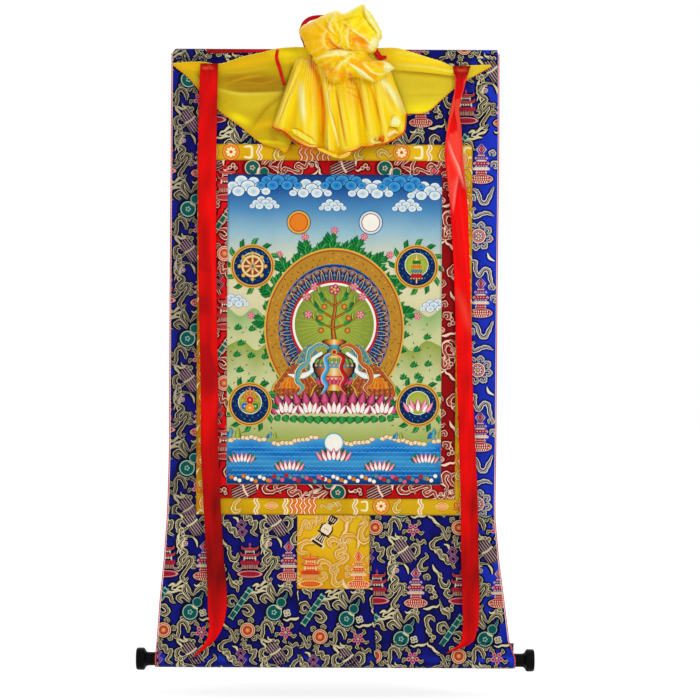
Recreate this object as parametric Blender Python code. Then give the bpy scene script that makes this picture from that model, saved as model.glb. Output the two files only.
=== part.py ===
"""A thangka scroll painting: painted cloth in brocade borders, hung from its top edge,
with a gathered silk veil, two long ribbons and a wooden roller in the bottom sleeve.

Metres, +Z up, +X to the right seen from the front, the front faces -Y.
The origin is the middle of the top edge. A drop is a distance below that edge.
"""

import math
from collections import namedtuple

import bmesh
import bpy
import numpy as np

# Driving dimensions
PAINTING_WIDTH = 0.415
PAINTING_HEIGHT = 0.600
RED_STRIP = 0.027
YELLOW_STRIP = 0.0315
TOP_TO_BORDER = 0.1838
APRON_WIDTH = 0.140
APRON_LENGTH = 0.143

CLOTH = 0.0016
HEADING_THICK = 0.006
HEADING_DEPTH = 0.018
SEAM_GAP = 0.0003
LAYER_GAP = 0.0004

ROLLER_DROP = 1.1805
ROD_RADIUS = 0.0140
KNOB_NECK_RADIUS = 0.0133
KNOB_FLANGE_RADIUS = 0.0217
KNOB_NECK_LENGTH = 0.0235
KNOB_FLANGE_LENGTH = 0.0165
STITCH_DROP = 1.148

RIBBON_THICK = 0.0010
TAPE_THICK = 0.0010
SILK = 0.0012
SEWN_TOP = 0.012

# Worked out from them
BORDER_DROP = TOP_TO_BORDER
RED_DROP = BORDER_DROP + YELLOW_STRIP
PAINTING_DROP = RED_DROP + RED_STRIP
PAINTING_END = PAINTING_DROP + PAINTING_HEIGHT
RED_END = PAINTING_END + RED_STRIP
BORDER_END = RED_END + YELLOW_STRIP
HALF_PAINTING = PAINTING_WIDTH / 2
HALF_RED = HALF_PAINTING + RED_STRIP
HALF_YELLOW = HALF_RED + YELLOW_STRIP
SLEEVE_RADIUS = ROD_RADIUS + 0.0005 + CLOTH / 2

# The outline of the blue cloth: straight above, flared below the borders
Outline = namedtuple("Outline", "drop left right")
OUTLINE = [
    Outline(0.000, -0.3090, 0.3130),
    Outline(0.007, -0.3146, 0.3146),
    Outline(0.180, -0.3152, 0.3150),
    Outline(0.480, -0.3162, 0.3127),
    Outline(0.770, -0.3160, 0.3119),
    Outline(0.870, -0.3184, 0.3106),
    Outline(0.910, -0.3202, 0.3110),
    Outline(0.990, -0.3257, 0.3187),
    Outline(1.065, -0.3330, 0.3288),
    Outline(1.143, -0.3384, 0.3388),
    Outline(1.180, -0.3406, 0.3500),
]
ROLLER_LEFT = OUTLINE[-1].left
ROLLER_RIGHT = OUTLINE[-1].right

# The two seams of the lower part lean a little with the flare
Seam = namedtuple("Seam", "top_x bottom_x")
SEAM_LEFT = Seam(-0.0697, -0.0640)
SEAM_RIGHT = Seam(0.0683, 0.0840)

# Long soft folds of the hanging cloth; depth is towards the back where it is positive
Fold = namedtuple("Fold", "x lean half_width depth start end")
FOLDS = [
    Fold(-0.290, -0.03, 0.045, 0.0030, 0.16, 1.10),
    Fold(-0.345, -0.02, 0.040, -0.0040, 0.20, 1.10),
    Fold(0.290, 0.02, 0.050, 0.0030, 0.16, 1.10),
    Fold(0.345, 0.03, 0.040, -0.0045, 0.18, 1.10),
    Fold(0.030, 0.00, 0.160, -0.0030, 0.20, 0.90),
    Fold(-0.150, 0.04, 0.060, 0.0025, 0.60, 1.12),
    Fold(0.190, -0.05, 0.060, 0.0030, 0.62, 1.12),
    Fold(-0.030, 0.02, 0.070, -0.0025, 0.88, 1.12),
]
FOLD_FADE = 0.14

# The veil's wings: upper and lower edge, and how far the cloth stands out in front
Wing = namedtuple("Wing", "x top bottom stand_off")
LEFT_WING = [
    Wing(-0.3140, 0.0288, 0.0316, 0.0022),
    Wing(-0.2815, 0.0262, 0.0585, 0.0026),
    Wing(-0.2602, 0.0259, 0.0836, 0.0030),
    Wing(-0.2263, 0.0300, 0.1175, 0.0036),
    Wing(-0.1778, 0.0159, 0.1540, 0.0055),
    Wing(-0.1414, 0.0080, 0.1825, 0.0070),
    Wing(-0.1097, 0.0001, 0.1925, 0.0085),
    Wing(-0.0930, -0.0015, 0.1975, 0.0095),
    Wing(-0.0850, -0.0020, 0.1780, 0.0100),
    Wing(-0.0450, 0.0000, 0.1400, 0.0180),
    Wing(-0.0150, 0.0050, 0.0800, 0.0400),
]
RIGHT_WING = [
    Wing(0.0300, 0.0050, 0.0700, 0.0400),
    Wing(0.0550, 0.0000, 0.1200, 0.0180),
    Wing(0.0841, -0.0011, 0.1290, 0.0100),
    Wing(0.1198, -0.0010, 0.1262, 0.0085),
    Wing(0.1438, 0.0052, 0.1245, 0.0075),
    Wing(0.1790, 0.0163, 0.1200, 0.0060),
    Wing(0.2062, 0.0243, 0.0960, 0.0048),
    Wing(0.2275, 0.0330, 0.0772, 0.0038),
    Wing(0.2561, 0.0310, 0.0580, 0.0030),
    Wing(0.3010, 0.0290, 0.0322, 0.0022),
]
# Soft folds across the wings: place as a share of the wing's height, depth to the front
Crease = namedtuple("Crease", "share half_width depth")
LEFT_CREASES = [
    Crease(0.12, 0.10, 0.0030),
    Crease(0.42, 0.10, -0.0010),
    Crease(0.62, 0.14, 0.0035),
]
RIGHT_CREASES = [
    Crease(0.20, 0.14, 0.0060),
    Crease(0.45, 0.08, -0.0010),
    Crease(0.80, 0.16, 0.0015),
]

# The pleated skirt of the veil, from left to right: neck, hem and their distances in front
Pleat = namedtuple("Pleat", "neck_x neck_drop hem_x hem_drop neck_front hem_front")
PLEATS = [
    Pleat(-0.0764, 0.0200, -0.1220, 0.1500, 0.020, 0.0150),
    Pleat(-0.0690, 0.0210, -0.1067, 0.1565, 0.028, 0.0270),
    Pleat(-0.0600, 0.0230, -0.0930, 0.1640, 0.030, 0.0220),
    Pleat(-0.0520, 0.0250, -0.0745, 0.1795, 0.034, 0.0360),
    Pleat(-0.0430, 0.0290, -0.0447, 0.1900, 0.034, 0.0420),
    Pleat(-0.0350, 0.0340, -0.0240, 0.1940, 0.032, 0.0260),
    Pleat(-0.0200, 0.0430, -0.0120, 0.2010, 0.040, 0.0440),
    Pleat(-0.0060, 0.0500, 0.0051, 0.2070, 0.038, 0.0320),
    Pleat(0.0090, 0.0480, 0.0250, 0.2000, 0.044, 0.0420),
    Pleat(0.0240, 0.0460, 0.0440, 0.1915, 0.042, 0.0440),
    Pleat(0.0380, 0.0470, 0.0580, 0.1885, 0.036, 0.0300),
    Pleat(0.0515, 0.0480, 0.0740, 0.1860, 0.040, 0.0400),
    Pleat(0.0640, 0.0480, 0.0890, 0.1840, 0.034, 0.0280),
    Pleat(0.0760, 0.0460, 0.1040, 0.1790, 0.036, 0.0340),
    Pleat(0.0880, 0.0440, 0.1170, 0.1715, 0.030, 0.0220),
    Pleat(0.0990, 0.0400, 0.1330, 0.1600, 0.028, 0.0240),
    Pleat(0.1056, 0.0370, 0.1379, 0.1230, 0.018, 0.0140),
]

# The bunch, two cushions of gathered silk: outlines round, as (x, height)
Outer = namedtuple("Outer", "x height")
UPPER_CUSHION = [
    Outer(-0.0708, 0.0355),
    Outer(-0.0670, 0.0430),
    Outer(-0.0303, 0.0629),
    Outer(-0.0003, 0.0752),
    Outer(0.0173, 0.0699),
    Outer(0.0513, 0.0869),
    Outer(0.0622, 0.0742),
    Outer(0.0771, 0.0564),
    Outer(0.0902, 0.0294),
    Outer(0.0841, 0.0118),
    Outer(0.0706, -0.0073),
    Outer(0.0219, -0.0088),
    Outer(-0.0029, -0.0051),
    Outer(-0.0325, -0.0168),
    Outer(-0.0447, -0.0145),
    Outer(-0.0571, 0.0017),
    Outer(-0.0610, 0.0140),
]
LOWER_CUSHION = [
    Outer(-0.0447, -0.0145),
    Outer(-0.0400, 0.0060),
    Outer(0.0200, 0.0160),
    Outer(0.0700, 0.0130),
    Outer(0.0842, -0.0008),
    Outer(0.0978, -0.0220),
    Outer(0.1143, -0.0355),
    Outer(0.1062, -0.0439),
    Outer(0.0777, -0.0643),
    Outer(0.0316, -0.0537),
    Outer(0.0097, -0.0633),
    Outer(-0.0052, -0.0660),
    Outer(-0.0215, -0.0377),
    Outer(-0.0378, -0.0269),
]
# Where a cushion's middle plane lies in front of the cloth, and its bulge each way
Cushion = namedtuple("Cushion", "x height middle front back")
UPPER_BULGE = Cushion(0.012, 0.030, 0.049, 0.050, 0.036)
LOWER_BULGE = Cushion(0.032, -0.024, 0.044, 0.042, 0.026)
# Gathers across the cushions: a furrow where the depth is positive, a ridge where negative
Gather = namedtuple("Gather", "x height to_x to_height half_width depth")
UPPER_GATHERS = [
    Gather(0.008, 0.076, 0.004, 0.040, 0.010, 0.014),
    Gather(0.004, 0.040, 0.032, -0.007, 0.011, 0.020),
    Gather(-0.018, 0.034, -0.016, 0.006, 0.007, -0.005),
    Gather(0.030, 0.041, 0.069, 0.020, 0.007, -0.005),
    Gather(0.036, 0.010, 0.070, 0.004, 0.007, 0.014),
    Gather(-0.050, 0.050, -0.034, 0.000, 0.010, 0.005),
]
LOWER_GATHERS = [
    Gather(-0.045, -0.015, -0.006, -0.046, 0.009, 0.014),
    Gather(0.040, -0.012, 0.018, -0.036, 0.006, -0.006),
    Gather(0.022, -0.024, 0.078, -0.060, 0.008, -0.008),
    Gather(0.020, -0.036, 0.030, -0.060, 0.009, 0.016),
    Gather(0.060, -0.014, 0.104, -0.036, 0.008, 0.010),
]

# The long ribbons, top to bottom: middle, width and distance in front
Band = namedtuple("Band", "drop x width front")
LEFT_RIBBON = [
    Band(0.0290, -0.2439, 0.0337, 0.0085),
    Band(0.0350, -0.2440, 0.0340, 0.0110),
    Band(0.0420, -0.2442, 0.0345, 0.0125),
    Band(0.1120, -0.2457, 0.0354, 0.0130),
    Band(0.2150, -0.2476, 0.0352, 0.0105),
    Band(0.3190, -0.2479, 0.0355, 0.0125),
    Band(0.4240, -0.2486, 0.0350, 0.0100),
    Band(0.5260, -0.2471, 0.0348, 0.0120),
    Band(0.6680, -0.2420, 0.0342, 0.0100),
    Band(0.7700, -0.2400, 0.0335, 0.0130),
    Band(0.8750, -0.2354, 0.0335, 0.0105),
    Band(0.9770, -0.2297, 0.0335, 0.0140),
    Band(1.0930, -0.2284, 0.0337, 0.0150),
    Band(1.1180, -0.2297, 0.0257, 0.0175),
    Band(1.1440, -0.2395, 0.0155, 0.0220),
    Band(1.1740, -0.2680, 0.0030, 0.0270),
]
RIGHT_RIBBON = [
    Band(0.0315, 0.2441, 0.0344, 0.0088),
    Band(0.0365, 0.2437, 0.0320, 0.0110),
    Band(0.0420, 0.2432, 0.0300, 0.0130),
    Band(0.0610, 0.2416, 0.0217, 0.0150),
    Band(0.0810, 0.2387, 0.0178, 0.0150),
    Band(0.1010, 0.2337, 0.0160, 0.0130),
    Band(0.1200, 0.2307, 0.0178, 0.0120),
    Band(0.1400, 0.2303, 0.0246, 0.0120),
    Band(0.1610, 0.2297, 0.0296, 0.0130),
    Band(0.2000, 0.2293, 0.0346, 0.0125),
    Band(0.2790, 0.2367, 0.0340, 0.0110),
    Band(0.4240, 0.2438, 0.0350, 0.0130),
    Band(0.5260, 0.2472, 0.0360, 0.0105),
    Band(0.6680, 0.2519, 0.0365, 0.0130),
    Band(0.7700, 0.2559, 0.0372, 0.0110),
    Band(0.8750, 0.2591, 0.0360, 0.0135),
    Band(0.9770, 0.2598, 0.0348, 0.0115),
    Band(1.0820, 0.2623, 0.0321, 0.0150),
    Band(1.1220, 0.2614, 0.0284, 0.0180),
    Band(1.1490, 0.2515, 0.0184, 0.0225),
    Band(1.1650, 0.2200, 0.0040, 0.0270),
]

# Narrow red ties that lie on the wings all the way
LEFT_TIE = [
    Band(0.0015, -0.1113, 0.0055, 0),
    Band(0.0190, -0.1141, 0.0068, 0),
    Band(0.0415, -0.1067, 0.0070, 0),
    Band(0.0711, -0.1007, 0.0060, 0),
]
RIGHT_TIE = [
    Band(0.0005, 0.0830, 0.0080, 0),
    Band(0.0060, 0.0835, 0.0095, 0),
    Band(0.0140, 0.0885, 0.0085, 0),
    Band(0.0195, 0.0970, 0.0040, 0),
]

TAPE_LEFT = -0.2490
TAPE_RIGHT = 0.1475
TAPE_HEIGHT = 0.0088

# The hanging loop behind the bunch: half of its path, mirrored about its middle
LOOP_MIDDLE = -0.0125
LOOP_HALF_SPAN = 0.0550
LOOP_RISE = 0.0620
LOOP_FOOT = 0.0140
LOOP_WIDTH = 0.0080
LOOP_SQUARENESS = 0.5

COLOURS = {
    "ground": (0.02, 0.03, 0.22),
    "cord": (0.60, 0.10, 0.06),
    "yellow": (0.75, 0.50, 0.05),
    "red": (0.45, 0.01, 0.02),
    "canvas": (0.25, 0.45, 0.45),
    "silk": (0.95, 0.65, 0.02),
    "satin": (0.75, 0.01, 0.01),
    "wood": (0.35, 0.20, 0.10),
    "lacquer": (0.01, 0.01, 0.012),
}


def smooth(t):
    """0 before t is 0, 1 after t is 1, a soft step between."""
    t = np.clip(t, 0.0, 1.0)
    return t * t * (3 - 2 * t)


def column(rows, name):
    return np.array([getattr(row, name) for row in rows])


def along(rows, name, at, key):
    """The named column of a table, read at a place along its key column."""
    return np.interp(at, column(rows, key), column(rows, name))


def cloth_y(x, drop):
    """Depth of the middle of the hanging cloth."""
    y = np.zeros(np.broadcast(x, drop).shape)
    for fold in FOLDS:
        lasting = smooth((drop - fold.start) / FOLD_FADE) * smooth((fold.end - drop) / FOLD_FADE)
        across = (x - fold.x - fold.lean * (drop - 0.6)) / fold.half_width
        y = y + fold.depth * np.exp(-across * across) * lasting
    return y


def point(x, y, drop):
    return np.stack(np.broadcast_arrays(x, y, -np.asarray(drop)), axis=-1)


def material(name):
    found = bpy.data.materials.get(name)
    if found:
        return found
    made = bpy.data.materials.new(name)
    made.use_nodes = True
    shader = made.node_tree.nodes["Principled BSDF"]
    shader.inputs["Base Color"].default_value = (*COLOURS[name], 1.0)
    shader.inputs["Roughness"].default_value = 0.25 if name == "lacquer" else 0.7
    shader.inputs["Metallic"].default_value = 0.0
    return made


def object_from(name, bm, finish):
    bmesh.ops.recalc_face_normals(bm, faces=bm.faces)
    mesh = bpy.data.meshes.new(name)
    bm.to_mesh(mesh)
    bm.free()
    mesh.materials.append(material(finish))
    made = bpy.data.objects.new(name, mesh)
    bpy.context.scene.collection.objects.link(made)
    return made


def slab(name, front, back, finish, cells=None):
    """A closed sheet between two grids of points, leaving out the cells that are False."""
    rows, columns = front.shape[0] - 1, front.shape[1] - 1
    if cells is None:
        cells = np.ones((rows, columns), bool)
    bm = bmesh.new()
    made = {}

    def vertex(side, r, c):
        key = (side, r, c)
        if key not in made:
            made[key] = bm.verts.new(front[r, c] if side == 0 else back[r, c])
        return made[key]

    def kept(r, c):
        return 0 <= r < rows and 0 <= c < columns and cells[r, c]

    for r in range(rows):
        for c in range(columns):
            if not cells[r, c]:
                continue
            ring = [(r, c), (r, c + 1), (r + 1, c + 1), (r + 1, c)]
            for side in (0, 1):
                bm.faces.new([vertex(side, *at) for at in ring])
            outside = [(r - 1, c), (r, c + 1), (r + 1, c), (r, c - 1)]
            for k, neighbour in enumerate(outside):
                if not kept(*neighbour):
                    a, b = ring[k], ring[(k + 1) % 4]
                    bm.faces.new([vertex(0, *a), vertex(0, *b), vertex(1, *b), vertex(1, *a)])
    return object_from(name, bm, finish)


def flat_sheet(name, x, drop, finish, thickness=CLOTH, forward=0.0, cells=None):
    """A sheet that follows the hanging cloth; forward is how far its middle lies in front."""
    middle = cloth_y(x, drop) - forward
    front = point(x, middle - thickness / 2, drop)
    back = point(x, middle + thickness / 2, drop)
    return slab(name, front, back, finish, cells)


def between(a, b, count):
    return np.linspace(a, b, count + 1)


def ground_upper():
    """Heading and sides in one piece, round the window that the borders fill."""
    window = HALF_YELLOW + SEAM_GAP
    heading = [0.0, 0.004, HEADING_DEPTH, HEADING_DEPTH + 0.003]
    top = between(0.050, BORDER_DROP - SEAM_GAP, 4)
    sides = between(BORDER_DROP - SEAM_GAP, BORDER_END, 16)[1:]
    drops = np.concatenate([heading, top, sides])
    left = along(OUTLINE, "left", drops, "drop")
    right = along(OUTLINE, "right", drops, "drop")
    middle = np.broadcast_to(between(-window, window, 10), (len(drops), 11))
    x = np.column_stack([left, (left - window) / 2, middle, (right + window) / 2, right])
    drop = np.broadcast_to(drops[:, None], x.shape)
    thick = np.where(drop <= HEADING_DEPTH, HEADING_THICK, CLOTH)
    thick = np.where(drop == 0, HEADING_THICK * 0.6, thick)
    cells = np.ones((len(drops) - 1, x.shape[1] - 1), bool)
    cells[len(heading) + len(top) - 1:, 2:-2] = False
    y = cloth_y(x, drop)
    front, back = point(x, y - thick / 2, drop), point(x, y + thick / 2, drop)
    return slab("ground_upper", front, back, "ground", cells)


def sleeve_path():
    """Middle of the cloth from the stitch line round the roller and back: y, drop, normal."""
    reach = ROLLER_DROP - STITCH_DROP
    tangent = math.acos(SLEEVE_RADIUS / reach)
    angles = np.linspace(tangent, 2 * math.pi - tangent, 18)
    normal_y, normal_drop = -np.sin(angles), -np.cos(angles)
    y = SLEEVE_RADIUS * normal_y
    drop = ROLLER_DROP + SLEEVE_RADIUS * normal_drop
    last = np.array([CLOTH + SEAM_GAP * 2, STITCH_DROP + 0.0004])
    y, drop = np.append(y, last[0]), np.append(drop, last[1])
    normal_y, normal_drop = np.append(normal_y, 1.0), np.append(normal_drop, 0.0)
    return y, drop, normal_y, normal_drop


def ground_lower(name, left_edge, right_edge, count):
    """One lower panel: flat to the stitch line, then a sleeve round the roller."""
    drops = between(BORDER_END + SEAM_GAP, STITCH_DROP - 0.010, 9)
    stitch = np.append(drops, STITCH_DROP)
    turn_y, turn_drop, normal_y, normal_drop = sleeve_path()
    where = np.concatenate([stitch, np.full(len(turn_y), OUTLINE[-1].drop)])
    share = np.linspace(0, 1, count + 1)
    a, b = left_edge(where)[:, None], right_edge(where)[:, None]
    x = a + (b - a) * share
    hang = stitch[:, None] + 0 * x[: len(stitch)]
    middle_y = np.vstack([cloth_y(x[: len(stitch)], hang), turn_y[:, None] + 0 * x[len(stitch):]])
    middle_drop = np.vstack([hang, turn_drop[:, None] + 0 * x[len(stitch):]])
    out_y = np.concatenate([np.full(len(stitch), -1.0), normal_y])[:, None] * CLOTH / 2
    out_drop = np.concatenate([np.zeros(len(stitch)), normal_drop])[:, None] * CLOTH / 2
    front = point(x, middle_y + out_y, middle_drop + out_drop)
    back = point(x, middle_y - out_y, middle_drop - out_drop)
    return slab(name, front, back, "ground")


def seam_line(seam, side):
    def at(drop):
        share = (drop - BORDER_END) / (ROLLER_DROP - BORDER_END)
        return seam.top_x + (seam.bottom_x - seam.top_x) * share + side * SEAM_GAP / 2
    return at


def outline_line(side):
    return lambda drop: along(OUTLINE, side, drop, "drop")


def ground_panels():
    ground_upper()
    left, right = outline_line("left"), outline_line("right")
    ground_lower("ground_lower_left", left, seam_line(SEAM_LEFT, -1), 9)
    ground_lower("ground_lower_centre", seam_line(SEAM_LEFT, 1), seam_line(SEAM_RIGHT, -1), 5)
    ground_lower("ground_lower_right", seam_line(SEAM_RIGHT, 1), right, 9)


def tube(name, path, radius, finish, sides=6):
    """A closed tube of the given radius round a path that runs mostly downwards."""
    tangent = np.gradient(path, axis=0)
    tangent = tangent / np.linalg.norm(tangent, axis=1)[:, None]
    across = np.cross(tangent, [1.0, 0.0, 0.0])
    across = across / np.linalg.norm(across, axis=1)[:, None]
    other = np.cross(across, tangent)
    turn = np.linspace(0, 2 * math.pi, sides, endpoint=False)
    bm = bmesh.new()
    rings = []
    for centre, a, b in zip(path, across, other):
        places = [centre + radius * (math.cos(t) * a + math.sin(t) * b) for t in turn]
        rings.append([bm.verts.new(place) for place in places])
    for first, second in zip(rings, rings[1:]):
        for k in range(sides):
            n = (k + 1) % sides
            bm.faces.new([first[k], first[n], second[n], second[k]])
    bm.faces.new(rings[0])
    bm.faces.new(rings[-1])
    return object_from(name, bm, finish)


def edge_cord(name, side, outward):
    """The red cord sewn along one long edge, down over the front of the roller sleeve."""
    radius = 0.0012
    drops = np.concatenate([between(0.008, BORDER_END, 20), between(0.92, 1.120, 8)])
    x = along(OUTLINE, side, drops, "drop")
    y = cloth_y(x, drops)
    turn_y, turn_drop, normal_y, normal_drop = sleeve_path()
    ending = slice(0, 9)
    roller_x = np.full(9, along(OUTLINE, side, OUTLINE[-1].drop, "drop"))
    x = np.concatenate([x, roller_x]) + outward * (radius + SEAM_GAP + 0.0002)
    y = np.concatenate([y, turn_y[ending]])
    drops = np.concatenate([drops, turn_drop[ending]])
    return tube(name, point(x, y, drops), radius, "cord")


def border_strip(name, outer, inner, side, finish, segments):
    """One mitred strip between two rectangles, each (left, right, top drop, end drop)."""
    half = SEAM_GAP / 2
    o = (outer[0] + half, outer[1] - half, outer[2] + half, outer[3] - half)
    i = (inner[0] - half, inner[1] + half, inner[2] - half, inner[3] + half)
    cut = SEAM_GAP * 0.75
    share = np.linspace(0, 1, segments + 1)[:, None]
    if side in ("left", "right"):
        k = 0 if side == "left" else 1
        outer_drop = o[2] + cut + (o[3] - o[2] - 2 * cut) * share
        inner_drop = i[2] + cut + (i[3] - i[2] - 2 * cut) * share
        drop = np.hstack([outer_drop, (outer_drop + inner_drop) / 2, inner_drop])
        x = np.broadcast_to([o[k], (o[k] + i[k]) / 2, i[k]], drop.shape)
    else:
        k = 2 if side == "top" else 3
        outer_x = o[0] + cut + (o[1] - o[0] - 2 * cut) * share
        inner_x = i[0] + cut + (i[1] - i[0] - 2 * cut) * share
        x = np.hstack([outer_x, (outer_x + inner_x) / 2, inner_x])
        drop = np.broadcast_to([o[k], (o[k] + i[k]) / 2, i[k]], x.shape)
    return flat_sheet(name, x, drop, finish)


def borders():
    yellow = (-HALF_YELLOW, HALF_YELLOW, BORDER_DROP, BORDER_END)
    red = (-HALF_RED, HALF_RED, RED_DROP, RED_END)
    picture = (-HALF_PAINTING, HALF_PAINTING, PAINTING_DROP, PAINTING_END)
    for side, segments in (("top", 10), ("bottom", 10), ("left", 12), ("right", 12)):
        border_strip("yellow_border_" + side, yellow, red, side, "yellow", segments)
        border_strip("red_border_" + side, red, picture, side, "red", segments)


def painting():
    half = HALF_PAINTING - SEAM_GAP / 2
    across = between(-half, half, 8)
    drops = between(PAINTING_DROP + SEAM_GAP / 2, PAINTING_END - SEAM_GAP / 2, 10)
    x, drop = np.meshgrid(across, drops)
    flat_sheet("painting", x, drop, "canvas")


def apron_patch():
    """The yellow panel sewn on below the borders, a layer in front of the ground."""
    across = between(-APRON_WIDTH / 2, APRON_WIDTH / 2, 5)
    drops = between(BORDER_END + 0.0005, BORDER_END + APRON_LENGTH, 6)
    x, drop = np.meshgrid(across, drops)
    flat_sheet("apron_patch", x, drop, "yellow", forward=CLOTH + LAYER_GAP)


def roller():
    """The rod in the sleeve and its two turned knobs."""
    rod_left, rod_right = ROLLER_LEFT + 0.002, ROLLER_RIGHT - 0.002
    turned("roller_rod", [(0.0, ROD_RADIUS), (rod_right - rod_left, ROD_RADIUS)], rod_left, 1, "wood")
    flange = KNOB_NECK_LENGTH
    end = KNOB_NECK_LENGTH + KNOB_FLANGE_LENGTH
    profile = [
        (-0.0017, KNOB_NECK_RADIUS),
        (flange - 0.004, KNOB_NECK_RADIUS),
        (flange, KNOB_FLANGE_RADIUS * 0.86),
        (flange + 0.002, KNOB_FLANGE_RADIUS),
        (end - 0.003, KNOB_FLANGE_RADIUS),
        (end - 0.0008, KNOB_FLANGE_RADIUS * 0.93),
        (end, KNOB_FLANGE_RADIUS * 0.80),
    ]
    turned("roller_knob_left", profile, ROLLER_LEFT, -1, "lacquer")
    turned("roller_knob_right", profile, ROLLER_RIGHT, 1, "lacquer")


def turned(name, profile, start_x, direction, finish, sides=24):
    """A solid turned round the roller's axis from (distance, radius) pairs."""
    bm = bmesh.new()
    rings = []
    for distance, radius in profile:
        x = start_x + direction * distance
        ring = []
        for k in range(sides):
            t = 2 * math.pi * (k + 0.5) / sides
            ring.append(bm.verts.new((x, radius * math.sin(t), radius * math.cos(t) - ROLLER_DROP)))
        rings.append(ring)
    for first, second in zip(rings, rings[1:]):
        for k in range(sides):
            n = (k + 1) % sides
            bm.faces.new([first[k], first[n], second[n], second[k]])
    bm.faces.new(rings[0])
    bm.faces.new(rings[-1])
    return object_from(name, bm, finish)


def wing_y(rows, creases, x, drop):
    """Depth of the middle of a wing of the veil."""
    top, bottom = along(rows, "top", x, "x"), along(rows, "bottom", x, "x")
    share = (drop - top) / (bottom - top)
    fullness = smooth((bottom - top) / 0.06)
    swell = sum(c.depth * np.exp(-(((share - c.share) / c.half_width) ** 2)) for c in creases)
    over_heading = 0.0042 * smooth((0.036 - drop) / 0.014) * smooth((0.262 - np.abs(x)) / 0.02)
    return -(along(rows, "stand_off", x, "x") + over_heading + swell * fullness)


def wing(rows, creases, count=16):
    """One wing of the veil as a sheet between its upper and lower edge."""
    xs = np.concatenate([between(a.x, b.x, 2)[:-1] for a, b in zip(rows, rows[1:])])
    xs = np.append(xs, rows[-1].x)
    top, bottom = along(rows, "top", xs, "x"), along(rows, "bottom", xs, "x")
    drop = top + (bottom - top) * np.linspace(0, 1, count + 1)[:, None]
    x = np.broadcast_to(xs, drop.shape)
    y = wing_y(rows, creases, x, drop)
    return point(x, y - SILK / 2, drop), point(x, y + SILK / 2, drop)


def strip(name, rows, thickness, lies_on, free=False, step=0.006):
    """A narrow band of cloth lying on a wing of the veil, or sewn to it and hanging free."""
    drops = []
    for first, second in zip(rows, rows[1:]):
        count = max(1, math.ceil((second.drop - first.drop) / step))
        drops.extend(between(first.drop, second.drop, count)[:-1])
    drops = np.array([*drops, rows[-1].drop])
    middle = along(rows, "x", drops, "drop")[:, None]
    half = along(rows, "width", drops, "drop")[:, None] / 2
    front = along(rows, "front", drops, "drop")[:, None]
    share = np.array([-1.0, 0.0, 1.0])
    x = middle + half * share
    drop = np.broadcast_to(drops[:, None], x.shape)
    y = wing_y(*lies_on, x, drop) - SILK / 2 - LAYER_GAP - 0.0002 - thickness / 2
    if free:
        hanging = -front - 0.0008 * (1 - share * share)
        y = y + (hanging - y) * smooth((drop - rows[0].drop) / SEWN_TOP)
    return slab(name, point(x, y - thickness / 2, drop), point(x, y + thickness / 2, drop), "satin")


def skirt(count=7):
    """The pleats from the neck under the bunch to the hem, bellied out a little."""
    share = np.linspace(0, 1, count + 1)[:, None]
    neck_x, hem_x = column(PLEATS, "neck_x"), column(PLEATS, "hem_x")
    neck_drop, hem_drop = column(PLEATS, "neck_drop"), column(PLEATS, "hem_drop")
    neck_front, hem_front = column(PLEATS, "neck_front"), column(PLEATS, "hem_front")
    x = neck_x + (hem_x - neck_x) * share
    drop = neck_drop + (hem_drop - neck_drop) * share
    y = -(neck_front + (hem_front - neck_front) * share + 0.006 * np.sin(math.pi * share))
    return point(x, y - SILK / 2, drop), point(x, y + SILK / 2, drop)


def cushion(outline, bulge, gathers, around=44):
    """A stuffed-looking gather of silk: domes to the front and back inside an outline."""
    places = np.column_stack([column(outline, "x"), column(outline, "height")])
    places = np.vstack([places, places[:1]])
    walked = np.append(0, np.cumsum(np.linalg.norm(np.diff(places, axis=0), axis=1)))
    at = np.linspace(0, walked[-1], around + 1)[:-1]
    edge = np.column_stack([np.interp(at, walked, places[:, k]) for k in (0, 1)])
    rings = np.array([0.24, 0.46, 0.66, 0.83, 0.95, 1.0])[:, None]
    x = bulge.x + (edge[:, 0] - bulge.x) * rings
    height = bulge.height + (edge[:, 1] - bulge.height) * rings
    dome = np.sqrt(1 - rings ** 2.6) + 0 * x
    furrows = np.zeros(x.shape)
    for g in gathers:
        run = np.array([g.to_x - g.x, g.to_height - g.height])
        part = ((x - g.x) * run[0] + (height - g.height) * run[1]) / (run @ run)
        part = np.clip(part, 0, 1)
        away = np.hypot(x - g.x - part * run[0], height - g.height - part * run[1])
        furrows = furrows + g.depth * np.exp(-((away / g.half_width) ** 2))
    front_y = furrows * dome - bulge.middle - bulge.front * dome
    back_y = bulge.back * dome - bulge.middle
    bm = bmesh.new()
    grids = []
    for y in (front_y, back_y):
        rows = [[bm.verts.new(v) for v in row] for row in point(x, y, -height)[:-1]]
        grids.append(rows)
    rim = [bm.verts.new(v) for v in point(x, front_y, -height)[-1]]
    poles = [bm.verts.new((bulge.x, y[0].mean(), bulge.height)) for y in (front_y, back_y)]
    for rows, pole in zip(grids, poles):
        for first, second in zip(rows, rows[1:] + [rim]):
            for k in range(around):
                n = (k + 1) % around
                bm.faces.new([first[k], first[n], second[n], second[k]])
        for k in range(around):
            bm.faces.new([pole, rows[0][k], rows[0][(k + 1) % around]])
    return object_from("cushion", bm, "silk")


def united(target, other):
    """Adds the other object to the target with an exact union and removes it."""
    join = target.modifiers.new("union", "BOOLEAN")
    join.operation = "UNION"
    join.solver = "EXACT"
    join.object = other
    bpy.context.view_layer.update()
    evaluated = target.evaluated_get(bpy.context.evaluated_depsgraph_get())
    mesh = bpy.data.meshes.new_from_object(evaluated)
    target.modifiers.clear()
    target.data = mesh
    bpy.data.objects.remove(other)


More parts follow.
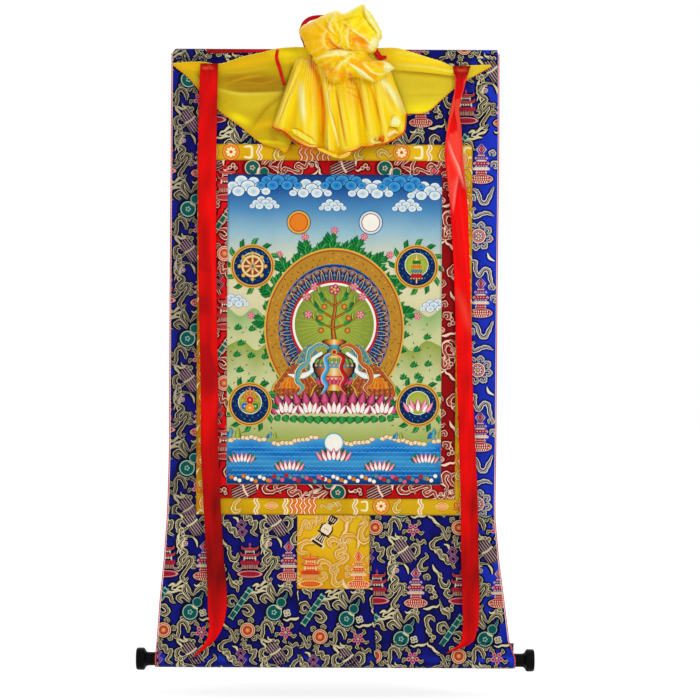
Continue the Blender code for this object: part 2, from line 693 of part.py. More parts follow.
def veil():
    """Bunch, skirt and wings of the veil in one piece."""
    body = cushion(UPPER_CUSHION, UPPER_BULGE, UPPER_GATHERS)
    united(body, cushion(LOWER_CUSHION, LOWER_BULGE, LOWER_GATHERS))
    united(body, slab("skirt", *skirt(), "silk"))
    united(body, slab("wing", *wing(LEFT_WING, LEFT_CREASES), "silk"))
    united(body, slab("wing", *wing(RIGHT_WING, RIGHT_CREASES), "silk"))
    body.name = "veil"
    body.data.name = "veil"


def top_tape():
    """Red tape along the front of the heading."""
    across = between(TAPE_LEFT, TAPE_RIGHT, 6)
    x, drop = np.meshgrid(across, np.array([0.0040, TAPE_HEIGHT]))
    y = np.full(x.shape, -(HEADING_THICK / 2 + LAYER_GAP + TAPE_THICK / 2))
    slab("top_tape", point(x, y - TAPE_THICK / 2, drop), point(x, y + TAPE_THICK / 2, drop), "satin")


def hanging_loop():
    """Red tape sewn to the front of the heading at both ends, rising behind the bunch."""
    turn = np.linspace(-math.pi / 2, math.pi / 2, 15)
    aside = np.sign(np.sin(turn)) * np.abs(np.sin(turn)) ** LOOP_SQUARENESS
    x = LOOP_MIDDLE + LOOP_HALF_SPAN * aside
    height = LOOP_RISE * np.abs(np.cos(turn)) ** LOOP_SQUARENESS
    x = np.concatenate([[x[0], x[0]], x, [x[-1], x[-1]]])
    height = np.concatenate([[-LOOP_FOOT, -0.002], height, [-0.002, -LOOP_FOOT]])
    over_tape = HEADING_THICK / 2 + LAYER_GAP + TAPE_THICK + LAYER_GAP + TAPE_THICK / 2
    path = np.stack([x, height], axis=1)
    run = np.gradient(path, axis=0)
    run = run / np.linalg.norm(run, axis=1)[:, None]
    out = np.stack([-run[:, 1], run[:, 0]], axis=1)
    edges = [path + out * side * LOOP_WIDTH / 2 for side in (-1, 1)]
    x = np.stack([edge[:, 0] for edge in edges])
    height = np.stack([edge[:, 1] for edge in edges])
    y = np.full(x.shape, -over_tape)
    front = point(x, y - TAPE_THICK / 2, -height)
    behind = point(x, y + TAPE_THICK / 2, -height)
    slab("hanging_loop", front, behind, "satin")


def clear_scene():
    for old in list(bpy.data.objects):
        bpy.data.objects.remove(old)


def build():
    clear_scene()
    ground_panels()
    edge_cord("edge_cord_left", "left", -1)
    edge_cord("edge_cord_right", "right", 1)
    borders()
    painting()
    apron_patch()
    roller()
    veil()
    on_left, on_right = (LEFT_WING, LEFT_CREASES), (RIGHT_WING, RIGHT_CREASES)
    strip("ribbon_left", LEFT_RIBBON, RIBBON_THICK, on_left, free=True, step=0.045)
    strip("ribbon_right", RIGHT_RIBBON, RIBBON_THICK, on_right, free=True, step=0.045)
    strip("veil_tie_left", LEFT_TIE, TAPE_THICK, on_left)
    strip("veil_tie_right", RIGHT_TIE, TAPE_THICK, on_right)
    top_tape()
    hanging_loop()


build()
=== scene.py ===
import math

import bpy
import numpy as np
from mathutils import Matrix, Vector


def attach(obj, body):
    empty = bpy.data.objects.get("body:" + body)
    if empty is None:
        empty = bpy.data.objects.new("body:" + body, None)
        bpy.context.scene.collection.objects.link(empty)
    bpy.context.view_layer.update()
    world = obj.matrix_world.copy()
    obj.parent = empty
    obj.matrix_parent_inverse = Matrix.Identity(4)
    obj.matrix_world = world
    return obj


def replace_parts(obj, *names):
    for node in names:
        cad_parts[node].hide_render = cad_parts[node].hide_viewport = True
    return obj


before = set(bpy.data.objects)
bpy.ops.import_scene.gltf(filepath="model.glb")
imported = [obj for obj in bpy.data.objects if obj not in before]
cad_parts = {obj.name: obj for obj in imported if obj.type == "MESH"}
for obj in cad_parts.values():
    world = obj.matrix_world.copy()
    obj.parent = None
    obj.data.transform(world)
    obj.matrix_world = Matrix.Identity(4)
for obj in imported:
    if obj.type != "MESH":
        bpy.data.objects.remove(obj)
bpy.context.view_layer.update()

# Metres throughout. X runs to the right, the front faces -Y, and a drop is a distance
# below the top edge, so Z is minus the drop.

# small helpers


def smoothStep(t):  # 0 before 0, 1 after 1, soft between
    t = np.clip(t, 0.0, 1.0)
    return t * t * (3 - 2 * t)


dyeStrength = 0.74  # so that a colour under the studio's light renders at its own level


def paint(*levels):  # a colour given as 0 to 255 screen levels, as linear light
    level = np.array(levels, float) / 255
    return dyeStrength * np.where(level <= 0.04045, level / 12.92, ((level + 0.055) / 1.055) ** 2.4)


def curve(points, count):  # a smooth line through the points, any number of columns
    known = np.array(points, float)
    known = np.vstack([2 * known[0] - known[1], known, 2 * known[-1] - known[-2]])
    at = np.linspace(0, len(known) - 3, count)
    first = np.minimum(at.astype(int), len(known) - 4)
    t = (at - first)[:, None]
    a, b, c, d = (known[first + k] for k in range(4))
    return 0.5 * (2 * b + (c - a) * t + (2 * a - 5 * b + 4 * c - d) * t ** 2
                  + (3 * b - a - 3 * c + d) * t ** 3)


def table(rows, at):  # the table's columns read at places along its first column
    rows = np.array(rows, float)
    return [np.interp(at, rows[:, 0], rows[:, k]) for k in range(1, rows.shape[1])]


def smoothTable(rows, at):  # the same with soft bends: cubics whose slopes agree at the rows
    rows = np.array(rows, float)
    known, columns = rows[:, 0], rows[:, 1:]
    slopes = np.gradient(columns, known, axis=0)
    place = np.clip(np.searchsorted(known, at, "right") - 1, 0, len(known) - 2)
    gap = (known[1:] - known[:-1])[place]
    t = np.clip((at - known[place]) / gap, 0, 1)
    rise = t * t * (3 - 2 * t)
    leave, arrive = t * (1 - t) ** 2 * gap, -t * t * (1 - t) * gap
    return [columns[place, k] * (1 - rise) + columns[place + 1, k] * rise
            + slopes[place, k] * leave + slopes[place + 1, k] * arrive for k in range(columns.shape[1])]


def ripple(x, y, seed, waves=5):  # a sum of sines at odd angles, -1 to 1
    draw = np.random.default_rng(seed)
    total = 0
    for _ in range(waves):
        angle = draw.uniform(0, 2 * np.pi)
        rate, phase = draw.uniform(0.6, 1.7), draw.uniform(0, 2 * np.pi)
        total = total + np.sin(rate * (x * np.cos(angle) + y * np.sin(angle)) + phase)
    return total / waves


# meshes


def gridFaces(rows, columns, closed=False):  # quads that face the front of a grid
    index = np.arange(rows * columns).reshape(rows, columns)
    if closed:
        index = np.hstack([index, index[:, :1]])
    a, b, c, d = index[:-1, :-1], index[1:, :-1], index[1:, 1:], index[:-1, 1:]
    return np.stack([a, b, c, d], axis=-1).reshape(-1, 4)


def makePiece(name, points, faces, materials, colours, indexes=None, sharp=None):
    # a mesh of the points and faces, coloured point by point, that rides on the root body
    mesh = bpy.data.meshes.new(name)
    points = np.asarray(points, float).reshape(-1, 3)
    faces = np.asarray(faces, int)
    mesh.vertices.add(len(points))
    mesh.vertices.foreach_set("co", points.ravel())
    mesh.loops.add(faces.size)
    mesh.loops.foreach_set("vertex_index", faces.ravel())
    mesh.polygons.add(len(faces))
    mesh.polygons.foreach_set("loop_start", np.arange(0, faces.size, faces.shape[1]))
    mesh.polygons.foreach_set("use_smooth", np.ones(len(faces), bool))
    if colours is not None:
        tint = mesh.color_attributes.new("tint", "FLOAT_COLOR", "POINT")
        full = np.ones((len(points), 4))
        full[:, :3] = np.asarray(colours).reshape(-1, 3)
        tint.data.foreach_set("color", full.ravel())
    for material in materials:
        mesh.materials.append(material)
    if indexes is not None:
        mesh.polygons.foreach_set("material_index", np.asarray(indexes, np.int32))
    mesh.update(calc_edges=True)
    mesh.validate()
    if sharp:
        mesh.set_sharp_from_angle(angle=math.radians(sharp))
    piece = bpy.data.objects.new(name, mesh)
    bpy.context.scene.collection.objects.link(piece)
    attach(piece, "root")
    return piece


def rimOf(faces, total):  # quads that close the gap between a front and a back copy
    starts, ends = faces.ravel(), np.roll(faces, -1, axis=1).ravel()
    single = ~np.isin(starts * total + ends, ends * total + starts)
    a, b = starts[single], ends[single]
    return np.stack([a, a + total, b + total, b], axis=-1)


def clothParts(front, back, colours, cells=None):
    # a closed sheet between a front and a back grid, where cells that are False are left out
    rows, columns = front.shape[:2]
    faces = gridFaces(rows, columns)
    if cells is not None:
        faces = faces[cells.ravel()]
    total = rows * columns
    rim = rimOf(faces, total)
    allFaces = np.vstack([faces, faces[:, ::-1] + total, rim])
    points = np.vstack([front.reshape(-1, 3), back.reshape(-1, 3)])
    colours = np.broadcast_to(colours, (rows, columns, 3)).reshape(-1, 3)
    tints = np.vstack([colours, colours])
    if cells is not None:
        used, allFaces = np.unique(allFaces, return_inverse=True)
        allFaces = allFaces.reshape(-1, 4)
        points, tints = points[used], tints[used]
    indexes = np.zeros(len(allFaces), int)
    indexes[len(faces):2 * len(faces)] = 1
    return points, allFaces, tints, indexes


def joined(parts):  # several closed parts as one mesh's arrays
    points, faces, tints, indexes, count = [], [], [], [], 0
    for part in parts:
        points.append(part[0])
        faces.append(part[1] + count)
        tints.append(part[2])
        indexes.append(part[3])
        count += len(part[0])
    return tuple(np.concatenate(arrays) for arrays in (points, faces, tints, indexes))


def clothPiece(name, front, back, materials, colours, cells=None):
    # that sheet as a piece, where a second material goes on its back
    points, faces, tints, indexes = clothParts(front, back, colours, cells)
    return makePiece(name, points, faces, materials, tints, indexes % len(materials), 50)


# materials


class Wire:  # one output of a node, which sums and products can be written with
    def __init__(self, board, socket):
        self.board, self.socket = board, socket

    def maths(self, operation, *values):  # the operation on the values, as one Math node
        return self.board.node("ShaderNodeMath", {"operation": operation}, dict(enumerate(values)))

    def sine(self):  # its sine, as one Math node
        return self.maths("SINE", self)

    def __add__(self, other):
        return self.maths("ADD", self, other)

    def __radd__(self, other):
        return self.maths("ADD", other, self)

    def __sub__(self, other):
        return self.maths("SUBTRACT", self, other)

    def __rsub__(self, other):
        return self.maths("SUBTRACT", other, self)

    def __mul__(self, other):
        return self.maths("MULTIPLY", self, other)

    def __rmul__(self, other):
        return self.maths("MULTIPLY", other, self)


class Board:  # one material and its nodes
    def __init__(self, name, **shaderValues):
        self.material = bpy.data.materials.new(name)
        self.material.use_nodes = True
        self.tree = self.material.node_tree
        self.shader = self.tree.nodes["Principled BSDF"]
        self.finish(**shaderValues)

    def finish(self, **values):  # sets or links the shader's own sockets
        for key, value in values.items():
            self.feed(self.shader.inputs[key.replace("_", " ")], value)

    def feed(self, socket, value):  # a link where the value is a wire, or else the value itself
        if isinstance(value, Wire):
            self.tree.links.new(value.socket, socket)
        elif isinstance(socket.default_value, float) or isinstance(value, str):
            socket.default_value = value
        elif len(socket.default_value) == 4:
            socket.default_value = (*value[:3], 1.0)
        else:
            socket.default_value = value

    def node(self, kind, settings=(), sockets=(), out=0):  # a node, its settings first, then its sockets
        made = self.tree.nodes.new(kind)
        for key, value in dict(settings).items():
            if key == "stops":
                for _ in range(len(value) - 2):
                    made.color_ramp.elements.new(0.5)
                for stop, (place, colour) in zip(made.color_ramp.elements, value):
                    stop.position = place
                    stop.color = (*colour, 1.0)
            else:
                setattr(made, key, value)
        for key, value in dict(sockets).items():
            self.feed(made.inputs[key], value)
        return Wire(self, made.outputs[out])

    def tint(self):  # the colour kept at each point of the mesh
        return self.node("ShaderNodeAttribute", {"attribute_name": "tint"})

    def place(self):  # the point on the piece, in metres
        return self.node("ShaderNodeTexCoord", out=3)

    def stretched(self, x, y, z):  # the place, scaled by a different amount each way
        return self.node("ShaderNodeMapping", {}, {"Vector": self.place(), "Scale": (x, y, z)})

    def noise(self, where, scale, detail, roughness=0.5):  # soft random spots, 0 to 1
        sockets = {"Vector": where, "Scale": scale, "Detail": detail, "Roughness": roughness}
        return self.node("ShaderNodeTexNoise", {}, sockets)

    def mix(self, factor, one, other):  # from one colour to the other as the factor goes from 0 to 1
        settings = {"data_type": "RGBA", "clamp_result": True}
        return self.node("ShaderNodeMix", settings, {0: factor, 6: one, 7: other}, out=2)

    def shade(self, colour, value):  # the colour, brightened or darkened by a value
        settings = {"operation": "SCALE"}
        return self.node("ShaderNodeVectorMath", settings, {0: colour, "Scale": value})

    def bump(self, height, strength, distance):  # a normal tilted by the slope of the height
        sockets = {"Height": height, "Strength": strength, "Distance": distance}
        return self.node("ShaderNodeBump", {}, sockets)

    def separate(self, where):  # the three coordinates of a place
        made = self.tree.nodes.new("ShaderNodeSeparateXYZ")
        self.feed(made.inputs[0], where)
        return [Wire(self, output) for output in made.outputs]


def threads(board, across, along):  # fine crossing threads, 0 to 1, rates per metre
    x, _, z = board.separate(board.place())
    return (x * across).sine() * (z * along).sine() * 0.5 + 0.5


def brocadeMaterial(name, roughness, threadRate):
    # woven silk: the figure colour from the tint, with threads, slubs and soft patches
    board = Board(name, Specular_IOR_Level=0.05)
    weave = threads(board, threadRate, threadRate * 0.8)
    slubs = board.noise(board.stretched(1, 1, 14), 150, 2)
    patches = board.noise(board.place(), 9, 3)
    brightness = 0.80 + patches * 0.25 + slubs * 0.14 + weave * 0.07
    board.finish(Base_Color=board.shade(board.tint(), brightness),
                 Roughness=roughness + slubs * 0.18 - 0.09,
                 Normal=board.bump(weave + slubs * 0.8, 0.35, 0.0004))
    return board.material


def reverseMaterial(name, warpColour, floatColour):
    # the back of a brocade: floats of the figure threads, dull and mixed
    board = Board(name, Specular_IOR_Level=0.05)
    floats = board.noise(board.stretched(60, 1, 9), 9, 3, 0.65)
    mask = board.node("ShaderNodeValToRGB", {"stops": [(0.50, (0, 0, 0)), (0.62, (1, 1, 1))]}, {0: floats})
    weave = threads(board, 5200, 4300)
    colour = board.mix(mask, warpColour, floatColour)
    board.finish(Base_Color=board.shade(colour, 0.85 + weave * 0.15), Roughness=0.75 + weave * 0.1,
                 Normal=board.bump(weave + floats, 0.4, 0.0004))
    return board.material


print("helpers ready")

# camera and light

photo = {
    "scale": 0.001935,   # metres for one pixel of the photograph at the cloth
    "middle": 334.2,     # the pixel column of X = 0
    "top": 49.45,        # the pixel row of the top edge at the picture's middle
    "size": 700,
    "roll": 0.00436,     # the photograph leans this much, in radians
    "distance": 6.0,
}


def addCamera():  # far enough for the photograph's flat view, aimed square at the cloth
    lens = bpy.data.cameras.new("camera")
    lens.sensor_width = 36
    lens.lens = lens.sensor_width * photo["distance"] / (photo["size"] * photo["scale"])
    lens.clip_end = 60
    camera = bpy.data.objects.new("camera", lens)
    half = photo["size"] / 2
    x = (half - photo["middle"]) * photo["scale"]
    z = -(half - photo["top"]) * photo["scale"]
    camera.location = (x, -photo["distance"], z)
    camera.rotation_euler = (math.pi / 2, -photo["roll"], 0)
    bpy.context.scene.collection.objects.link(camera)
    bpy.context.scene.camera = camera


studio = {
    "floor": -1.262,
    "floorSize": 40,
    "aim": (0, 0, -0.55),   # where the lamps point
    "sky": 1.0,
    "lamps": [  # place, size, watts
        ((1.9, -3.4, 0.9), 1.2, 40),
        ((-2.6, -4.2, 0.2), 2.4, 14),
        ((0.2, 2.8, 1.6), 2.5, 24),
    ],
}


def addStudio():  # a white sky, three soft lamps and a pale floor
    world = bpy.data.worlds.new("studio")
    world.use_nodes = True
    sky = world.node_tree.nodes["Background"]
    sky.inputs["Color"].default_value = (1, 1, 1, 1)
    sky.inputs["Strength"].default_value = studio["sky"]
    bpy.context.scene.world = world
    bpy.context.scene.view_settings.view_transform = "Standard"
    for number, (place, size, watts) in enumerate(studio["lamps"]):
        lamp = bpy.data.lights.new(f"lamp{number}", "AREA")
        lamp.size = size
        lamp.energy = watts
        holder = bpy.data.objects.new(f"lamp{number}", lamp)
        holder.location = place
        aim = Vector(studio["aim"]) - Vector(place)
        holder.rotation_euler = aim.to_track_quat("-Z", "Y").to_euler()
        bpy.context.scene.collection.objects.link(holder)
    half = studio["floorSize"] / 2
    corners = [(-half, half, studio["floor"]), (-half, -half, studio["floor"]),
               (half, -half, studio["floor"]), (half, half, studio["floor"])]
    mesh = bpy.data.meshes.new("floor")
    mesh.from_pydata(corners, [], [(0, 1, 2, 3)])
    board = Board("floorPaint", Base_Color=(0.97, 0.97, 0.97), Roughness=0.9, Specular_IOR_Level=0.2,
                  Emission_Color=(1.0, 1.0, 1.0), Emission_Strength=0.06)
    mesh.materials.append(board.material)
    floor = bpy.data.objects.new("floor", mesh)
    bpy.context.scene.collection.objects.link(floor)


addCamera()
addStudio()
print("camera and light set")

# the hanging cloth

hanging = {
    "cloth": 0.0016,   # thickness
    "paintingWidth": 0.415,
    "paintingHeight": 0.600,
    "redStrip": 0.027,
    "yellowStrip": 0.0315,
    "toBorder": 0.1838,
    "apronWidth": 0.140,
    "apronLength": 0.143,
    "rollerDrop": 1.1805,
    "rodRadius": 0.0140,
    "stitch": 1.148,
    "outline": [  # drop, left edge, right edge
        (0.000, -0.3090, 0.3130), (0.007, -0.3146, 0.3146), (0.180, -0.3152, 0.3150),
        (0.480, -0.3162, 0.3127), (0.770, -0.3160, 0.3119), (0.870, -0.3184, 0.3106),
        (0.910, -0.3202, 0.3110), (0.990, -0.3257, 0.3187), (1.065, -0.3330, 0.3288),
        (1.143, -0.3384, 0.3388), (1.180, -0.3406, 0.3500), (2.000, -0.3406, 0.3500)],
    "seamLeft": (-0.0697, -0.0640),   # x at the top and at the roller
    "seamRight": (0.0683, 0.0840),
    "folds": [  # x, lean, half width, depth to the back, start, end
        (-0.290, -0.03, 0.045, 0.0030, 0.16, 1.10), (-0.345, -0.02, 0.040, -0.0040, 0.20, 1.10),
        (0.290, 0.02, 0.050, 0.0030, 0.16, 1.10), (0.345, 0.03, 0.040, -0.0045, 0.18, 1.10),
        (0.030, 0.00, 0.160, -0.0030, 0.20, 0.90), (-0.150, 0.04, 0.060, 0.0025, 0.60, 1.12),
        (0.190, -0.05, 0.060, 0.0030, 0.62, 1.12), (-0.030, 0.02, 0.070, -0.0025, 0.88, 1.12)],
    "foldFade": 0.14,
    "pucker": (0.0002, 0.011),   # depth of the stitches' puckers and how far they reach
    "sag": 0.0006,
}
redDrop = hanging["toBorder"] + hanging["yellowStrip"]
paintingDrop = redDrop + hanging["redStrip"]
paintingEnd = paintingDrop + hanging["paintingHeight"]
redEnd = paintingEnd + hanging["redStrip"]
borderEnd = redEnd + hanging["yellowStrip"]
halfPainting = hanging["paintingWidth"] / 2
halfRed = halfPainting + hanging["redStrip"]
halfYellow = halfRed + hanging["yellowStrip"]
sleeveRadius = hanging["rodRadius"] + 0.0005 + hanging["cloth"] / 2


def outlineAt(drop):  # the cloth's left and right edge at a drop
    return table(hanging["outline"], drop)


def clothY(x, drop):  # depth of the middle of the hanging cloth, as in the solids
    y = np.zeros(np.broadcast(x, drop).shape)
    fade = hanging["foldFade"]
    for foldX, lean, halfWidth, depth, start, end in hanging["folds"]:
        lasting = smoothStep((drop - start) / fade) * smoothStep((end - drop) / fade)
        across = (x - foldX - lean * (drop - 0.6)) / halfWidth
        y = y + depth * np.exp(-across * across) * lasting
    return y


def seamPull(x, drop):  # puckers along the border's outer stitching, and a slight sag
    inside = np.minimum(halfYellow - np.abs(x), np.minimum(drop - hanging["toBorder"], borderEnd - drop))
    outside = np.hypot(np.maximum(np.abs(x) - halfYellow, 0),
                       np.maximum(np.maximum(hanging["toBorder"] - drop, drop - borderEnd), 0))
    depth, reach = hanging["pucker"]
    near = np.exp(-(np.where(inside > 0, inside, outside) / reach))
    pucker = np.sin(x * 290 + np.sin(drop * 60) * 2) * np.sin(drop * 280 + np.sin(x * 40) * 2)
    sag = ripple(x * 22, drop * 16, 5) * hanging["sag"]
    sag = sag * smoothStep(drop / 0.1) * smoothStep((1.14 - drop) / 0.05)
    return pucker * near * depth * smoothStep((drop - 0.03) / 0.03) + sag


def hang(x, drop, lift):  # the cloth's middle moved out to the front by lift
    y = clothY(x, drop) + seamPull(x, drop) - lift
    x, y, drop = np.broadcast_arrays(x, y, drop)
    return np.stack([x, y, -drop], axis=-1)


def sleeve(x, run, lift):  # past the stitch line the cloth runs down and round the roller
    straight = sleeveStraight
    turned = 2 * (math.pi - sleeveStart)
    past = run - hanging["stitch"]
    angle = sleeveStart + np.clip((past - straight) / sleeveRadius, 0, turned)
    normalY, normalDrop = -np.sin(angle), -np.cos(angle)
    y = sleeveRadius * normalY
    drop = hanging["rollerDrop"] + sleeveRadius * normalDrop
    before = np.clip(1 - past / straight, 0, 1)  # on the way down to the roller
    rest = (past - straight) / sleeveRadius - turned
    after = np.clip(rest * sleeveRadius / straight, 0, 1)  # and back up behind it
    stitchY = clothY(x, np.full(np.shape(run), hanging["stitch"]))
    y = y * (1 - before) * (1 - after) + stitchY * before + 0.0022 * after
    drop = drop * (1 - before) * (1 - after) + hanging["stitch"] * (before + after)
    x, y, drop = np.broadcast_arrays(x, y + lift * normalY, drop + lift * normalDrop)
    return np.stack([x, y, -drop], axis=-1)


sleeveReach = hanging["rollerDrop"] - hanging["stitch"]
sleeveStraight = math.sqrt(sleeveReach ** 2 - sleeveRadius ** 2)
sleeveStart = math.acos(sleeveRadius / sleeveReach)
sleeveEnd = hanging["stitch"] + 2 * sleeveStraight + 2 * sleeveRadius * (math.pi - sleeveStart)


def lowerCloth(x, run, lift):  # flat panel, then the sleeve, blended over the stitches
    flat = hang(x, np.minimum(run, hanging["stitch"]), lift)
    turned = sleeve(x, np.maximum(run, hanging["stitch"]), lift)
    return np.where((run > hanging["stitch"])[..., None], turned, flat)


# Figures are drawn flat, in steps of one figure unit, with y downwards. A band is a share
# of the half width and a colour: two bands at one share make a crisp colour edge.

figureUnit = 0.001935
longestStep = 3.0


def finer(rows, reach):  # rows of numbers, with more between so that no step is long
    made = []
    for first, second in zip(rows[:-1], rows[1:]):
        parts = max(1, math.ceil(abs(second[0] - first[0]) * reach / longestStep))
        for k in range(parts):
            made.append(tuple(a + (b - a) * (k / parts) for a, b in zip(first, second)))
    return made + [rows[-1]]


pigment = {
    name: paint(*levels) for name, levels in {
        "ink": (14, 22, 34), "navy": (10, 40, 92), "blue": (16, 96, 172), "sky": (70, 164, 220),
        "pale": (200, 230, 238), "white": (246, 244, 230), "teal": (84, 146, 150), "green": (22, 124, 54),
        "leaf": (60, 156, 70), "dark": (10, 72, 44), "moss": (142, 160, 62), "lime": (168, 182, 64),
        "gold": (222, 176, 64), "ochre": (186, 134, 44), "amber": (230, 128, 34), "brown": (112, 62, 32),
        "rust": (170, 82, 44), "red": (190, 32, 44), "crimson": (138, 22, 66), "pink": (220, 96, 136),
        "rose": (244, 186, 200), "cream": (240, 224, 178), "stone": (150, 150, 104),
        "shore": (204, 206, 150),
    }.items()}


def mixed(bands):  # bands whose colours are all numbers: a name is a pigment of the painting
    return [(share, pigment[tone] if isinstance(tone, str) else tone) for share, tone in bands]


def crisp(*rings):  # rings of one colour each, given as outer radius and colour
    inner = (0, *(radius for radius, _ in rings))
    return [pair for start, (radius, tone) in zip(inner, rings) for pair in ((start, tone), (radius, tone))]


def plain(tone):  # one colour from edge to edge
    return [(-1, tone), (1, tone)]


class Sketch:  # figures as loose grids of points with colours
    def __init__(self, halo=None):  # a halo is the colour of a dark edge woven round each figure
        self.points, self.faces, self.colours, self.layers, self.count = [], [], [], [], 0
        self.halo, self.margin = halo, 1.9

    def add(self, points, colours, layer, closed=False):  # a grid of points, where higher layers lie on top
        rows, columns = points.shape[:2]
        self.points.append(points.reshape(-1, 2))
        self.colours.append(np.broadcast_to(colours, (rows, columns, 3)).reshape(-1, 3))
        self.faces.append(gridFaces(rows, columns, closed) + self.count)
        self.layers.append(np.full(rows * columns, layer, float))
        self.count += rows * columns

    def strip(self, line, half, bands, layer):  # a band of changing half width along a line
        bands = mixed(bands)
        run = np.gradient(line, axis=0)
        run = run / np.maximum(np.linalg.norm(run, axis=1), 1e-9)[:, None]
        side = np.stack([-run[:, 1], run[:, 0]], axis=1)[:, None]
        share = np.array([band[0] for band in bands])
        points = line[:, None] + side * (half[:, None] * share)[..., None]
        self.add(points, np.array([band[1] for band in bands]), layer)
        if self.halo is not None:
            edge = half[:, None] * share[-1]
            for way in (np.array([0.8, 1.0]), np.array([-1.0, -0.8])):
                reach = edge * way + self.margin * np.where(np.abs(way) > 0.9, np.sign(way), 0)
                self.add(line[:, None] + side * reach[..., None], self.halo, 0)

    def stroke(self, points, bands, layer=1, steps=4):  # points are x, y, half width
        fine = curve(points, steps * (len(points) - 1) + 1)
        puffs = 1 + 0.16 * np.sin(np.arange(len(fine)) * 1.9) * (len(bands) > 6)
        self.strip(fine[:, :2], np.maximum(fine[:, 2] * puffs, 0.02), bands, layer)

    def shape(self, x, y, stations, bands, layer=1):  # y, half width, same both sides
        widest = max(station[1] for station in stations)
        bands, stations = finer(mixed(bands), widest), np.array(finer(stations, 1), float)
        line = np.stack([np.full(len(stations), float(x)), y + stations[:, 0]], axis=1)
        share = np.array([band[0] for band in bands])
        points = line[:, None] + np.stack([stations[:, 1:2] * share, 0 * stations[:, 1:2] * share], axis=-1)
        self.add(points, np.array([band[1] for band in bands]), layer)

    def disc(self, x, y, rings, layer, sides=20, squash=1.0):  # rings round a middle
        if self.halo is not None and rings[-1][0] > 3:
            self.ring(x, y, rings[-1][0] * 0.9, rings[-1][0], squash)
        rings = finer(mixed(rings), 1)
        sides = max(sides, math.ceil(rings[-1][0] * 2))
        turn = np.linspace(0, 2 * np.pi, sides, endpoint=False)
        radius = np.array([ring[0] for ring in rings], float)[:, None]
        points = np.stack([x + radius * np.cos(turn), y + radius * np.sin(turn) * squash], axis=-1)
        colours = np.array([ring[1] for ring in rings])[:, None]
        self.add(points, np.broadcast_to(colours, (*points.shape[:2], 3)), layer, closed=True)

    def ring(self, x, y, inner, outer, squash):  # the dark edge woven round a disc
        turn = np.linspace(0, 2 * np.pi, 18, endpoint=False)
        wide = np.array([inner, outer + self.margin])[:, None]
        high = np.array([inner * squash, outer * squash + self.margin])[:, None]
        self.add(np.stack([x + wide * np.cos(turn), y + high * np.sin(turn)], axis=-1), self.halo,
                 0, closed=True)

    def stamp(self, other, x, y, turn, flip=1, size=1.0, layer=0):  # a copy, turned, mirrored, scaled
        cos, sin = math.cos(turn), math.sin(turn)
        points, faces, colours, layers = other.arrays()
        px, py = points[:, 0] * flip * size, points[:, 1] * size
        self.points.append(np.stack([x + px * cos - py * sin, y + px * sin + py * cos], axis=-1))
        self.colours.append(colours)
        self.layers.append(layers + layer)
        self.faces.append(faces + self.count)
        self.count += len(points)

    def arrays(self):  # everything drawn so far, as single arrays
        grids = (self.points, self.faces, self.colours, self.layers)
        for grid in grids:
            grid[:] = [np.concatenate(grid)]
        return [grid[0] for grid in grids]


def figuresOn(name, sketch, unit, surface, clip, material, lift=0.00015, step=0.00005):
    # the sketch cut to the cloth's edge and laid on its surface: quads that lose 97% of their
    # area at the edge are dropped, and all are turned to face the front
    points, faces, colours, layers = sketch.arrays()
    x, run = points[:, 0] * unit, points[:, 1] * unit
    before = np.stack([x, run], axis=-1)
    x, run = clip(x, run)
    after = np.stack([x, run], axis=-1)

    def area(at):  # of each quad, signed by the way it turns
        a, b, c, d = (at[faces[:, k]] for k in range(4))
        one, two = c - a, d - b
        return 0.5 * (one[:, 0] * two[:, 1] - one[:, 1] * two[:, 0])

    was, now = area(before), area(after)
    leastShare, leastArea = 0.03, 1e-10
    kept = np.abs(now) > np.maximum(np.abs(was) * leastShare, leastArea)
    faces, now = faces[kept], now[kept]
    faces = np.where((now > 0)[:, None], faces[:, ::-1], faces)
    used, faces = np.unique(faces, return_inverse=True)
    faces = faces.reshape(-1, 4)
    place = surface(x[used], run[used], lift + layers[used] * step)
    return makePiece(name, place, faces, [material], colours[used])


# brocade figures

dyes = {
    "blue": {
        "ground": paint(12, 12, 112), "shade": paint(8, 6, 36), "cream": paint(213, 202, 161),
        "olive": paint(142, 128, 92), "red": paint(176, 30, 48), "pink": paint(214, 140, 146),
        "purple": paint(98, 62, 120), "green": paint(4, 82, 78), "greenEdge": paint(150, 186, 168),
        "orange": paint(206, 80, 40), "gold": paint(214, 170, 80), "dark": paint(20, 12, 50)},
    "red": {
        "ground": paint(172, 8, 16), "shade": paint(110, 2, 8), "cream": paint(248, 212, 184),
        "olive": paint(196, 70, 50), "red": paint(206, 60, 60), "pink": paint(232, 150, 140),
        "purple": paint(96, 40, 70), "green": paint(10, 92, 82), "greenEdge": paint(220, 190, 160),
        "orange": paint(214, 96, 50), "gold": paint(222, 160, 90), "dark": paint(60, 6, 22)},
    "yellow": {
        "ground": paint(206, 164, 8), "shade": paint(190, 144, 6), "cream": paint(252, 236, 176),
        "olive": paint(218, 180, 50), "red": paint(222, 84, 40), "pink": paint(240, 176, 120),
        "purple": paint(214, 110, 60), "green": paint(196, 160, 20), "greenEdge": paint(240, 214, 140),
        "orange": paint(232, 140, 24), "gold": paint(236, 186, 40), "dark": paint(190, 96, 20)},
}


def ribbonBands(dye):  # a scroll's colours across: pale edges, a dark body with an olive core
    return [(-1.1, dye["cream"]), (-0.7, dye["cream"]), (-0.7, dye["shade"]), (-0.43, dye["shade"]),
            (-0.43, dye["olive"]), (0.1, dye["olive"]), (0.1, dye["shade"]), (0.7, dye["shade"]),
            (0.7, dye["cream"]), (1.1, dye["cream"])]


def wispBands(dye):  # a thin line's colours across
    return plain(dye["cream"])


def outlined(edge, fill, width):  # a fill with an edge whose width is a share of the half width
    inner = 1 - width
    return [(-1, edge), (-inner, edge), (-inner, fill), (inner, fill), (inner, edge), (1, edge)]


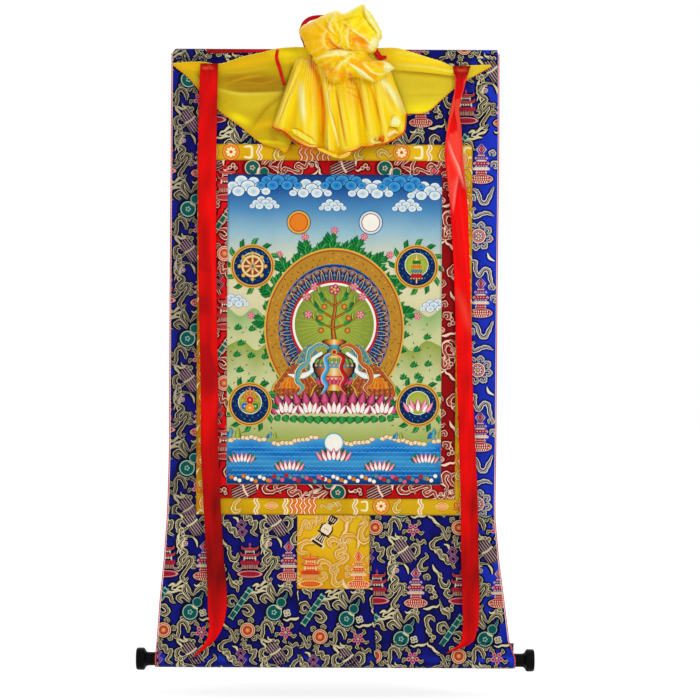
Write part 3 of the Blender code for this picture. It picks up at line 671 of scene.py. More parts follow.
def curl(sketch, x, y, turn, size, dye):  # a small hooked scroll
    hook = [(0, 0, 0.4), (-2.4, -3.2, 1.3), (0.4, -6.2, 1.6), (3.2, -3.6, 1.4), (1.4, -1.4, 0.6)]
    one = Sketch(dye["shade"])
    one.stroke(hook, ribbonBands(dye), steps=4)
    sketch.stamp(one, x, y, turn, 1, size)


def clappers(dye):  # a tied sheaf of narrow slats between two ring scrolls
    figure, slats = Sketch(dye["shade"]), Sketch(dye["shade"])
    for k in range(-2, 3):
        x, reach = k * 2.5, 13.5 - abs(k) * 1.3
        slat = [(x, -reach, 0.3), (x, -reach + 1.2, 1.15), (x, 0, 1.15), (x, reach - 1.2, 1.15),
                (x, reach, 0.3)]
        slats.stroke(slat, outlined(dye["pink"] * 0.35 + dye["cream"] * 0.5, dye["dark"], 0.3), 2, 3)
        slats.stroke([(x, -reach + 3, 0.16), (x, reach - 3, 0.16)], plain(dye["purple"]), 3, 4)
    slats.stroke([(-6.4, -1.5, 0.9), (0, -0.6, 0.9), (6.4, -1.5, 0.9)], wispBands(dye), 4, 3)
    ribbons = ribbonBands(dye)
    figure.stroke([(-5, 3, 0.6), (-10, 6, 2.0), (-15, 3, 2.4), (-14, -3, 1.9), (-9, -3, 1.2), (-9, 0, 0.5)],
                  ribbons, 1)
    figure.stroke([(6, -3, 0.5), (10, -6, 1.8), (14, -3, 2.2), (13, 3, 2.0), (10, 5, 1.4), (12, 9, 0.5)],
                  ribbons, 1)
    figure.stroke([(-4, -13, 0.4), (-9, -12, 1.2), (-13, -14, 0.9), (-15, -12, 0.3)], wispBands(dye), 1)
    figure.stamp(slats, 0, 0, -0.62)
    return figure


def longScroll(dye):  # the long winding ribbon with a pearl
    figure = Sketch(dye["shade"])
    figure.stroke([(9, -21, 0.4), (1, -21.5, 1.2), (-6.5, -17, 2.1), (-4.5, -10, 1.4), (1.5, -5.5, 1.9),
                   (-4.5, 1, 2.2), (-1.5, 6, 1.7), (4.5, -0.5, 1.9), (6.5, 4, 2.3), (1.5, 12, 1.5),
                   (-2.8, 19, 2.0), (0, 23, 1.8), (3.4, 19.5, 0.7)], ribbonBands(dye))
    figure.stroke([(8, -21, 0.5), (11.5, -16.5, 1.1), (12.5, -11, 0.3)], wispBands(dye))
    figure.stroke([(-8, -4, 0.3), (-6, -9, 0.7), (-1, -12, 0.9)], wispBands(dye))
    figure.disc(0.5, -14.5, crisp((1.2, dye["pink"]), (1.9, dye["purple"]), (2.5, dye["cream"])),
                sides=12, layer=2)
    return figure


def plinth(figure, y, dye, wide):  # the lens-shaped foot with dashes
    figure.disc(0, y, crisp((wide * 0.8, dye["red"]), (wide, dye["pink"])), sides=24, squash=0.27, layer=1)
    for k in range(-4, 5):
        x = k * wide * 0.17
        figure.stroke([(x - 0.7, y - 1.5, 0.3), (x + 0.7, y + 1.3, 0.3)], plain(dye["shade"]), 2, 2)


def stupa(dye):  # a diamond finial on a bulging body of tiers, over a lens of seeds
    figure = Sketch(dye["shade"])
    edge = dye["pink"] * 0.7 + dye["cream"] * 0.3
    figure.shape(0, -15.5, [(-6, 0.1), (0, 5.4), (5.5, 1.0)], outlined(edge, dye["purple"], 0.24), 2)
    figure.shape(0, -15.5, [(-3.2, 0.1), (0, 2.8), (3, 0.2)], outlined(edge, dye["red"], 0.3), 3)
    tiers = ((-10.6, 3.6, 2.0), (-8.2, 6.6, 2.6), (-5.2, 5.2, 1.6), (-3.2, 8.2, 3.0), (0.2, 6.4, 1.6),
             (2.2, 8.8, 3.0), (5.6, 5.6, 3.6))
    for number, (y, half, height) in enumerate(tiers):
        fill = (dye["red"], dye["purple"], dye["cream"])[number % 3] * 0.9
        figure.shape(0, y, [(0, half * 0.8), (height * 0.5, half), (height, half * 0.92)],
                     outlined(edge, fill, 0.13), 2)
        for k in range(-2, 3):
            figure.disc(k * half * 0.36, y + height * 0.5, crisp((0.7, edge)), sides=6, layer=3)
    figure.disc(0, 14, crisp((10.4, dye["red"]), (11.8, edge)), sides=24, squash=0.40, layer=1)
    for row, count in ((12.2, 7), (14.6, 9), (16.8, 6)):
        for k in range(count):
            x = (k - (count - 1) / 2) * 2.2
            figure.stroke([(x, row - 0.9, 0.3), (x, row, 0.55), (x, row + 0.9, 0.3)],
                          plain(dye["cream"]), 2, 1)
    for x, y, turn, size in ((-9, -2, -1.2, 0.7), (9, -9, 0.5, 0.9), (10, 2, 0.9, 1.1), (-9, 6, -0.9, 0.8)):
        curl(figure, x, y, turn, size, dye)
    return figure


def sideScrolls(dye):  # winding scrolls and a wreathed wheel between two stupas of the narrow strip
    figure = Sketch(dye["shade"])
    bands = ribbonBands(dye)
    figure.stroke([(26, 57, 0.6), (22, 66, 1.9), (18, 73, 2.0), (13, 71, 1.9), (10, 62, 1.8), (5, 59, 0.8)],
                  bands)
    figure.stroke([(3, 74, 0.6), (2, 67, 1.5), (6, 66, 1.6), (6.4, 71, 1.2)], bands)
    figure.stroke([(8, 78, 0.8), (4, 81, 1.7), (7, 87, 1.9), (14, 84, 1.8), (20, 83, 1.6), (26, 86, 0.5)],
                  bands)
    figure.stroke([(20, 123, 0.4), (22, 128, 1.3), (27, 131, 0.4)], wispBands(dye))
    figure.stroke([(3, 131, 1.0), (8, 132, 2.0), (8, 140, 1.7), (12, 146, 1.9), (16, 140, 2.0),
                   (21, 140, 2.0), (23, 149, 1.9), (25.4, 157, 0.8)], bands)
    for k in range(8):
        turn = k * math.pi / 4 + 0.2
        curl(figure, 11 + 7.4 * math.sin(turn), 106 - 7.4 * math.cos(turn), turn, 0.95, dye)
    figure.disc(11, 106,
                crisp((1.6, dye["gold"]), (4.6, dye["purple"]), (5.4, dye["pink"]), (6.4, dye["orange"]),
                      (7.2, dye["cream"])), layer=3)
    for k in range(8):
        turn = k * math.pi / 4
        figure.disc(11 + 3.1 * math.cos(turn), 106 + 3.1 * math.sin(turn), crisp((0.9, dye["cream"])),
                    sides=7, layer=4)
    return figure


def pagoda(dye):  # two up-turned roofs on a banded base between scrolls
    figure = Sketch(dye["shade"])
    roof = outlined(dye["pink"], dye["red"], 0.18)
    wall = outlined(dye["cream"] * 0.9, dye["dark"], 0.2)
    figure.shape(0, -14, [(-3.5, 0.1), (-1.6, 1.1), (-0.6, 0.5), (1, 0.7), (2.4, 3.2)], roof, 2)
    for y, half in ((-11.5, 7.6), (-5.2, 8.4)):
        figure.stroke([(-half - 0.6, y - 2.6, 0.4), (-half + 0.8, y, 1.0), (0, y + 0.6, 1.3),
                       (half - 0.8, y, 1.0), (half + 0.6, y - 2.6, 0.4)], roof, 3, 4)
    figure.shape(0, -10.6, [(0, 4.4), (4.2, 4.8)], wall, 2)
    figure.shape(0, -4.4, [(0, 6.0), (4.6, 6.4)], wall, 2)
    for k in range(-2, 3):
        figure.disc(k * 2.0, -8.4, crisp((0.8, dye["cream"])), sides=7, layer=3)
        figure.disc(k * 2.5, -2.0, crisp((1.0, dye["cream"])), sides=7, layer=3)
    figure.shape(0, 0.4, [(0, 8.4), (0.7, 9.4), (3.2, 9.4), (3.9, 8.2)],
                 outlined(dye["red"], dye["red"] * 0.8, 0.2), 2)
    for k in range(-3, 4):
        figure.stroke([(k * 2.3, 4.6, 0.6), (k * 2.5, 8.6, 0.8)],
                      outlined(dye["cream"], dye["red"], 0.4), 2, 2)
    plinth(figure, 13.8, dye, 12.6)
    for side in (-1, 1):
        figure.stroke([(side * 8, 8, 0.5), (side * 12, 9.5, 1.8), (side * 15.4, 6, 1.8),
                       (side * 13, 2.8, 1.4), (side * 11, 5, 0.6)], ribbonBands(dye), 1)
    return figure


def squares(dye):  # two linked square frames with zig-zag ribbons
    figure, frames = Sketch(dye["shade"]), Sketch(dye["shade"])
    edge = dye["pink"] * 0.4 + dye["purple"] * 0.6
    for x, y in ((-2.4, -2.6), (2.4, 3.0)):
        for half, layer in ((4.0, 2), (2.3, 3)):
            frames.shape(x, y, [(-half, half), (half, half)], outlined(edge, dye["dark"], 0.25), layer)
            frames.shape(x, y, [(-half, half), (-half + 0.8, half)], plain(edge), layer + 0.5)
            frames.shape(x, y, [(half - 0.8, half), (half, half)], plain(edge), layer + 0.5)
    bands = ribbonBands(dye)
    figure.stroke([(-1, -13, 0.6), (2.5, -15.5, 1.9), (3.6, -9.6, 1.6), (8.2, -11.8, 2.0), (8.8, -5.6, 1.6),
                   (13.4, -7.4, 2.1), (12.8, -1.6, 1.7), (10, 3.0, 1.5), (15.8, 6.6, 0.8)], bands)
    figure.stroke([(-16.6, -2, 1.0), (-13.6, -5, 2.3), (-11.2, 1.6, 1.8), (-7.6, -0.2, 2.1), (-6.2, 6.6, 1.7),
                   (-2.0, 5.8, 1.9), (1.6, 12.4, 0.9)], bands)
    figure.stroke([(-9, -12, 0.4), (-5, -10.5, 1.2), (-4, -7, 0.6)], wispBands(dye))
    figure.stamp(frames, 0, -1, 0.6)
    return figure


def gourd(dye):  # a double gourd with leaf scrolls
    figure = Sketch(dye["shade"])
    bulb = crisp((0.87, dye["green"]), (1.0, dye["greenEdge"]), (1.16, dye["shade"]))
    figure.disc(-0.5, 4, [(r * 7.8, c) for r, c in bulb], layer=3)
    figure.disc(6.6, -6, [(r * 4.8, c) for r, c in bulb], layer=4, sides=22)
    figure.stroke([(9.6, -9.6, 1.8), (11.6, -13, 0.9), (12.2, -16, 0.5)],
                  outlined(dye["greenEdge"], dye["green"], 0.3), 4)
    figure.stroke([(1.4, -2.6, 0.9), (4.2, -0.4, 1.0), (7.2, 0.6, 0.9)], wispBands(dye), 5, 4)
    for k in range(5):
        turn = k * 2 * math.pi / 5
        figure.disc(-0.5 + 1.9 * math.cos(turn), 4 + 1.9 * math.sin(turn),
                    crisp((0.9, dye["greenEdge"])), sides=8, layer=5)
    bands = ribbonBands(dye)
    figure.stroke([(-1, -6, 0.6), (-8.5, -12.5, 2.2), (-12.6, -9.4, 2.0), (-8, -5.2, 0.8)], bands)
    figure.stroke([(0, -8, 0.6), (-6.4, -17.4, 2.2), (-4.4, -22.6, 2.0), (-0.4, -15.6, 1.2), (3, -12, 0.5)],
                  bands)
    figure.stroke([(3, -13, 0.6), (6, -17.5, 1.7), (11, -21, 2.0), (15.6, -17.6, 1.5), (16.4, -12, 0.5)],
                  bands)
    for k in range(4):
        turn = k * math.pi / 2 + 0.5
        figure.disc(12.4 + 2.2 * math.cos(turn), 4.6 + 2.2 * math.sin(turn),
                    crisp((0.8, dye["shade"]), (2.0, dye["cream"])), sides=9, layer=2)
    return figure


def flute(dye):  # a banded bamboo flute with scrolls
    figure = Sketch(dye["shade"])
    figure.stroke([(10.5, -15.5, 2.4), (0, 0, 2.7), (-10.5, 15.5, 2.7)],
                  outlined(dye["greenEdge"], dye["green"], 0.2), 3, 6)
    run = np.array([-0.56, 0.83])
    for reach in (-17, -12.5, -5, 2.5, 10, 17.5):
        cx, cy = run * reach
        figure.stroke([(cx - 2.6, cy - 1.75, 0.55), (cx + 2.6, cy + 1.75, 0.55)],
                      plain(dye["greenEdge"]), 4, 2)
    bands = ribbonBands(dye)
    figure.stroke([(-3, -1, 0.6), (-7.4, -6.4, 1.9), (-12.4, -4.4, 2.3), (-11.8, 1.2, 2.0),
                   (-7.4, 2.2, 1.2), (-7, -0.8, 0.5)], bands)
    figure.stroke([(4.4, -2, 0.6), (8.6, -8, 1.9), (13.6, -6.6, 2.1), (15.4, -1.4, 1.4), (19, 0, 0.4)], bands)
    figure.stroke([(1.6, 3, 0.6), (7.6, 3.2, 2.2), (11.2, 8.6, 2.3), (6.6, 11.4, 1.9), (1.8, 7.2, 0.8)],
                  bands)
    figure.stroke([(-3, -11, 0.6), (-3.6, -16.4, 1.9), (-8.4, -18.6, 1.8), (-10.6, -24.4, 1.0),
                   (-12.6, -31, 0.3)], bands)
    figure.stroke([(12, -17, 0.5), (16, -19, 1.3), (19, -17.6, 0.9), (22, -21, 0.3)], wispBands(dye))
    return figure


def wheel(dye, rim, heart):  # a spoked wheel in a wreath of small scrolls
    figure = Sketch(dye["shade"])
    rings = [(0, dye["gold"]), (1.5, dye["gold"]), (1.5, rim), (5.0, rim * 0.8), (5.0, dye["cream"]),
             (5.7, dye["cream"]), (5.7, rim), (6.9, rim), (6.9, dye["cream"]), (7.6, dye["cream"]),
             (7.6, dye["shade"]), (8.6, dye["shade"])]
    figure.disc(0, 0, rings, layer=3)
    for k in range(8):
        turn = k * math.pi / 4
        cos, sin = math.cos(turn), math.sin(turn)
        figure.disc(3.4 * cos, 3.4 * sin, crisp((1.0, heart)), sides=8, layer=4)
        figure.stroke([(1.4 * cos, 1.4 * sin, 0.25), (5.0 * cos, 5.0 * sin, 0.25)],
                      plain(dye["gold"]), 3.6, 2)
    for k in range(6):
        turn = k * math.pi / 3 + 0.3
        curl(figure, 7.6 * math.sin(turn), -7.6 * math.cos(turn), turn, 0.72, dye)
    figure.stroke([(9, 4, 0.6), (13.4, 7.4, 1.9), (15.4, 1.4, 1.7), (15.6, -6.4, 1.7), (20.6, -8.2, 2.0),
                   (24.4, -2.6, 2.1), (24.6, 2.6, 0.8)], ribbonBands(dye), 1)
    figure.stroke([(-9, 6, 0.5), (-12, 11, 1.7), (-14.6, 5, 1.5), (-17.6, -0.6, 1.2), (-23, -2.4, 0.3)],
                  ribbonBands(dye), 1)
    return figure


def jewels(dye):  # a flaming cluster of jewels
    figure = Sketch(dye["shade"])
    for k in range(5):
        turn = k * 2 * math.pi / 5 + 0.3
        cx, cy = 4.2 * math.cos(turn), 4.2 * math.sin(turn)
        figure.disc(cx, cy, crisp((1.3, dye["red"]), (2.1, dye["pink"])), sides=10, layer=2)
        figure.stroke([(cx * 1.2, cy * 1.2, 0.6), (cx * 2.1 - cy * 0.3, cy * 2.1 + cx * 0.3, 1.5),
                       (cx * 2.6 + cy * 0.3, cy * 2.6 - cx * 0.3, 0.6)], ribbonBands(dye), 1, 4)
    figure.disc(0, 0, crisp((1.4, dye["gold"]), (2.4, dye["purple"])), sides=12, layer=3)
    figure.stroke([(-4, -8, 0.4), (-8, -13, 1.5), (-11, -9, 1.2), (-14, -12, 0.4)], ribbonBands(dye), 1)
    figure.stroke([(3, 9, 0.4), (7, 14, 1.5), (11, 11, 1.3), (13, 15, 0.4)], ribbonBands(dye), 1)
    return figure


def hookScroll(dye):  # a single hooked scroll
    figure = Sketch(dye["shade"])
    figure.stroke([(-6, -9, 0.5), (-1.6, -8, 1.3), (-1.6, -1, 1.7), (2.4, 4.6, 2.4), (6.6, 2.6, 1.7),
                   (7, -2.4, 0.7)], ribbonBands(dye))
    return figure


def puffs(dye):  # a small cloud of three rings with a tail
    figure = Sketch(dye["shade"])
    for x, y, size in ((-2.6, 0.6, 2.0), (0.6, -1.8, 2.3), (3.2, 1.0, 1.8)):
        figure.disc(x, y,
                    crisp((size * 0.42, dye["olive"]), (size * 0.7, dye["shade"]), (size, dye["cream"])),
                    sides=10, layer=2)
        figure.ring(x, y, size * 0.9, size, 1)
    figure.stroke([(-4, 1.4, 0.9), (-7, 3.4, 0.8), (-9.4, 2.2, 0.3)], wispBands(dye), 1, 4)
    return figure


def wisp(dye):  # a thin bent line
    figure = Sketch(dye["shade"])
    figure.stroke([(-6, -5, 0.3), (-3, -1, 1.3), (1.6, 1.4, 1.0), (4, 4.6, 0.9), (8, 5, 0.3)], wispBands(dye))
    return figure


def brocadeCell(dye):  # one repeat of the cloth's figures, as (figure, x, y, turn, flip)
    return [
        (clappers(dye), 0, 0, 0, 1), (squares(dye), 49, 5, 0, 1),
        (longScroll(dye), -8, 34, 0, 1), (stupa(dye), 12, 38, 0, 1),
        (hookScroll(dye), 38, 31, 0, 1), (pagoda(dye), 57, 36, 0, 1),
        (gourd(dye), -2, 84, 0, 1), (flute(dye), 48, 79, 0, 1),
        (jewels(dye), 9, 108, 0, 1), (wheel(dye, dye["orange"], dye["red"]), 55, 106, 0, 1),
        (wisp(dye), 33, 20, 0.3, 1), (hookScroll(dye), 18, 12, 0.9, 1), (wisp(dye), 27, 56, -0.9, 1),
        (wisp(dye), 30, 98, 1.4, -1), (wisp(dye), 72, 62, 0.2, -1), (hookScroll(dye), 24, 72, 2.6, -1),
        (wisp(dye), -14, 60, 1.9, 1), (hookScroll(dye), 31, 120, 1.2, 1), (wisp(dye), 74, 22, 1.2, 1),
        (puffs(dye), 11, 60, 0.2, 1), (puffs(dye), 46, 57, 2.6, -1), (wisp(dye), 36, 4, 1.5, -1),
        (puffs(dye), -1, 118, 0.9, 1), (puffs(dye), 28, 86, 1.3, 1), (wisp(dye), 16, 94, 0.5, -1),
        (puffs(dye), 76, 92, 2.2, 1), (wisp(dye), 66, 68, 2.3, 1), (puffs(dye), 72, 8, 0.6, -1),
        (wisp(dye), -14, 16, 1.0, 1), (puffs(dye), 30, 44, 1.9, 1), (wisp(dye), 72, 120, 0.4, 1),
    ]


repeat = (84.0, 129.5)


def allOver(cell, anchor, period, keep):  # every repeat whose figures pass the test
    sheetFigures = Sketch()
    for column in range(-6, 7):
        for row in range(-5, 6):
            for figure, x, y, turn, flip in cell:
                px = anchor[0] + x + column * period[0]
                py = anchor[1] + y + row * period[1]
                if keep(px, py):
                    sheetFigures.stamp(figure, px, py, turn, flip)
    return sheetFigures


def fromPhoto(points):  # pixel column and row of the photograph, as X and drop in metres
    points = np.array(points, float)
    x = points[..., 0] + (points[..., 1] - photo["size"] / 2) * photo["roll"] - photo["middle"]
    drop = points[..., 1] - (points[..., 0] - photo["size"] / 2) * photo["roll"] - photo["top"]
    return np.stack([x, drop], axis=-1) * photo["scale"]


def anchorAt(column, row):  # the same, in figure units
    return fromPhoto((column, row)) / figureUnit


def nearPath(x, drop, path):  # distance to a line of points, its side, how far along it
    path = np.asarray(path, float)
    runs = np.diff(path, axis=0)
    lengths = np.hypot(runs[:, 0], runs[:, 1])
    walked = np.append(0, np.cumsum(lengths))
    away, side, along = np.full(np.shape(x), 1e9), np.zeros(np.shape(x)), np.zeros(np.shape(x))
    for start, run, length, before in zip(path[:-1], runs, lengths, walked):
        t = np.clip(((x - start[0]) * run[0] + (drop - start[1]) * run[1]) / length ** 2, 0, 1)
        dx, dy = x - start[0] - t * run[0], drop - start[1] - t * run[1]
        here = np.hypot(dx, dy)
        nearer = here < away
        away = np.where(nearer, here, away)
        side = np.where(nearer, np.sign(run[0] * dy - run[1] * dx), side)
        along = np.where(nearer, (before + t * length) / walked[-1], along)
    return away, side, along


def headingHalf(drop):  # half the thickness: the top is turned over a flat stick
    return np.interp(drop, [0, 0.0006, 0.002, 0.0045, 0.018, 0.0192, 0.022],
                     [0.0010, 0.0021, 0.0028, 0.0030, 0.0030, 0.0013, 0.0008])


def edgedShares(count, margin):  # even steps, and one more a margin inside each end
    share = np.linspace(0, 1, count + 1)
    return np.concatenate([[0, margin], share[1:-1], [1 - margin, 1]])


def groundTint(x, drop):
    # the blue, with painted light at the right and left edge and a painted highlight round the roller, in
    # soft patches
    # painted light: lighter towards the right edge and less so lower down, and a little lighter at the left
    # edge
    paintedLight = 0.85 * smoothStep((x - 0.235) / 0.07) * (1 - 0.5 * smoothStep((drop - 0.95) / 0.2))
    paintedLight = paintedLight + 0.22 * smoothStep((-0.275 - x) / 0.05)
    # a painted highlight where the cloth rounds over the roller
    rollerHighlight = np.exp(-((drop - hanging["rollerDrop"] - 0.002) / 0.006) ** 2)
    paintedLight = paintedLight + (0.35 + 1.2 * np.abs(x)) * rollerHighlight * smoothStep(0.75 + ripple(x * 22, 0 * x, 12))
    paintedLight = np.clip(paintedLight + 0.16 * ripple(x * 30, drop * 14, 3), 0, 1)[..., None]
    deep = 0.55 * smoothStep(0.25 + ripple(x * 170, drop * 150, 17, 7))[..., None] * (1 - paintedLight)
    return (dyes["blue"]["ground"] * (1 - paintedLight) + paint(26, 54, 200) * paintedLight) * (1 - deep)


blueBrocade = brocadeMaterial("blueBrocade", 0.42, 5200)
blueReverse = reverseMaterial("blueReverse", paint(40, 44, 130), paint(176, 168, 140))
redBrocade = brocadeMaterial("redBrocade", 0.45, 5200)
redReverse = reverseMaterial("redReverse", paint(150, 20, 24), paint(190, 130, 110))
yellowBrocade = brocadeMaterial("yellowBrocade", 0.42, 5200)
yellowReverse = reverseMaterial("yellowReverse", paint(196, 160, 60), paint(214, 150, 110))


def buildGroundUpper():  # heading and both sides in one piece round the window
    window = halfYellow
    top = [0, 0.0006, 0.002, 0.0045, 0.008, 0.012, 0.0155, 0.018, 0.0192, 0.022]
    upper = np.linspace(0.026, hanging["toBorder"], 36)
    lower = np.linspace(hanging["toBorder"], borderEnd, 110)[1:]
    drops = np.concatenate([top, upper, lower])[:, None]
    left, right = outlineAt(drops)
    share = edgedShares(11, 0.02)
    middle = np.linspace(-window, window, 76)[1:-1]
    x = np.hstack([left + (-window - left) * share, np.broadcast_to(middle, (len(drops), len(middle))),
                   window + (right - window) * share])
    drop = np.broadcast_to(drops, x.shape)
    cells = np.ones((x.shape[0] - 1, x.shape[1] - 1), bool)
    cells[len(top) + len(upper) - 1:, len(share) - 1:-(len(share) - 1)] = False
    half = headingHalf(drop)
    inside = np.maximum(np.abs(x) - window, hanging["toBorder"] - drop)
    shadow = 1 - 0.75 * np.exp(-(inside / 0.0022) ** 2)
    shadow = shadow * (1 - 0.35 * np.exp(-((drop - 0.0195) / 0.0016) ** 2))
    piece = clothPiece("groundUpper", hang(x, drop, half), hang(x, drop, -half), [blueBrocade, blueReverse],
                       groundTint(x, drop) * shadow[..., None], cells=cells)
    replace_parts(piece, "ground_upper")
    blue = dyes["blue"]
    cell = brocadeCell(blue)
    # painted shade: the left strip's figures in darker colours; painted light: the right strip's figures in
    # lighter ones
    paintedShade = dict(blue, cream=paint(172, 162, 132), olive=paint(112, 100, 70))
    paintedLight = dict(blue, shade=paint(14, 26, 112), cream=paint(242, 234, 204), olive=paint(176, 164, 128))
    strip = [(stupa(paintedLight), 13.5, 35, 0, 1), (sideScrolls(paintedLight), 0, 0, 0, 1)]

    def clip(x, run, toSide):  # points inside the window are moved to its top or to its side
        run = np.clip(run, 0.0012, borderEnd)
        left, right = outlineAt(run)
        x = np.clip(x, left + 0.0002, right - 0.0002)
        inWindow = (np.abs(x) < window) & (run > hanging["toBorder"])
        if toSide:
            return np.where(inWindow, np.sign(x) * window, x), run
        return x, np.where(inWindow, hanging["toBorder"], run)

    def surface(x, run, lift):  # on the front of the cloth
        return hang(x, run, headingHalf(run) + lift)

    line = anchorAt(350, 147)[1]
    edge = window / figureUnit
    parts = [
        ("headingFigures", cell, anchorAt(493, 71), repeat,
         lambda x, y: 10 - edge < x < 185 and y < line + (22 if abs(x) < edge - 14 else -3)),
        ("leftSideFigures", brocadeCell(paintedShade), anchorAt(191, 121), repeat,
         lambda x, y: -185 < x < (16 if y > line + 4 else 4) - edge),
        ("rightSideFigures", strip, anchorAt(468, 130), (84.0, 134.0),
         lambda x, y: y > line - 24 and edge - 8 < x < 152)]
    for number, (name, own, anchor, period, keep) in enumerate(parts):
        figuresOn(name, allOver(own, anchor, period, keep), figureUnit, surface,
                                 lambda x, run: clip(x, run, number > 0), blueBrocade)


def buildLowerPanel(name, node, leftAt, rightAt, count, anchor):  # down and round the roller
    flat = np.linspace(borderEnd, hanging["stitch"], 50)
    turned = np.linspace(hanging["stitch"], sleeveEnd, 40)[1:]
    run = np.concatenate([[borderEnd, borderEnd + 0.0012], flat[1:], turned])[:, None]
    left, right = leftAt(run), rightAt(run)
    x = left + (right - left) * edgedShares(count, 0.006)
    run = np.broadcast_to(run, x.shape)
    half = hanging["cloth"] / 2
    side = np.minimum(x - left, right - x)
    nearEdge = np.minimum(*(np.abs(x - edge) for edge in outlineAt(run))) < 0.01
    side = np.where(nearEdge, 1.0, side)  # no seam's shadow along the cloth's own edges
    inside = np.minimum(side, run - borderEnd)
    shadow = 1 - 0.72 * np.exp(-(inside / 0.0016) ** 2)
    shadow = shadow * (1 - 0.5 * np.exp(-((run - hanging["stitch"]) / 0.003) ** 2))
    piece = clothPiece(name, lowerCloth(x, run, half), lowerCloth(x, run, -half), [blueBrocade, blueReverse],
                       groundTint(x, run) * shadow[..., None])
    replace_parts(piece, node)

    def clip(x, run):  # points past an edge are moved back to it
        run = np.clip(run, borderEnd + 0.0002, sleeveEnd - 0.004)
        return np.clip(x, leftAt(run) + 0.0003, rightAt(run) - 0.0003), run

    def keep(x, y):  # figures whose middle is on the panel or close beside it
        at = np.array(min(y * figureUnit, 1.18))
        return (y * figureUnit > borderEnd - 0.04 and y * figureUnit < sleeveEnd
                and leftAt(at) / figureUnit - 22 < x < rightAt(at) / figureUnit + 22)

    blue = dyes["blue"]
    figures = figuresOn(name + "Figures", allOver(brocadeCell(blue), anchor, repeat, keep), figureUnit,
                        lambda x, run, lift: lowerCloth(x, run, half + lift), clip, blueBrocade)


def buildGround():  # the upper piece, then three panels between the edges and the seams
    def seamAt(ends):  # a straight seam between its x at the border's end and at the roller
        return lambda run: np.interp(run, [borderEnd, hanging["rollerDrop"]], ends)

    buildGroundUpper()
    leftAt, rightAt = (lambda run: outlineAt(run)[0]), (lambda run: outlineAt(run)[1])
    seamLeft, seamRight = seamAt(hanging["seamLeft"]), seamAt(hanging["seamRight"])
    buildLowerPanel("groundLowerLeft", "ground_lower_left", leftAt, seamLeft, 50, anchorAt(193, 524))
    buildLowerPanel("groundLowerCentre", "ground_lower_centre", seamLeft, seamRight, 32,
                    anchorAt(265.5, 530.5))
    buildLowerPanel("groundLowerRight", "ground_lower_right", seamRight, rightAt, 50, anchorAt(404, 551))


buildGround()
print("blue ground and its figures laid")

# borders and apron

borders = {
    "yellow": {
        "outer": (halfYellow, hanging["toBorder"], borderEnd),
        "inner": (halfRed, redDrop, redEnd),
        "cloth": (yellowBrocade, yellowReverse),
    },
    "red": {
        "outer": (halfRed, redDrop, redEnd),
        "inner": (halfPainting, paintingDrop, paintingEnd),
        "cloth": (redBrocade, redReverse),
    },
}


def medallion(ring, petal, heart, ground):  # rings and eight petals in a circle
    figure = Sketch()
    figure.disc(0, 0, crisp((5.8, ground), (6.4, ring), (8.1, ground), (8.8, ring)), sides=26, layer=2)
    for k in range(8):
        turn = k * math.pi / 4
        cos, sin = math.cos(turn), math.sin(turn)
        figure.stroke([(1.6 * cos, 1.6 * sin, 0.3), (3.3 * cos, 3.3 * sin, 1.2), (5.2 * cos, 5.2 * sin, 0.3)],
                      plain(petal), 3, 3)
    figure.disc(0, 0, crisp((1.4, heart)), sides=10, layer=4)
    return figure


def lens(ring, petal, ground):  # an almond with a flower
    figure = Sketch()
    figure.shape(0, 0, [(-8.6, 0.2), (-5, 4.4), (0, 6.2), (5, 4.4), (8.6, 0.2)],
                 outlined(ring, ground, 0.16), 2)
    figure.shape(0, 0, [(-6.4, 0.2), (-4, 2.6), (0, 4.0), (4, 2.6), (6.4, 0.2)],
                 outlined(ring, petal, 0.2), 3)
    return figure


def waveBars(line, core, count):  # wavy double lines that run across the border
    figure = Sketch()
    for k in range(count):
        x = (k - (count - 1) / 2) * 5.4
        figure.stroke([(x, -9, 1.6), (x + 1.5, -4.5, 2.1), (x - 1.2, 0, 1.7), (x + 1.5, 4.5, 2.1),
                       (x, 9, 1.6)],
                      [(-1, line), (-0.3, line), (-0.3, core), (0.3, core), (0.3, line), (1, line)], 2)
    return figure


def keyFret(line, half):  # a squared spiral
    figure = Sketch()
    turns = [(-half, half), (half, half), (half, -half), (-half * 0.5, -half), (-half * 0.5, half * 0.4),
             (half * 0.4, half * 0.4)]
    for (ax, ay), (bx, by) in zip(turns[:-1], turns[1:]):
        figure.stroke([(ax, ay, 0.5), (bx, by, 0.5)], plain(line), 2, 2)
    return figure


def placeRow(sketch, row, spread):  # figures by the photograph's columns along one level border
    for figure, column, turn, flip, size in spread:
        sketch.stamp(figure, anchorAt(column, row)[0], anchorAt(350, row)[1], turn, flip, size)


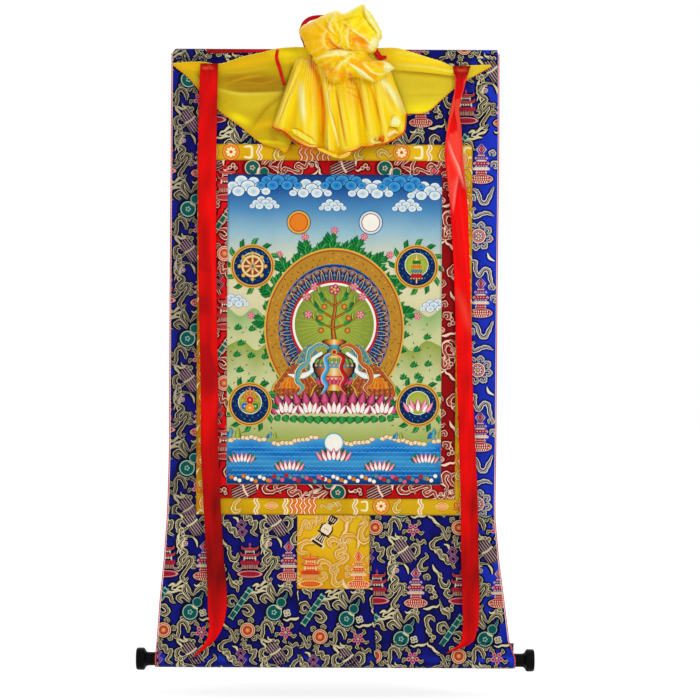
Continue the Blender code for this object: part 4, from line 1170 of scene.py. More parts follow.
def yellowFigures():  # level borders figure by figure, medallions and almonds down the sides
    dye, sketch = dyes["yellow"], Sketch()
    coin = medallion(paint(196, 72, 44), paint(255, 240, 190), paint(206, 66, 40), paint(236, 160, 50))
    almond = lens(paint(216, 84, 40), paint(240, 176, 110), paint(236, 206, 90))
    bars = waveBars(dye["cream"], paint(214, 140, 96), 1)
    knots = waveBars(paint(226, 84, 60), dye["cream"], 3)
    bracket = Sketch()
    bracket.stroke([(-4, -5, 0.8), (3, -5.4, 1.4), (4, 0, 1.3), (3, 5.4, 1.4), (-4, 5, 0.8)],
                   plain(dye["cream"]), 2)
    scroll, hook, fret = longScroll(dye), hookScroll(dye), keyFret(paint(222, 70, 44), 3.2)
    placeRow(sketch, 152.4, (
        (almond, 214, 0, 1, 0.8), (coin, 231, 0, 1, 1), (bracket, 248, 0, 1, 1), (bars, 259, 0, 1, 1),
        (hook, 278, 0.8, 1, 1), (knots, 306, 0, 1, 1), (knots, 324, 0, -1, 1), (hook, 358, 0.8, 1, 0.9),
        (hook, 384, 2.4, 1, 0.8), (coin, 401.6, 0, 1, 1), (bracket, 418, 0, 1, 1), (bars, 429, 0, 1, 1),
        (hook, 443, 0.8, 1, 0.9), (bracket, 468, 0, -1, 0.9)))
    placeRow(sketch, 506, (
        (bracket, 203, 0, 1, 0.9), (bars, 214, 0, 1, 1), (hook, 235, 0.8, 1, 0.9), (bars, 257, 0, -1, 1),
        (almond, 271.4, math.pi / 2, 1, 0.85), (bars, 285, 0, 1, 1), (knots, 296, 0, 1, 0.9),
        (knots, 310, 0, -1, 0.9), (scroll, 331, 1.5, 1, 0.45), (bars, 354.6, 0, 1, 1),
        (bracket, 364, 0, 1, 0.8), (coin, 381, 0, 1, 1), (hook, 396, 0.8, 1, 0.8), (bars, 421, 0, -1, 1),
        (almond, 442, math.pi / 2, 1, 0.85), (fret, 456, 0, 1, 1), (coin, 469, 0, 1, 0.7)))
    middleSide = (halfYellow + halfRed) / 2 / figureUnit
    for side in (-1, 1):
        for k in range(0, 9):
            y = 110 + k * 43.0
            figure = coin if k % 2 else almond
            sketch.stamp(figure, side * middleSide, y, 0)
            sketch.stamp(scroll, side * middleSide, y + 21.5, 0, side, 0.62)
            sketch.stamp(hook, side * (middleSide - 4.6), y + 13, 0.8, side, 0.7)
            sketch.stamp(fret, side * (middleSide + 4.2), y + 30, 0, side, 0.8)
    return sketch


def redFigures():  # the side strips' cloth hangs upright, the level strips' cloth is turned
    def keep(x, y):  # figures near the side strips and clear of the level ones
        x, y = abs(x) * figureUnit, y * figureUnit
        return halfPainting - 0.03 < x < halfRed + 0.03 and redDrop + 0.03 < y < redEnd - 0.03
    dye = dyes["red"]
    cell = brocadeCell(dye)
    cell = cell + [(longScroll(dye), 24, 84, 0.6, -1), (hookScroll(dye), 60, 62, 1.0, 1),
                   (wisp(dye), 12, 62, 0.4, 1)]
    sketch = allOver(cell, anchorAt(337, 407), repeat, keep)
    makers = (gourd, clappers, longScroll, hookScroll, wisp, puffs)
    bulb, sheaf, scroll, hook, tail, cloud = (make(dye) for make in makers)
    for start in (-8.5, 124, 256.5, 389):
        placeRow(sketch, 167.5, (
            (bulb, start, 1.3, 1, 1), (cloud, start - 24, 0, 1, 1), (hook, start + 24, 0.4, 1, 0.9),
            (scroll, start + 44, 1.35, 1, 0.8), (tail, start + 62, 0.5, 1, 1),
            (sheaf, start + 86, 1.75, 1, 1)))
    for start in (109, 244, 379):
        placeRow(sketch, 491.5, (
            (sheaf, start, 1.75, 1, 1), (hook, start + 26, 1.2, -1, 1), (scroll, start + 50, 1.8, -1, 0.85),
            (tail, start + 70, 0.2, -1, 1), (bulb, start + 90, -1.45, 1, 1),
            (cloud, start + 114, 0.4, 1, 1)))
    return sketch


def mitre(side, outer, inner, steps):  # a strip between two rectangles, cut at 45 degrees
    across = edgedShares(6, 0.05)[:, None]
    along = np.linspace(-1, 1, steps)[None, :]
    if side in ("top", "bottom"):
        k = 1 if side == "top" else 2
        drop = outer[k] + (inner[k] - outer[k]) * across
        half = outer[0] + (inner[0] - outer[0]) * across
        x, drop = along * half, drop + 0 * along
        return (x, drop) if side == "top" else (x[::-1], drop[::-1])
    sign = -1 if side == "left" else 1
    x = sign * (outer[0] + (inner[0] - outer[0]) * across)
    start, end = (outer[k] + (inner[k] - outer[k]) * across for k in (1, 2))
    drop = (start + end) / 2 + (end - start) / 2 * along
    x, drop = (x + 0 * along).T, drop.T
    return (x, drop) if side == "left" else (x[:, ::-1], drop[:, ::-1])


def mitreClip(side, outer, inner):  # moves points back inside that strip
    def clip(x, drop):  # across the strip first, then along it, up to the slanting ends
        if side in ("top", "bottom"):
            k = 1 if side == "top" else 2
            drop = np.clip(drop, min(outer[k], inner[k]), max(outer[k], inner[k]))
            share = (drop - outer[k]) / (inner[k] - outer[k])
            half = outer[0] + (inner[0] - outer[0]) * share
            return np.clip(x, -half, half), drop
        sign = -1 if side == "left" else 1
        x = sign * np.clip(sign * x, inner[0], outer[0])
        share = (np.abs(x) - outer[0]) / (inner[0] - outer[0])
        start, end = (outer[k] + (inner[k] - outer[k]) * share for k in (1, 2))
        return x, np.clip(drop, start, end)
    return clip


def borderTint(name, x, drop, outer, inner):  # patches of two reds or yellows, painted shadow along both seams, painted light and shade by side
    nearOuter = np.minimum(outer[0] - np.abs(x), np.minimum(drop - outer[1], outer[2] - drop))
    nearInner = np.maximum(np.abs(x) - inner[0], np.maximum(inner[1] - drop, drop - inner[2]))
    edge = np.minimum(nearOuter, nearInner)
    shadow = 1 - 0.55 * np.exp(-(edge / 0.0016) ** 2)
    patch = 0.5 + 0.5 * ripple(x * 60, drop * 60, 21 if name == "red" else 9)
    if name == "red":
        colour = paint(158, 2, 12) * (1 - patch[..., None]) + paint(200, 6, 12) * patch[..., None]
        # painted light on the left strip and painted shade on the right strip
        side = 1.1 - 0.45 * smoothStep((x - 0.20) / 0.01) + 0.65 * smoothStep((-0.20 - x) / 0.01)
        colour = colour * side[..., None]
    else:
        colour = paint(210, 156, 6) * (1 - patch[..., None]) + paint(236, 188, 12) * patch[..., None]
        # painted light, growing towards the right
        light = smoothStep((x - 0.0) / 0.3)[..., None] * 0.3
        colour = colour * (1 - light) + paint(246, 206, 40) * light
        low = 1 - 0.12 * smoothStep((drop - borderEnd + 0.05) / 0.03)[..., None]
        # painted shade on the left strip, redder and darker
        leftShade = smoothStep((-0.235 - x) / 0.01)[..., None] * np.array([0.06, 0.24, 0.06])
        colour = colour * low * (1 - leftShade)
    return colour * shadow[..., None]


def buildBorders():  # four mitred strips of each colour, with the figures of their border cut to each
    half = hanging["cloth"] / 2
    for name, sketch in (("yellow", yellowFigures()), ("red", redFigures())):
        outer, inner, cloth = (borders[name][key] for key in ("outer", "inner", "cloth"))
        for side in ("top", "bottom", "left", "right"):
            level = side in ("top", "bottom")
            x, drop = mitre(side, outer, inner, 108 if level else 132)
            title = name + "Border" + side.title()
            piece = clothPiece(title, hang(x, drop, half), hang(x, drop, -half), cloth,
                               borderTint(name, x, drop, outer, inner))
            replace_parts(piece, f"{name}_border_{side}")
            figures = figuresOn(title + "Figures", sketch, figureUnit,
                                lambda x, run, lift: hang(x, run, half + lift),
                                mitreClip(side, outer, inner), cloth[0])
            length = 2 * outer[0] if level else outer[2] - outer[1]
            width = outer[0] - inner[0]
            width * (length - width)


def drum(dark, pale):  # a waisted drum with fringed ends
    figure = Sketch()
    figure.shape(0, 0, [(-17, 4.6), (-16, 5.6), (-9.6, 4.6), (-9.0, 2.6), (-6.6, 2.4)],
                 outlined(pale, dark, 0.2), 2)
    figure.shape(0, 0, [(-7, 4.2), (-3.4, 6.8), (1.4, 6.4), (3.6, 4.4)], outlined(dark, pale, 0.24), 3)
    figure.shape(0, 0, [(3, 6.8), (4.6, 6.8)], plain(dark), 4)
    figure.shape(0, 0, [(4.4, 3.4), (12.6, 5.4), (13, 7.6), (16.6, 7.6)], outlined(pale, dark, 0.2), 2)
    for k in range(-1, 2):
        figure.stroke([(k * 2.5, -15.0, 0.35), (k * 1.8, -10.6, 0.35)], plain(pale), 3, 2)
        figure.stroke([(k * 1.9, 5.8, 0.4), (k * 2.6, 11.6, 0.4)], plain(pale), 3, 2)
        figure.disc(k * 2.0, -1.4, crisp((0.6, dark)), sides=6, layer=4)
    figure.shape(0, 0, [(12.8, 6.4), (14, 6.4)], plain(pale), 3)
    return figure


apron = {"lift": 0.0020, "columns": 44, "rows": 46, "orange": paint(226, 146, 10),
         "gold": paint(226, 182, 24)}


def buildApron():  # a loose patch that swells a little and is sewn down along its edges
    half, length = hanging["apronWidth"] / 2, hanging["apronLength"]
    end, start, thin = borderEnd + length, borderEnd + 0.0005, hanging["cloth"] / 2

    def edgeAt(x, drop):  # distance from the nearest edge
        return np.minimum(half - np.abs(x), np.minimum(drop - borderEnd, end - drop))

    def surface(x, drop, lift):  # above the patch's middle by lift
        raised = apron["lift"] - 0.0003 * np.exp(-edgeAt(x, drop) / 0.0012)
        return hang(x, drop, raised + 0.0005 * ripple(x * 50, drop * 40, 14) + thin + lift)

    x, drop = np.meshgrid(-half + 2 * half * edgedShares(apron["columns"], 0.01),
                          start + (end - start) * edgedShares(apron["rows"], 0.01))
    patch = smoothStep(0.5 + 0.7 * ripple(x * 45, drop * 70, 31))
    patch = np.clip(0.5 * patch - 0.25 + 0.75 * smoothStep((drop - borderEnd - 0.03) / 0.07), 0, 1)[..., None]
    tints = apron["gold"] * (1 - patch) + apron["orange"] * patch
    # painted shade along the patch's edges, where it lies raised on the ground
    tints = tints * (1 - 0.4 * np.exp(-(edgeAt(x, drop) / 0.0012) ** 2))[..., None]
    piece = clothPiece("apron", surface(x, drop, 0), surface(x, drop, -2 * thin),
                       [yellowBrocade, yellowReverse],
                       tints)
    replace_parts(piece, "apron_patch")
    dye = dict(dyes["yellow"], pink=paint(246, 196, 130), red=paint(226, 70, 30), cream=paint(242, 210, 160),
               olive=paint(234, 176, 70), shade=paint(204, 150, 10))
    sketch = Sketch()
    tower = pagoda(dict(dye, dark=paint(220, 96, 30)))
    for figure, column, row, turn, flip, size in (
            (tower, 310.5, 570, 0, 1, 1.0),
            (drum(paint(50, 26, 22), paint(240, 220, 186)), 325.5, 530.5, 0.57, 1, 1.0),
            (stupa(dye), 358.5, 571, 0, 1, 0.95), (longScroll(dye), 342, 553, 0.45, 1, 0.95),
            (hookScroll(dye), 362, 533, 0.6, 1, 1.3), (longScroll(dye), 309, 524, 0.9, -1, 0.7),
            (hookScroll(dye), 304, 544, 1.5, 1, 1.2), (hookScroll(dye), 336, 541, 2.4, 1, 1.0),
            (hookScroll(dye), 335, 578, 0.5, 1, 1.1), (wisp(dye), 347, 587, 0.4, 1, 1.2),
            (longScroll(dye), 350, 516, 1.5, 1, 0.7), (wisp(dye), 347, 528, 1.2, 1, 1.1),
            (hookScroll(dye), 326, 563, 2.4, 1, 1.0)):
        sketch.stamp(figure, *anchorAt(column, row), turn, flip, size)

    def clip(x, drop):  # points past an edge are moved back to it
        return np.clip(x, -half + 0.0004, half - 0.0004), np.clip(drop, borderEnd + 0.0008, end - 0.0006)

    figures = figuresOn("apronFigures", sketch, figureUnit, surface, clip, yellowBrocade, 0.0002)


buildBorders()
buildApron()
print("borders and apron sewn in")

# cords, tape, loop, roller

cord = {"radius": 0.0012, "outside": 0.0017, "start": 0.008, "step": 0.0015, "sides": 6, "lay": 0.0065,
        "light": paint(238, 120, 96), "dark": paint(196, 40, 34)}


def tubeRings(path, radius, sides):  # rings round a path, each square to it
    run = np.gradient(path, axis=0)
    run = run / np.linalg.norm(run, axis=1)[:, None]
    across = np.cross(run, [1.0, 0.0, 0.0])
    across = across / np.linalg.norm(across, axis=1)[:, None]
    other = np.cross(across, run)
    turn = np.linspace(0, 2 * np.pi, sides, endpoint=False)
    radius = np.broadcast_to(radius, len(path))[:, None, None]
    spread = across[:, None] * np.cos(turn)[:, None] + other[:, None] * np.sin(turn)[:, None]
    return path[:, None] + radius * spread, turn


def closedTube(name, rings, materials, colours=None):  # a tube with a point at each end
    rows, sides = rings.shape[:2]
    faces = gridFaces(rows, sides, closed=True)
    index = np.arange(sides)
    caps = []
    for start, pole, flip in ((0, rows * sides, False), ((rows - 1) * sides, rows * sides + 1, True)):
        ring = index + start
        cap = np.stack([np.full(sides, pole), ring, np.roll(ring, -1)], axis=-1)
        caps.append(cap[:, ::-1] if flip else cap)
    points = np.vstack([rings.reshape(-1, 3), rings[0].mean(0), rings[-1].mean(0)])
    quads = np.vstack([faces[:, [0, 1, 2]], faces[:, [0, 2, 3]], *caps])
    if colours is not None:
        colours = np.vstack([colours.reshape(-1, 3), colours[0].mean(0), colours[-1].mean(0)])
    a, b, c = (points[quads[:, k]] for k in range(3))
    if np.einsum("ij,ij->", a, np.cross(b, c)) < 0:  # the volume says which way the faces point
        quads = quads[:, ::-1]
    return makePiece(name, points, quads, materials, colours, sharp=40)


def buildCords():  # a tube beside each long edge, ribbed and shaded along a twist round it
    board = Board("cordSilk", Specular_IOR_Level=0.08)
    fuzz = board.noise(board.place(), 900, 2)
    board.finish(Base_Color=board.shade(board.tint(), 0.8 + fuzz * 0.4), Roughness=0.5 + fuzz * 0.2)
    end = hanging["stitch"] + sleeveStraight + sleeveRadius * 2.0
    run = np.arange(cord["start"], end, cord["step"])
    for name, node, which, outward in (("edgeCordLeft", "edge_cord_left", 0, -1),
                                       ("edgeCordRight", "edge_cord_right", 1, 1)):
        x = outlineAt(np.minimum(run, 1.18))[which] + outward * cord["outside"]
        path = lowerCloth(x, run, 0)
        thickness = cord["radius"] * (1 - 0.4 * smoothStep(1 - (run - run[0]) / 0.002))
        rings, turn = tubeRings(path, thickness, cord["sides"])
        twist = 0.5 + 0.5 * np.sin(turn + 2 * np.pi * run[:, None] / cord["lay"])
        ribs = 0.84 + 0.2 * np.abs(np.sin(turn + np.pi * run[:, None] / cord["lay"]))
        rings = path[:, None] + (rings - path[:, None]) * ribs[..., None]
        colours = cord["dark"] * (1 - twist[..., None]) + cord["light"] * twist[..., None]
        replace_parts(closedTube(name, rings, [board.material], colours), node)


tape = {"rows": [(-0.2490, 0.0010, 0.0092, 140), (-0.2000, 0.0010, 0.0080, 160),
                 (-0.1100, 0.0010, 0.0052, 226), (0.0000, 0.0014, 0.0050, 180),
                 (0.1475, 0.0016, 0.0040, 170)],   # x, top, bottom, red level, lower where shade is painted
        "gap": 0.0004, "thick": 0.001}
loop = {"middle": -0.0125, "halfSpan": 0.055, "rise": 0.062, "foot": 0.014, "width": 0.008, "squareness": 0.5,
        "depth": 0.0053, "thick": 0.001}


def satinMaterial(name):  # long streaks along a ribbon, a soft sheen, fine cross threads
    board = Board(name, Specular_IOR_Level=0.06)
    streaks = board.noise(board.stretched(300, 1, 5), 1, 3)
    weft = (board.separate(board.place())[2] * 6200).sine() * 0.5 + 0.5
    # the streaks also lighten the colour, as painted sheen
    board.finish(Base_Color=board.shade(board.tint(), 0.84 + streaks * 0.32), Roughness=0.34 + streaks * 0.16,
                 Normal=board.bump(streaks + weft * 0.25, 0.22, 0.0003))
    return board.material


redSatin = satinMaterial("redSatin")


def buildTape():  # a narrow strip along the heading, its width and its red with painted shade from its table
    x, share = np.meshgrid(np.linspace(tape["rows"][0][0], tape["rows"][-1][0], 120), np.linspace(0, 1, 5))
    top, bottom, light = table(tape["rows"], x)
    drop = top + (bottom - top) * share + 0.0003 * ripple(x * 120, share * 0, 8)
    lift = headingHalf(drop) + tape["gap"]
    front, back = (np.stack([x, -lift - thick, -drop], axis=-1) for thick in (tape["thick"], 0))
    tint = np.moveaxis(paint(light, light * 0.05, light * 0.07), 0, -1)
    # a painted highlight along the tape's middle, painted shade towards its edges
    tint = tint * (0.8 + 0.4 * np.sin(np.pi * share))[..., None]
    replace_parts(clothPiece("topTape", front, back, [redSatin], tint), "top_tape")


def buildLoop():  # a squared arch of tape, sewn to the heading at both feet
    turn = np.linspace(-np.pi / 2, np.pi / 2, 90)
    sin, cos = np.sin(turn), np.abs(np.cos(turn))
    x = loop["middle"] + loop["halfSpan"] * np.sign(sin) * np.abs(sin) ** loop["squareness"]
    height = loop["rise"] * cos ** loop["squareness"]
    x = loop["middle"] + (x - loop["middle"]) * (0.80 + 0.20 * smoothStep(height / 0.036))
    foot = np.linspace(-loop["foot"], -0.002, 6)
    path = np.vstack([np.column_stack([np.full(6, x[0]), foot]), np.column_stack([x, height]),
                      np.column_stack([np.full(6, x[-1]), foot[::-1]])])
    run = np.gradient(path, axis=0)
    run = run / np.linalg.norm(run, axis=1)[:, None]
    side = np.stack([-run[:, 1], run[:, 0]], axis=1)
    share = np.linspace(-1, 1, 7)
    flat = path[:, None] + side[:, None] * (share * loop["width"] / 2)[:, None]
    thick = loop["thick"] / 2 * (1 - 0.3 * np.abs(share) ** 6)
    grids = [np.stack([flat[..., 0], -loop["depth"] + s * thick + 0 * flat[..., 0], flat[..., 1]],
                      axis=-1) for s in (-1, 1)]
    # painted shade towards both edges of the loop
    edge = 1 - 0.35 * np.abs(share) ** 4
    tint = np.broadcast_to((paint(196, 10, 14) * edge[:, None]), (*flat.shape[:2], 3))
    front, back = (grid[:, ::-1] for grid in grids)
    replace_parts(clothPiece("hangingLoop", front, back, [redSatin], tint), "hanging_loop")


knob = {
    "left": -0.3406, "right": 0.3500, "sides": 44,
    "profile": [(-0.0017, 0.0), (-0.0017, 0.0120), (-0.0010, 0.0133), (0.0060, 0.0130), (0.0140, 0.0131),
                (0.0180, 0.0136), (0.0200, 0.0150), (0.0220, 0.0182), (0.0236, 0.0206), (0.0252, 0.0216),
                (0.0290, 0.0217), (0.0345, 0.0216), (0.0368, 0.0212), (0.0383, 0.0203), (0.0393, 0.0188),
                (0.0398, 0.0160), (0.0396, 0.0120), (0.0399, 0.0080), (0.0400, 0.0)],
}


def buildRoller():  # the knobs' profile carried round the roller's axis, and the rod's wood
    board = Board("blackLacquer", Coat_Weight=0.015, Coat_Roughness=0.2, Specular_IOR_Level=0.04)
    grain = board.noise(board.stretched(1, 12, 12), 30, 3)
    scuffs = board.noise(board.place(), 260, 2)
    board.finish(Base_Color=board.mix(grain, paint(3, 3, 4), paint(12, 11, 12)),
                 Roughness=0.28 + scuffs * 0.25,
                 Normal=board.bump(grain + scuffs * 0.3, 0.15, 0.0004))
    profile = curve(np.array(knob["profile"])[1:-1], 48)
    profile = np.vstack([knob["profile"][0], profile, knob["profile"][-1]])
    turn = np.linspace(0, 2 * np.pi, knob["sides"], endpoint=False)
    for name, node, start, outward in (("rollerKnobLeft", "roller_knob_left", knob["left"], -1),
                                       ("rollerKnobRight", "roller_knob_right", knob["right"], 1)):
        body = profile[1:-1]
        x = start + outward * body[:, :1] + 0 * turn
        rings = np.stack([x, body[:, 1:] * np.sin(turn),
                          body[:, 1:] * np.cos(turn) - hanging["rollerDrop"]], axis=-1)
        piece = closedTube(name, rings, [board.material])
        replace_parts(piece, node)
    wood = Board("pineRod", Specular_IOR_Level=0.3)
    rings = wood.noise(wood.stretched(2, 60, 60), 4, 4)
    wood.finish(Base_Color=wood.mix(rings, paint(176, 128, 78), paint(126, 82, 46)),
                Roughness=0.55 + rings * 0.2,
                Normal=wood.bump(rings, 0.3, 0.0005))
    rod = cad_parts["roller_rod"].data
    rod.materials.clear()
    rod.materials.append(wood.material)


buildCords()
buildTape()
buildLoop()
buildRoller()
print("cords, tape, loop and roller done")

# the painted picture
# A treasure vase with a flowering tree in an aureole, four roundels round it and a lake
# below. X from the middle, y down from the top, in figure units.

picture = {
    "sky": [  # y and colour, from the top down
        (0, (20, 58, 122)), (16, (34, 88, 156)), (36, (80, 142, 188)), (58, (150, 190, 204)),
        (82, (208, 212, 186)), (106, (224, 216, 174)), (150, (212, 208, 156)), (190, (186, 192, 128)),
        (225, (196, 196, 140)), (310, (180, 176, 120))],
    "grid": 0.0055,
}


def land(sketch, top, bottom, tones, layer):  # hill between a curved top line and a level
    line = curve([(x, y, 0) for x, y in top], 76)[:, :2]
    rows = finer(mixed(zip(np.linspace(0, 1, len(tones)), tones)), bottom - line[:, 1].min())
    depth = np.array([row[0] for row in rows])[:, None]
    y = line[:, 1] + (bottom - line[:, 1]) * depth
    sketch.add(np.stack([line[:, 0] + 0 * y, y], axis=-1), np.array([row[1] for row in rows])[:, None], layer)


def cloud(sketch, x, y, size, flip, layer, tone):  # scallops heaped up, soft blue in their hearts
    rim, heart, line = {"sky": ("white", pigment["sky"] * 0.5 + pigment["pale"] * 0.5, pigment["blue"] * 0.9),
                        "blue": ("sky", "blue", "navy")}[tone]
    lobes = [(-6, -10, 7.5), (7, -9, 6.5), (-15, -3, 6.5), (1, -3, 8.0), (14, -3, 6.2), (-21, 4, 5.0),
             (-9, 4, 7.2), (7, 4, 7.4), (20, 4, 5.2)]
    for number, (dx, dy, radius) in enumerate(lobes):
        cx, cy, r, at = x + dx * size * flip, y + dy * size * 0.8, radius * size, layer + number * 0.5
        sketch.disc(cx, cy, [(0, heart), (r * 0.88, rim), (r * 0.88, line), (r, line)], sides=16,
                    layer=at, squash=0.8)


def petal(sketch, x, y, half, height, turn, tones, layer):  # widest at a third of its height, pointed
    edge, fill, heart = tones
    one = Sketch()
    bands = [(-1, edge), (-0.78, edge), (-0.78, fill), (0, heart), (0.78, fill), (0.78, edge), (1, edge)]
    sides = [(0, half * 0.5), (-height * 0.3, half), (-height * 0.62, half * 0.78),
             (-height * 0.88, half * 0.3), (-height, 0.1)]
    one.shape(0, 0, sides, bands, layer)
    sketch.stamp(one, x, y, turn)


def lotus(sketch, x, y, half, count, height, layer, tones):  # a row of petals, upright
    for k in sorted(range(count), key=lambda k: -abs(k - (count - 1) / 2)):
        share = (k - (count - 1) / 2) / max((count - 1) / 2, 1)
        wide = max(half / count * 1.35, height * 0.25) * (1 - 0.25 * share ** 2)
        petal(sketch, x + half * share, y - 0.10 * height * (1 - share ** 2), wide,
              height * (1 - 0.12 * share ** 2), share * 0.55, tones, layer + 0.2 * (1 - abs(share)))


def leaf(sketch, x, y, length, turn, layer, tone):  # lighter on one side of its dark midrib
    one, width, fill = Sketch(), length * 0.24, pigment[tone]
    one.stroke([(0, 0, 0.2), (length * 0.3, -width * 0.3, width), (length * 0.65, -width * 0.3, width * 0.8),
                (length, width * 0.4, 0.15)],
               [(-1, "dark"), (-0.72, "dark"), (-0.72, fill), (0.0, fill * 1.3), (0.0, "dark"),
                (0.7, fill * 0.8), (1, "dark")], layer, 2)
    sketch.stamp(one, x, y, turn)


def blossom(sketch, x, y, size, layer, tone="pink"):  # five round petals about a gold heart
    for k in range(5):
        turn = k * 2 * math.pi / 5
        sketch.disc(x + size * 0.62 * math.cos(turn), y + size * 0.62 * math.sin(turn),
                    [(0, "rose"), (size * 0.34, tone), (size * 0.46, "crimson")], sides=9, layer=layer)
    sketch.disc(x, y, crisp((size * 0.3, "gold")), sides=8, layer=layer + 0.3)


def halo(sketch, x, y, radius, layer, fill, rings):  # lightest in the middle, thin rings at its rim
    tones = [(0, pigment[fill] * 1.12), (radius * 0.6, fill), (radius * rings[0][0], pigment[fill] * 0.82)]
    for share, tone in rings:
        tones += [(radius * share, tone), (radius * (share + 0.05), tone)]
    sketch.disc(x, y, tones, sides=round(24 + radius), layer=layer)


def spray(sketch, x, y, turn, length, layer):  # a branch with leaves and blossoms
    cos, sin = math.cos(turn), math.sin(turn)
    bend = [(x, y, 0.9), (x + cos * length * 0.5 + sin * 5, y + sin * length * 0.5 - cos * 5, 0.7),
            (x + cos * length, y + sin * length, 0.4)]
    sketch.stroke(bend, [(-1, "dark"), (0, "green"), (1, "dark")], layer)
    for k in range(5):
        share = 0.25 + 0.17 * k
        side = 1 if k % 2 else -1
        px, py = x + cos * length * share + sin * 4, y + sin * length * share - cos * 4
        leaf(sketch, px, py, 11.5 - k, turn + side * (0.75 - 0.06 * k), layer + 0.5 + 0.1 * k,
             ("green", "leaf")[k % 2])
    leaf(sketch, x + cos * length * 0.9, y + sin * length * 0.9, 9, turn, layer + 1, "green")
    blossom(sketch, x + cos * (length + 7), y + sin * (length + 7), 3.6, layer + 1.5)


def feather(sketch, x, y, turn, length, layer):  # widens to its round eye, gold along both edges
    one = Sketch()
    one.stroke([(0, 0, 1.2), (length * 0.5, 0, 3.4), (length * 0.85, 0, 4.6), (length, 0, 3.2),
                (length * 1.06, 0, 0.3)],
               [(-1, "gold"), (-0.82, "gold"), (-0.82, "navy"), (-0.1, pigment["navy"] * 1.4),
                (0, pigment["gold"] * 0.7), (0.1, pigment["navy"] * 1.4), (0.82, "navy"), (0.82, "gold"),
                (1, "gold")], 0, 2)
    one.disc(length * 0.9, 0, [(0, "gold"), (0.8, "teal"), (1.7, "teal"), (1.7, "rust"), (2.9, "rust")],
             sides=10, layer=0.3)
    one.disc(length * 0.5, 0, crisp((1.3, "teal")), sides=8, layer=0.3)
    sketch.stamp(one, x, y, turn, layer=layer)


def rays(sketch, x, y, inner, outer, count, layer, tone):  # thin spokes, every other one shorter
    for k in range(count):
        turn = k * 2 * math.pi / count
        reach = outer if k % 2 else outer * 0.94
        cos, sin = math.cos(turn), math.sin(turn)
        sketch.stroke([(x + inner * cos, y + inner * sin, 0.45), (x + reach * cos, y + reach * sin, 0.2)],
                      plain(tone), layer, 2)


def bodyBands(*tones):  # shading across a round body, dark at the rims
    at = np.linspace(-0.86, 0.86, len(tones))
    return [(-1, "ink"), (-0.94, "ink"), *zip(at, tones), (0.94, "ink"), (1, "ink")]


def treasureVase(sketch, x, y, size, layer):  # foot, body, neck and lip turned on one axis, with scarves
    warm = bodyBands("brown", "rust", "amber", "gold", "cream", "gold", "amber", "rust", "brown")
    deep = bodyBands("navy", "teal", "sky", "teal", "navy")
    one = Sketch()
    one.shape(0, 0, [(0, 17), (-3, 18), (-5, 14), (-8, 9)], warm, 0)
    one.shape(0, 0, [(-8, 9), (-14, 19), (-24, 27), (-34, 29), (-43, 24), (-49, 14), (-52, 10)], warm, 0)
    one.shape(0, 0, [(-52, 10), (-58, 8.4), (-62, 9.4)], deep, 0.1)
    one.shape(0, 0, [(-62, 9.4), (-64, 15), (-67, 17), (-69, 12)], warm, 0.2)
    one.shape(0, 0, [(-37.5, 28.6), (-34, 29.4), (-30.5, 29)], deep, 0.5)
    one.shape(0, 0, [(-20, 25), (-17.5, 23)], bodyBands("crimson", "red", "pink", "red", "crimson"), 0.5)
    for k in range(-4, 5):
        turn = math.asin(k / 4.6)
        one.disc(28 * math.sin(turn), -34, crisp((1.5, "gold"), (2.1, "rust")), sides=9, layer=1)
        petal(one, 22 * math.sin(turn), -8, 3.4, 9.5, math.sin(turn) * 0.7, ("crimson", "red", "pink"),
              1 + 0.1 * (4 - abs(k)))
        petal(one, 24 * math.sin(turn), -44.5 + 2.5 * abs(math.sin(turn)), 2.6, -8.4, -math.sin(turn) * 0.7,
              ("dark", "green", "lime"), 1)
    for side in (-1, 1):
        scarf = [(side * 7, -57, 1.6), (side * 20, -62, 3.2), (side * 33, -52, 4.2), (side * 36, -38, 3.4),
                 (side * 46, -30, 4.4), (side * 50, -14, 4.2), (side * 42, -4, 3.0), (side * 49, 6, 1.2)]
        tone = "teal" if side < 0 else "rust"
        one.stroke(scarf, [(-1, "ink"), (-0.88, "gold"), (-0.67, "gold"), (-0.67, tone),
                           (0, pigment[tone] * 1.5), (0.3, tone), (0.67, pigment[tone] * 0.6),
                           (0.67, "cream"), (0.88, "cream"), (1, "ink")], 1.5)
        sash = [(side * 4, -50, 1.6), (side * 12, -44, 3.0), (side * 9, -30, 3.2), (side * 15, -17, 3.4),
                (side * 10, -6, 3.0), (side * 17, 5, 1.0)]
        tone = "sky" if side < 0 else "red"
        one.stroke(sash, [(-1, "ink"), (-0.85, pigment[tone] * 0.6), (0, tone), (0.5, pigment[tone] * 1.3),
                          (0.85, "cream"), (1, "ink")], 2.5)
    one.disc(0, -52, crisp((2.7, "red"), (4.3, "gold"), (4.9, "ink")), sides=18, layer=3.5)
    sketch.stamp(one, x, y, 0, 1, size, layer)


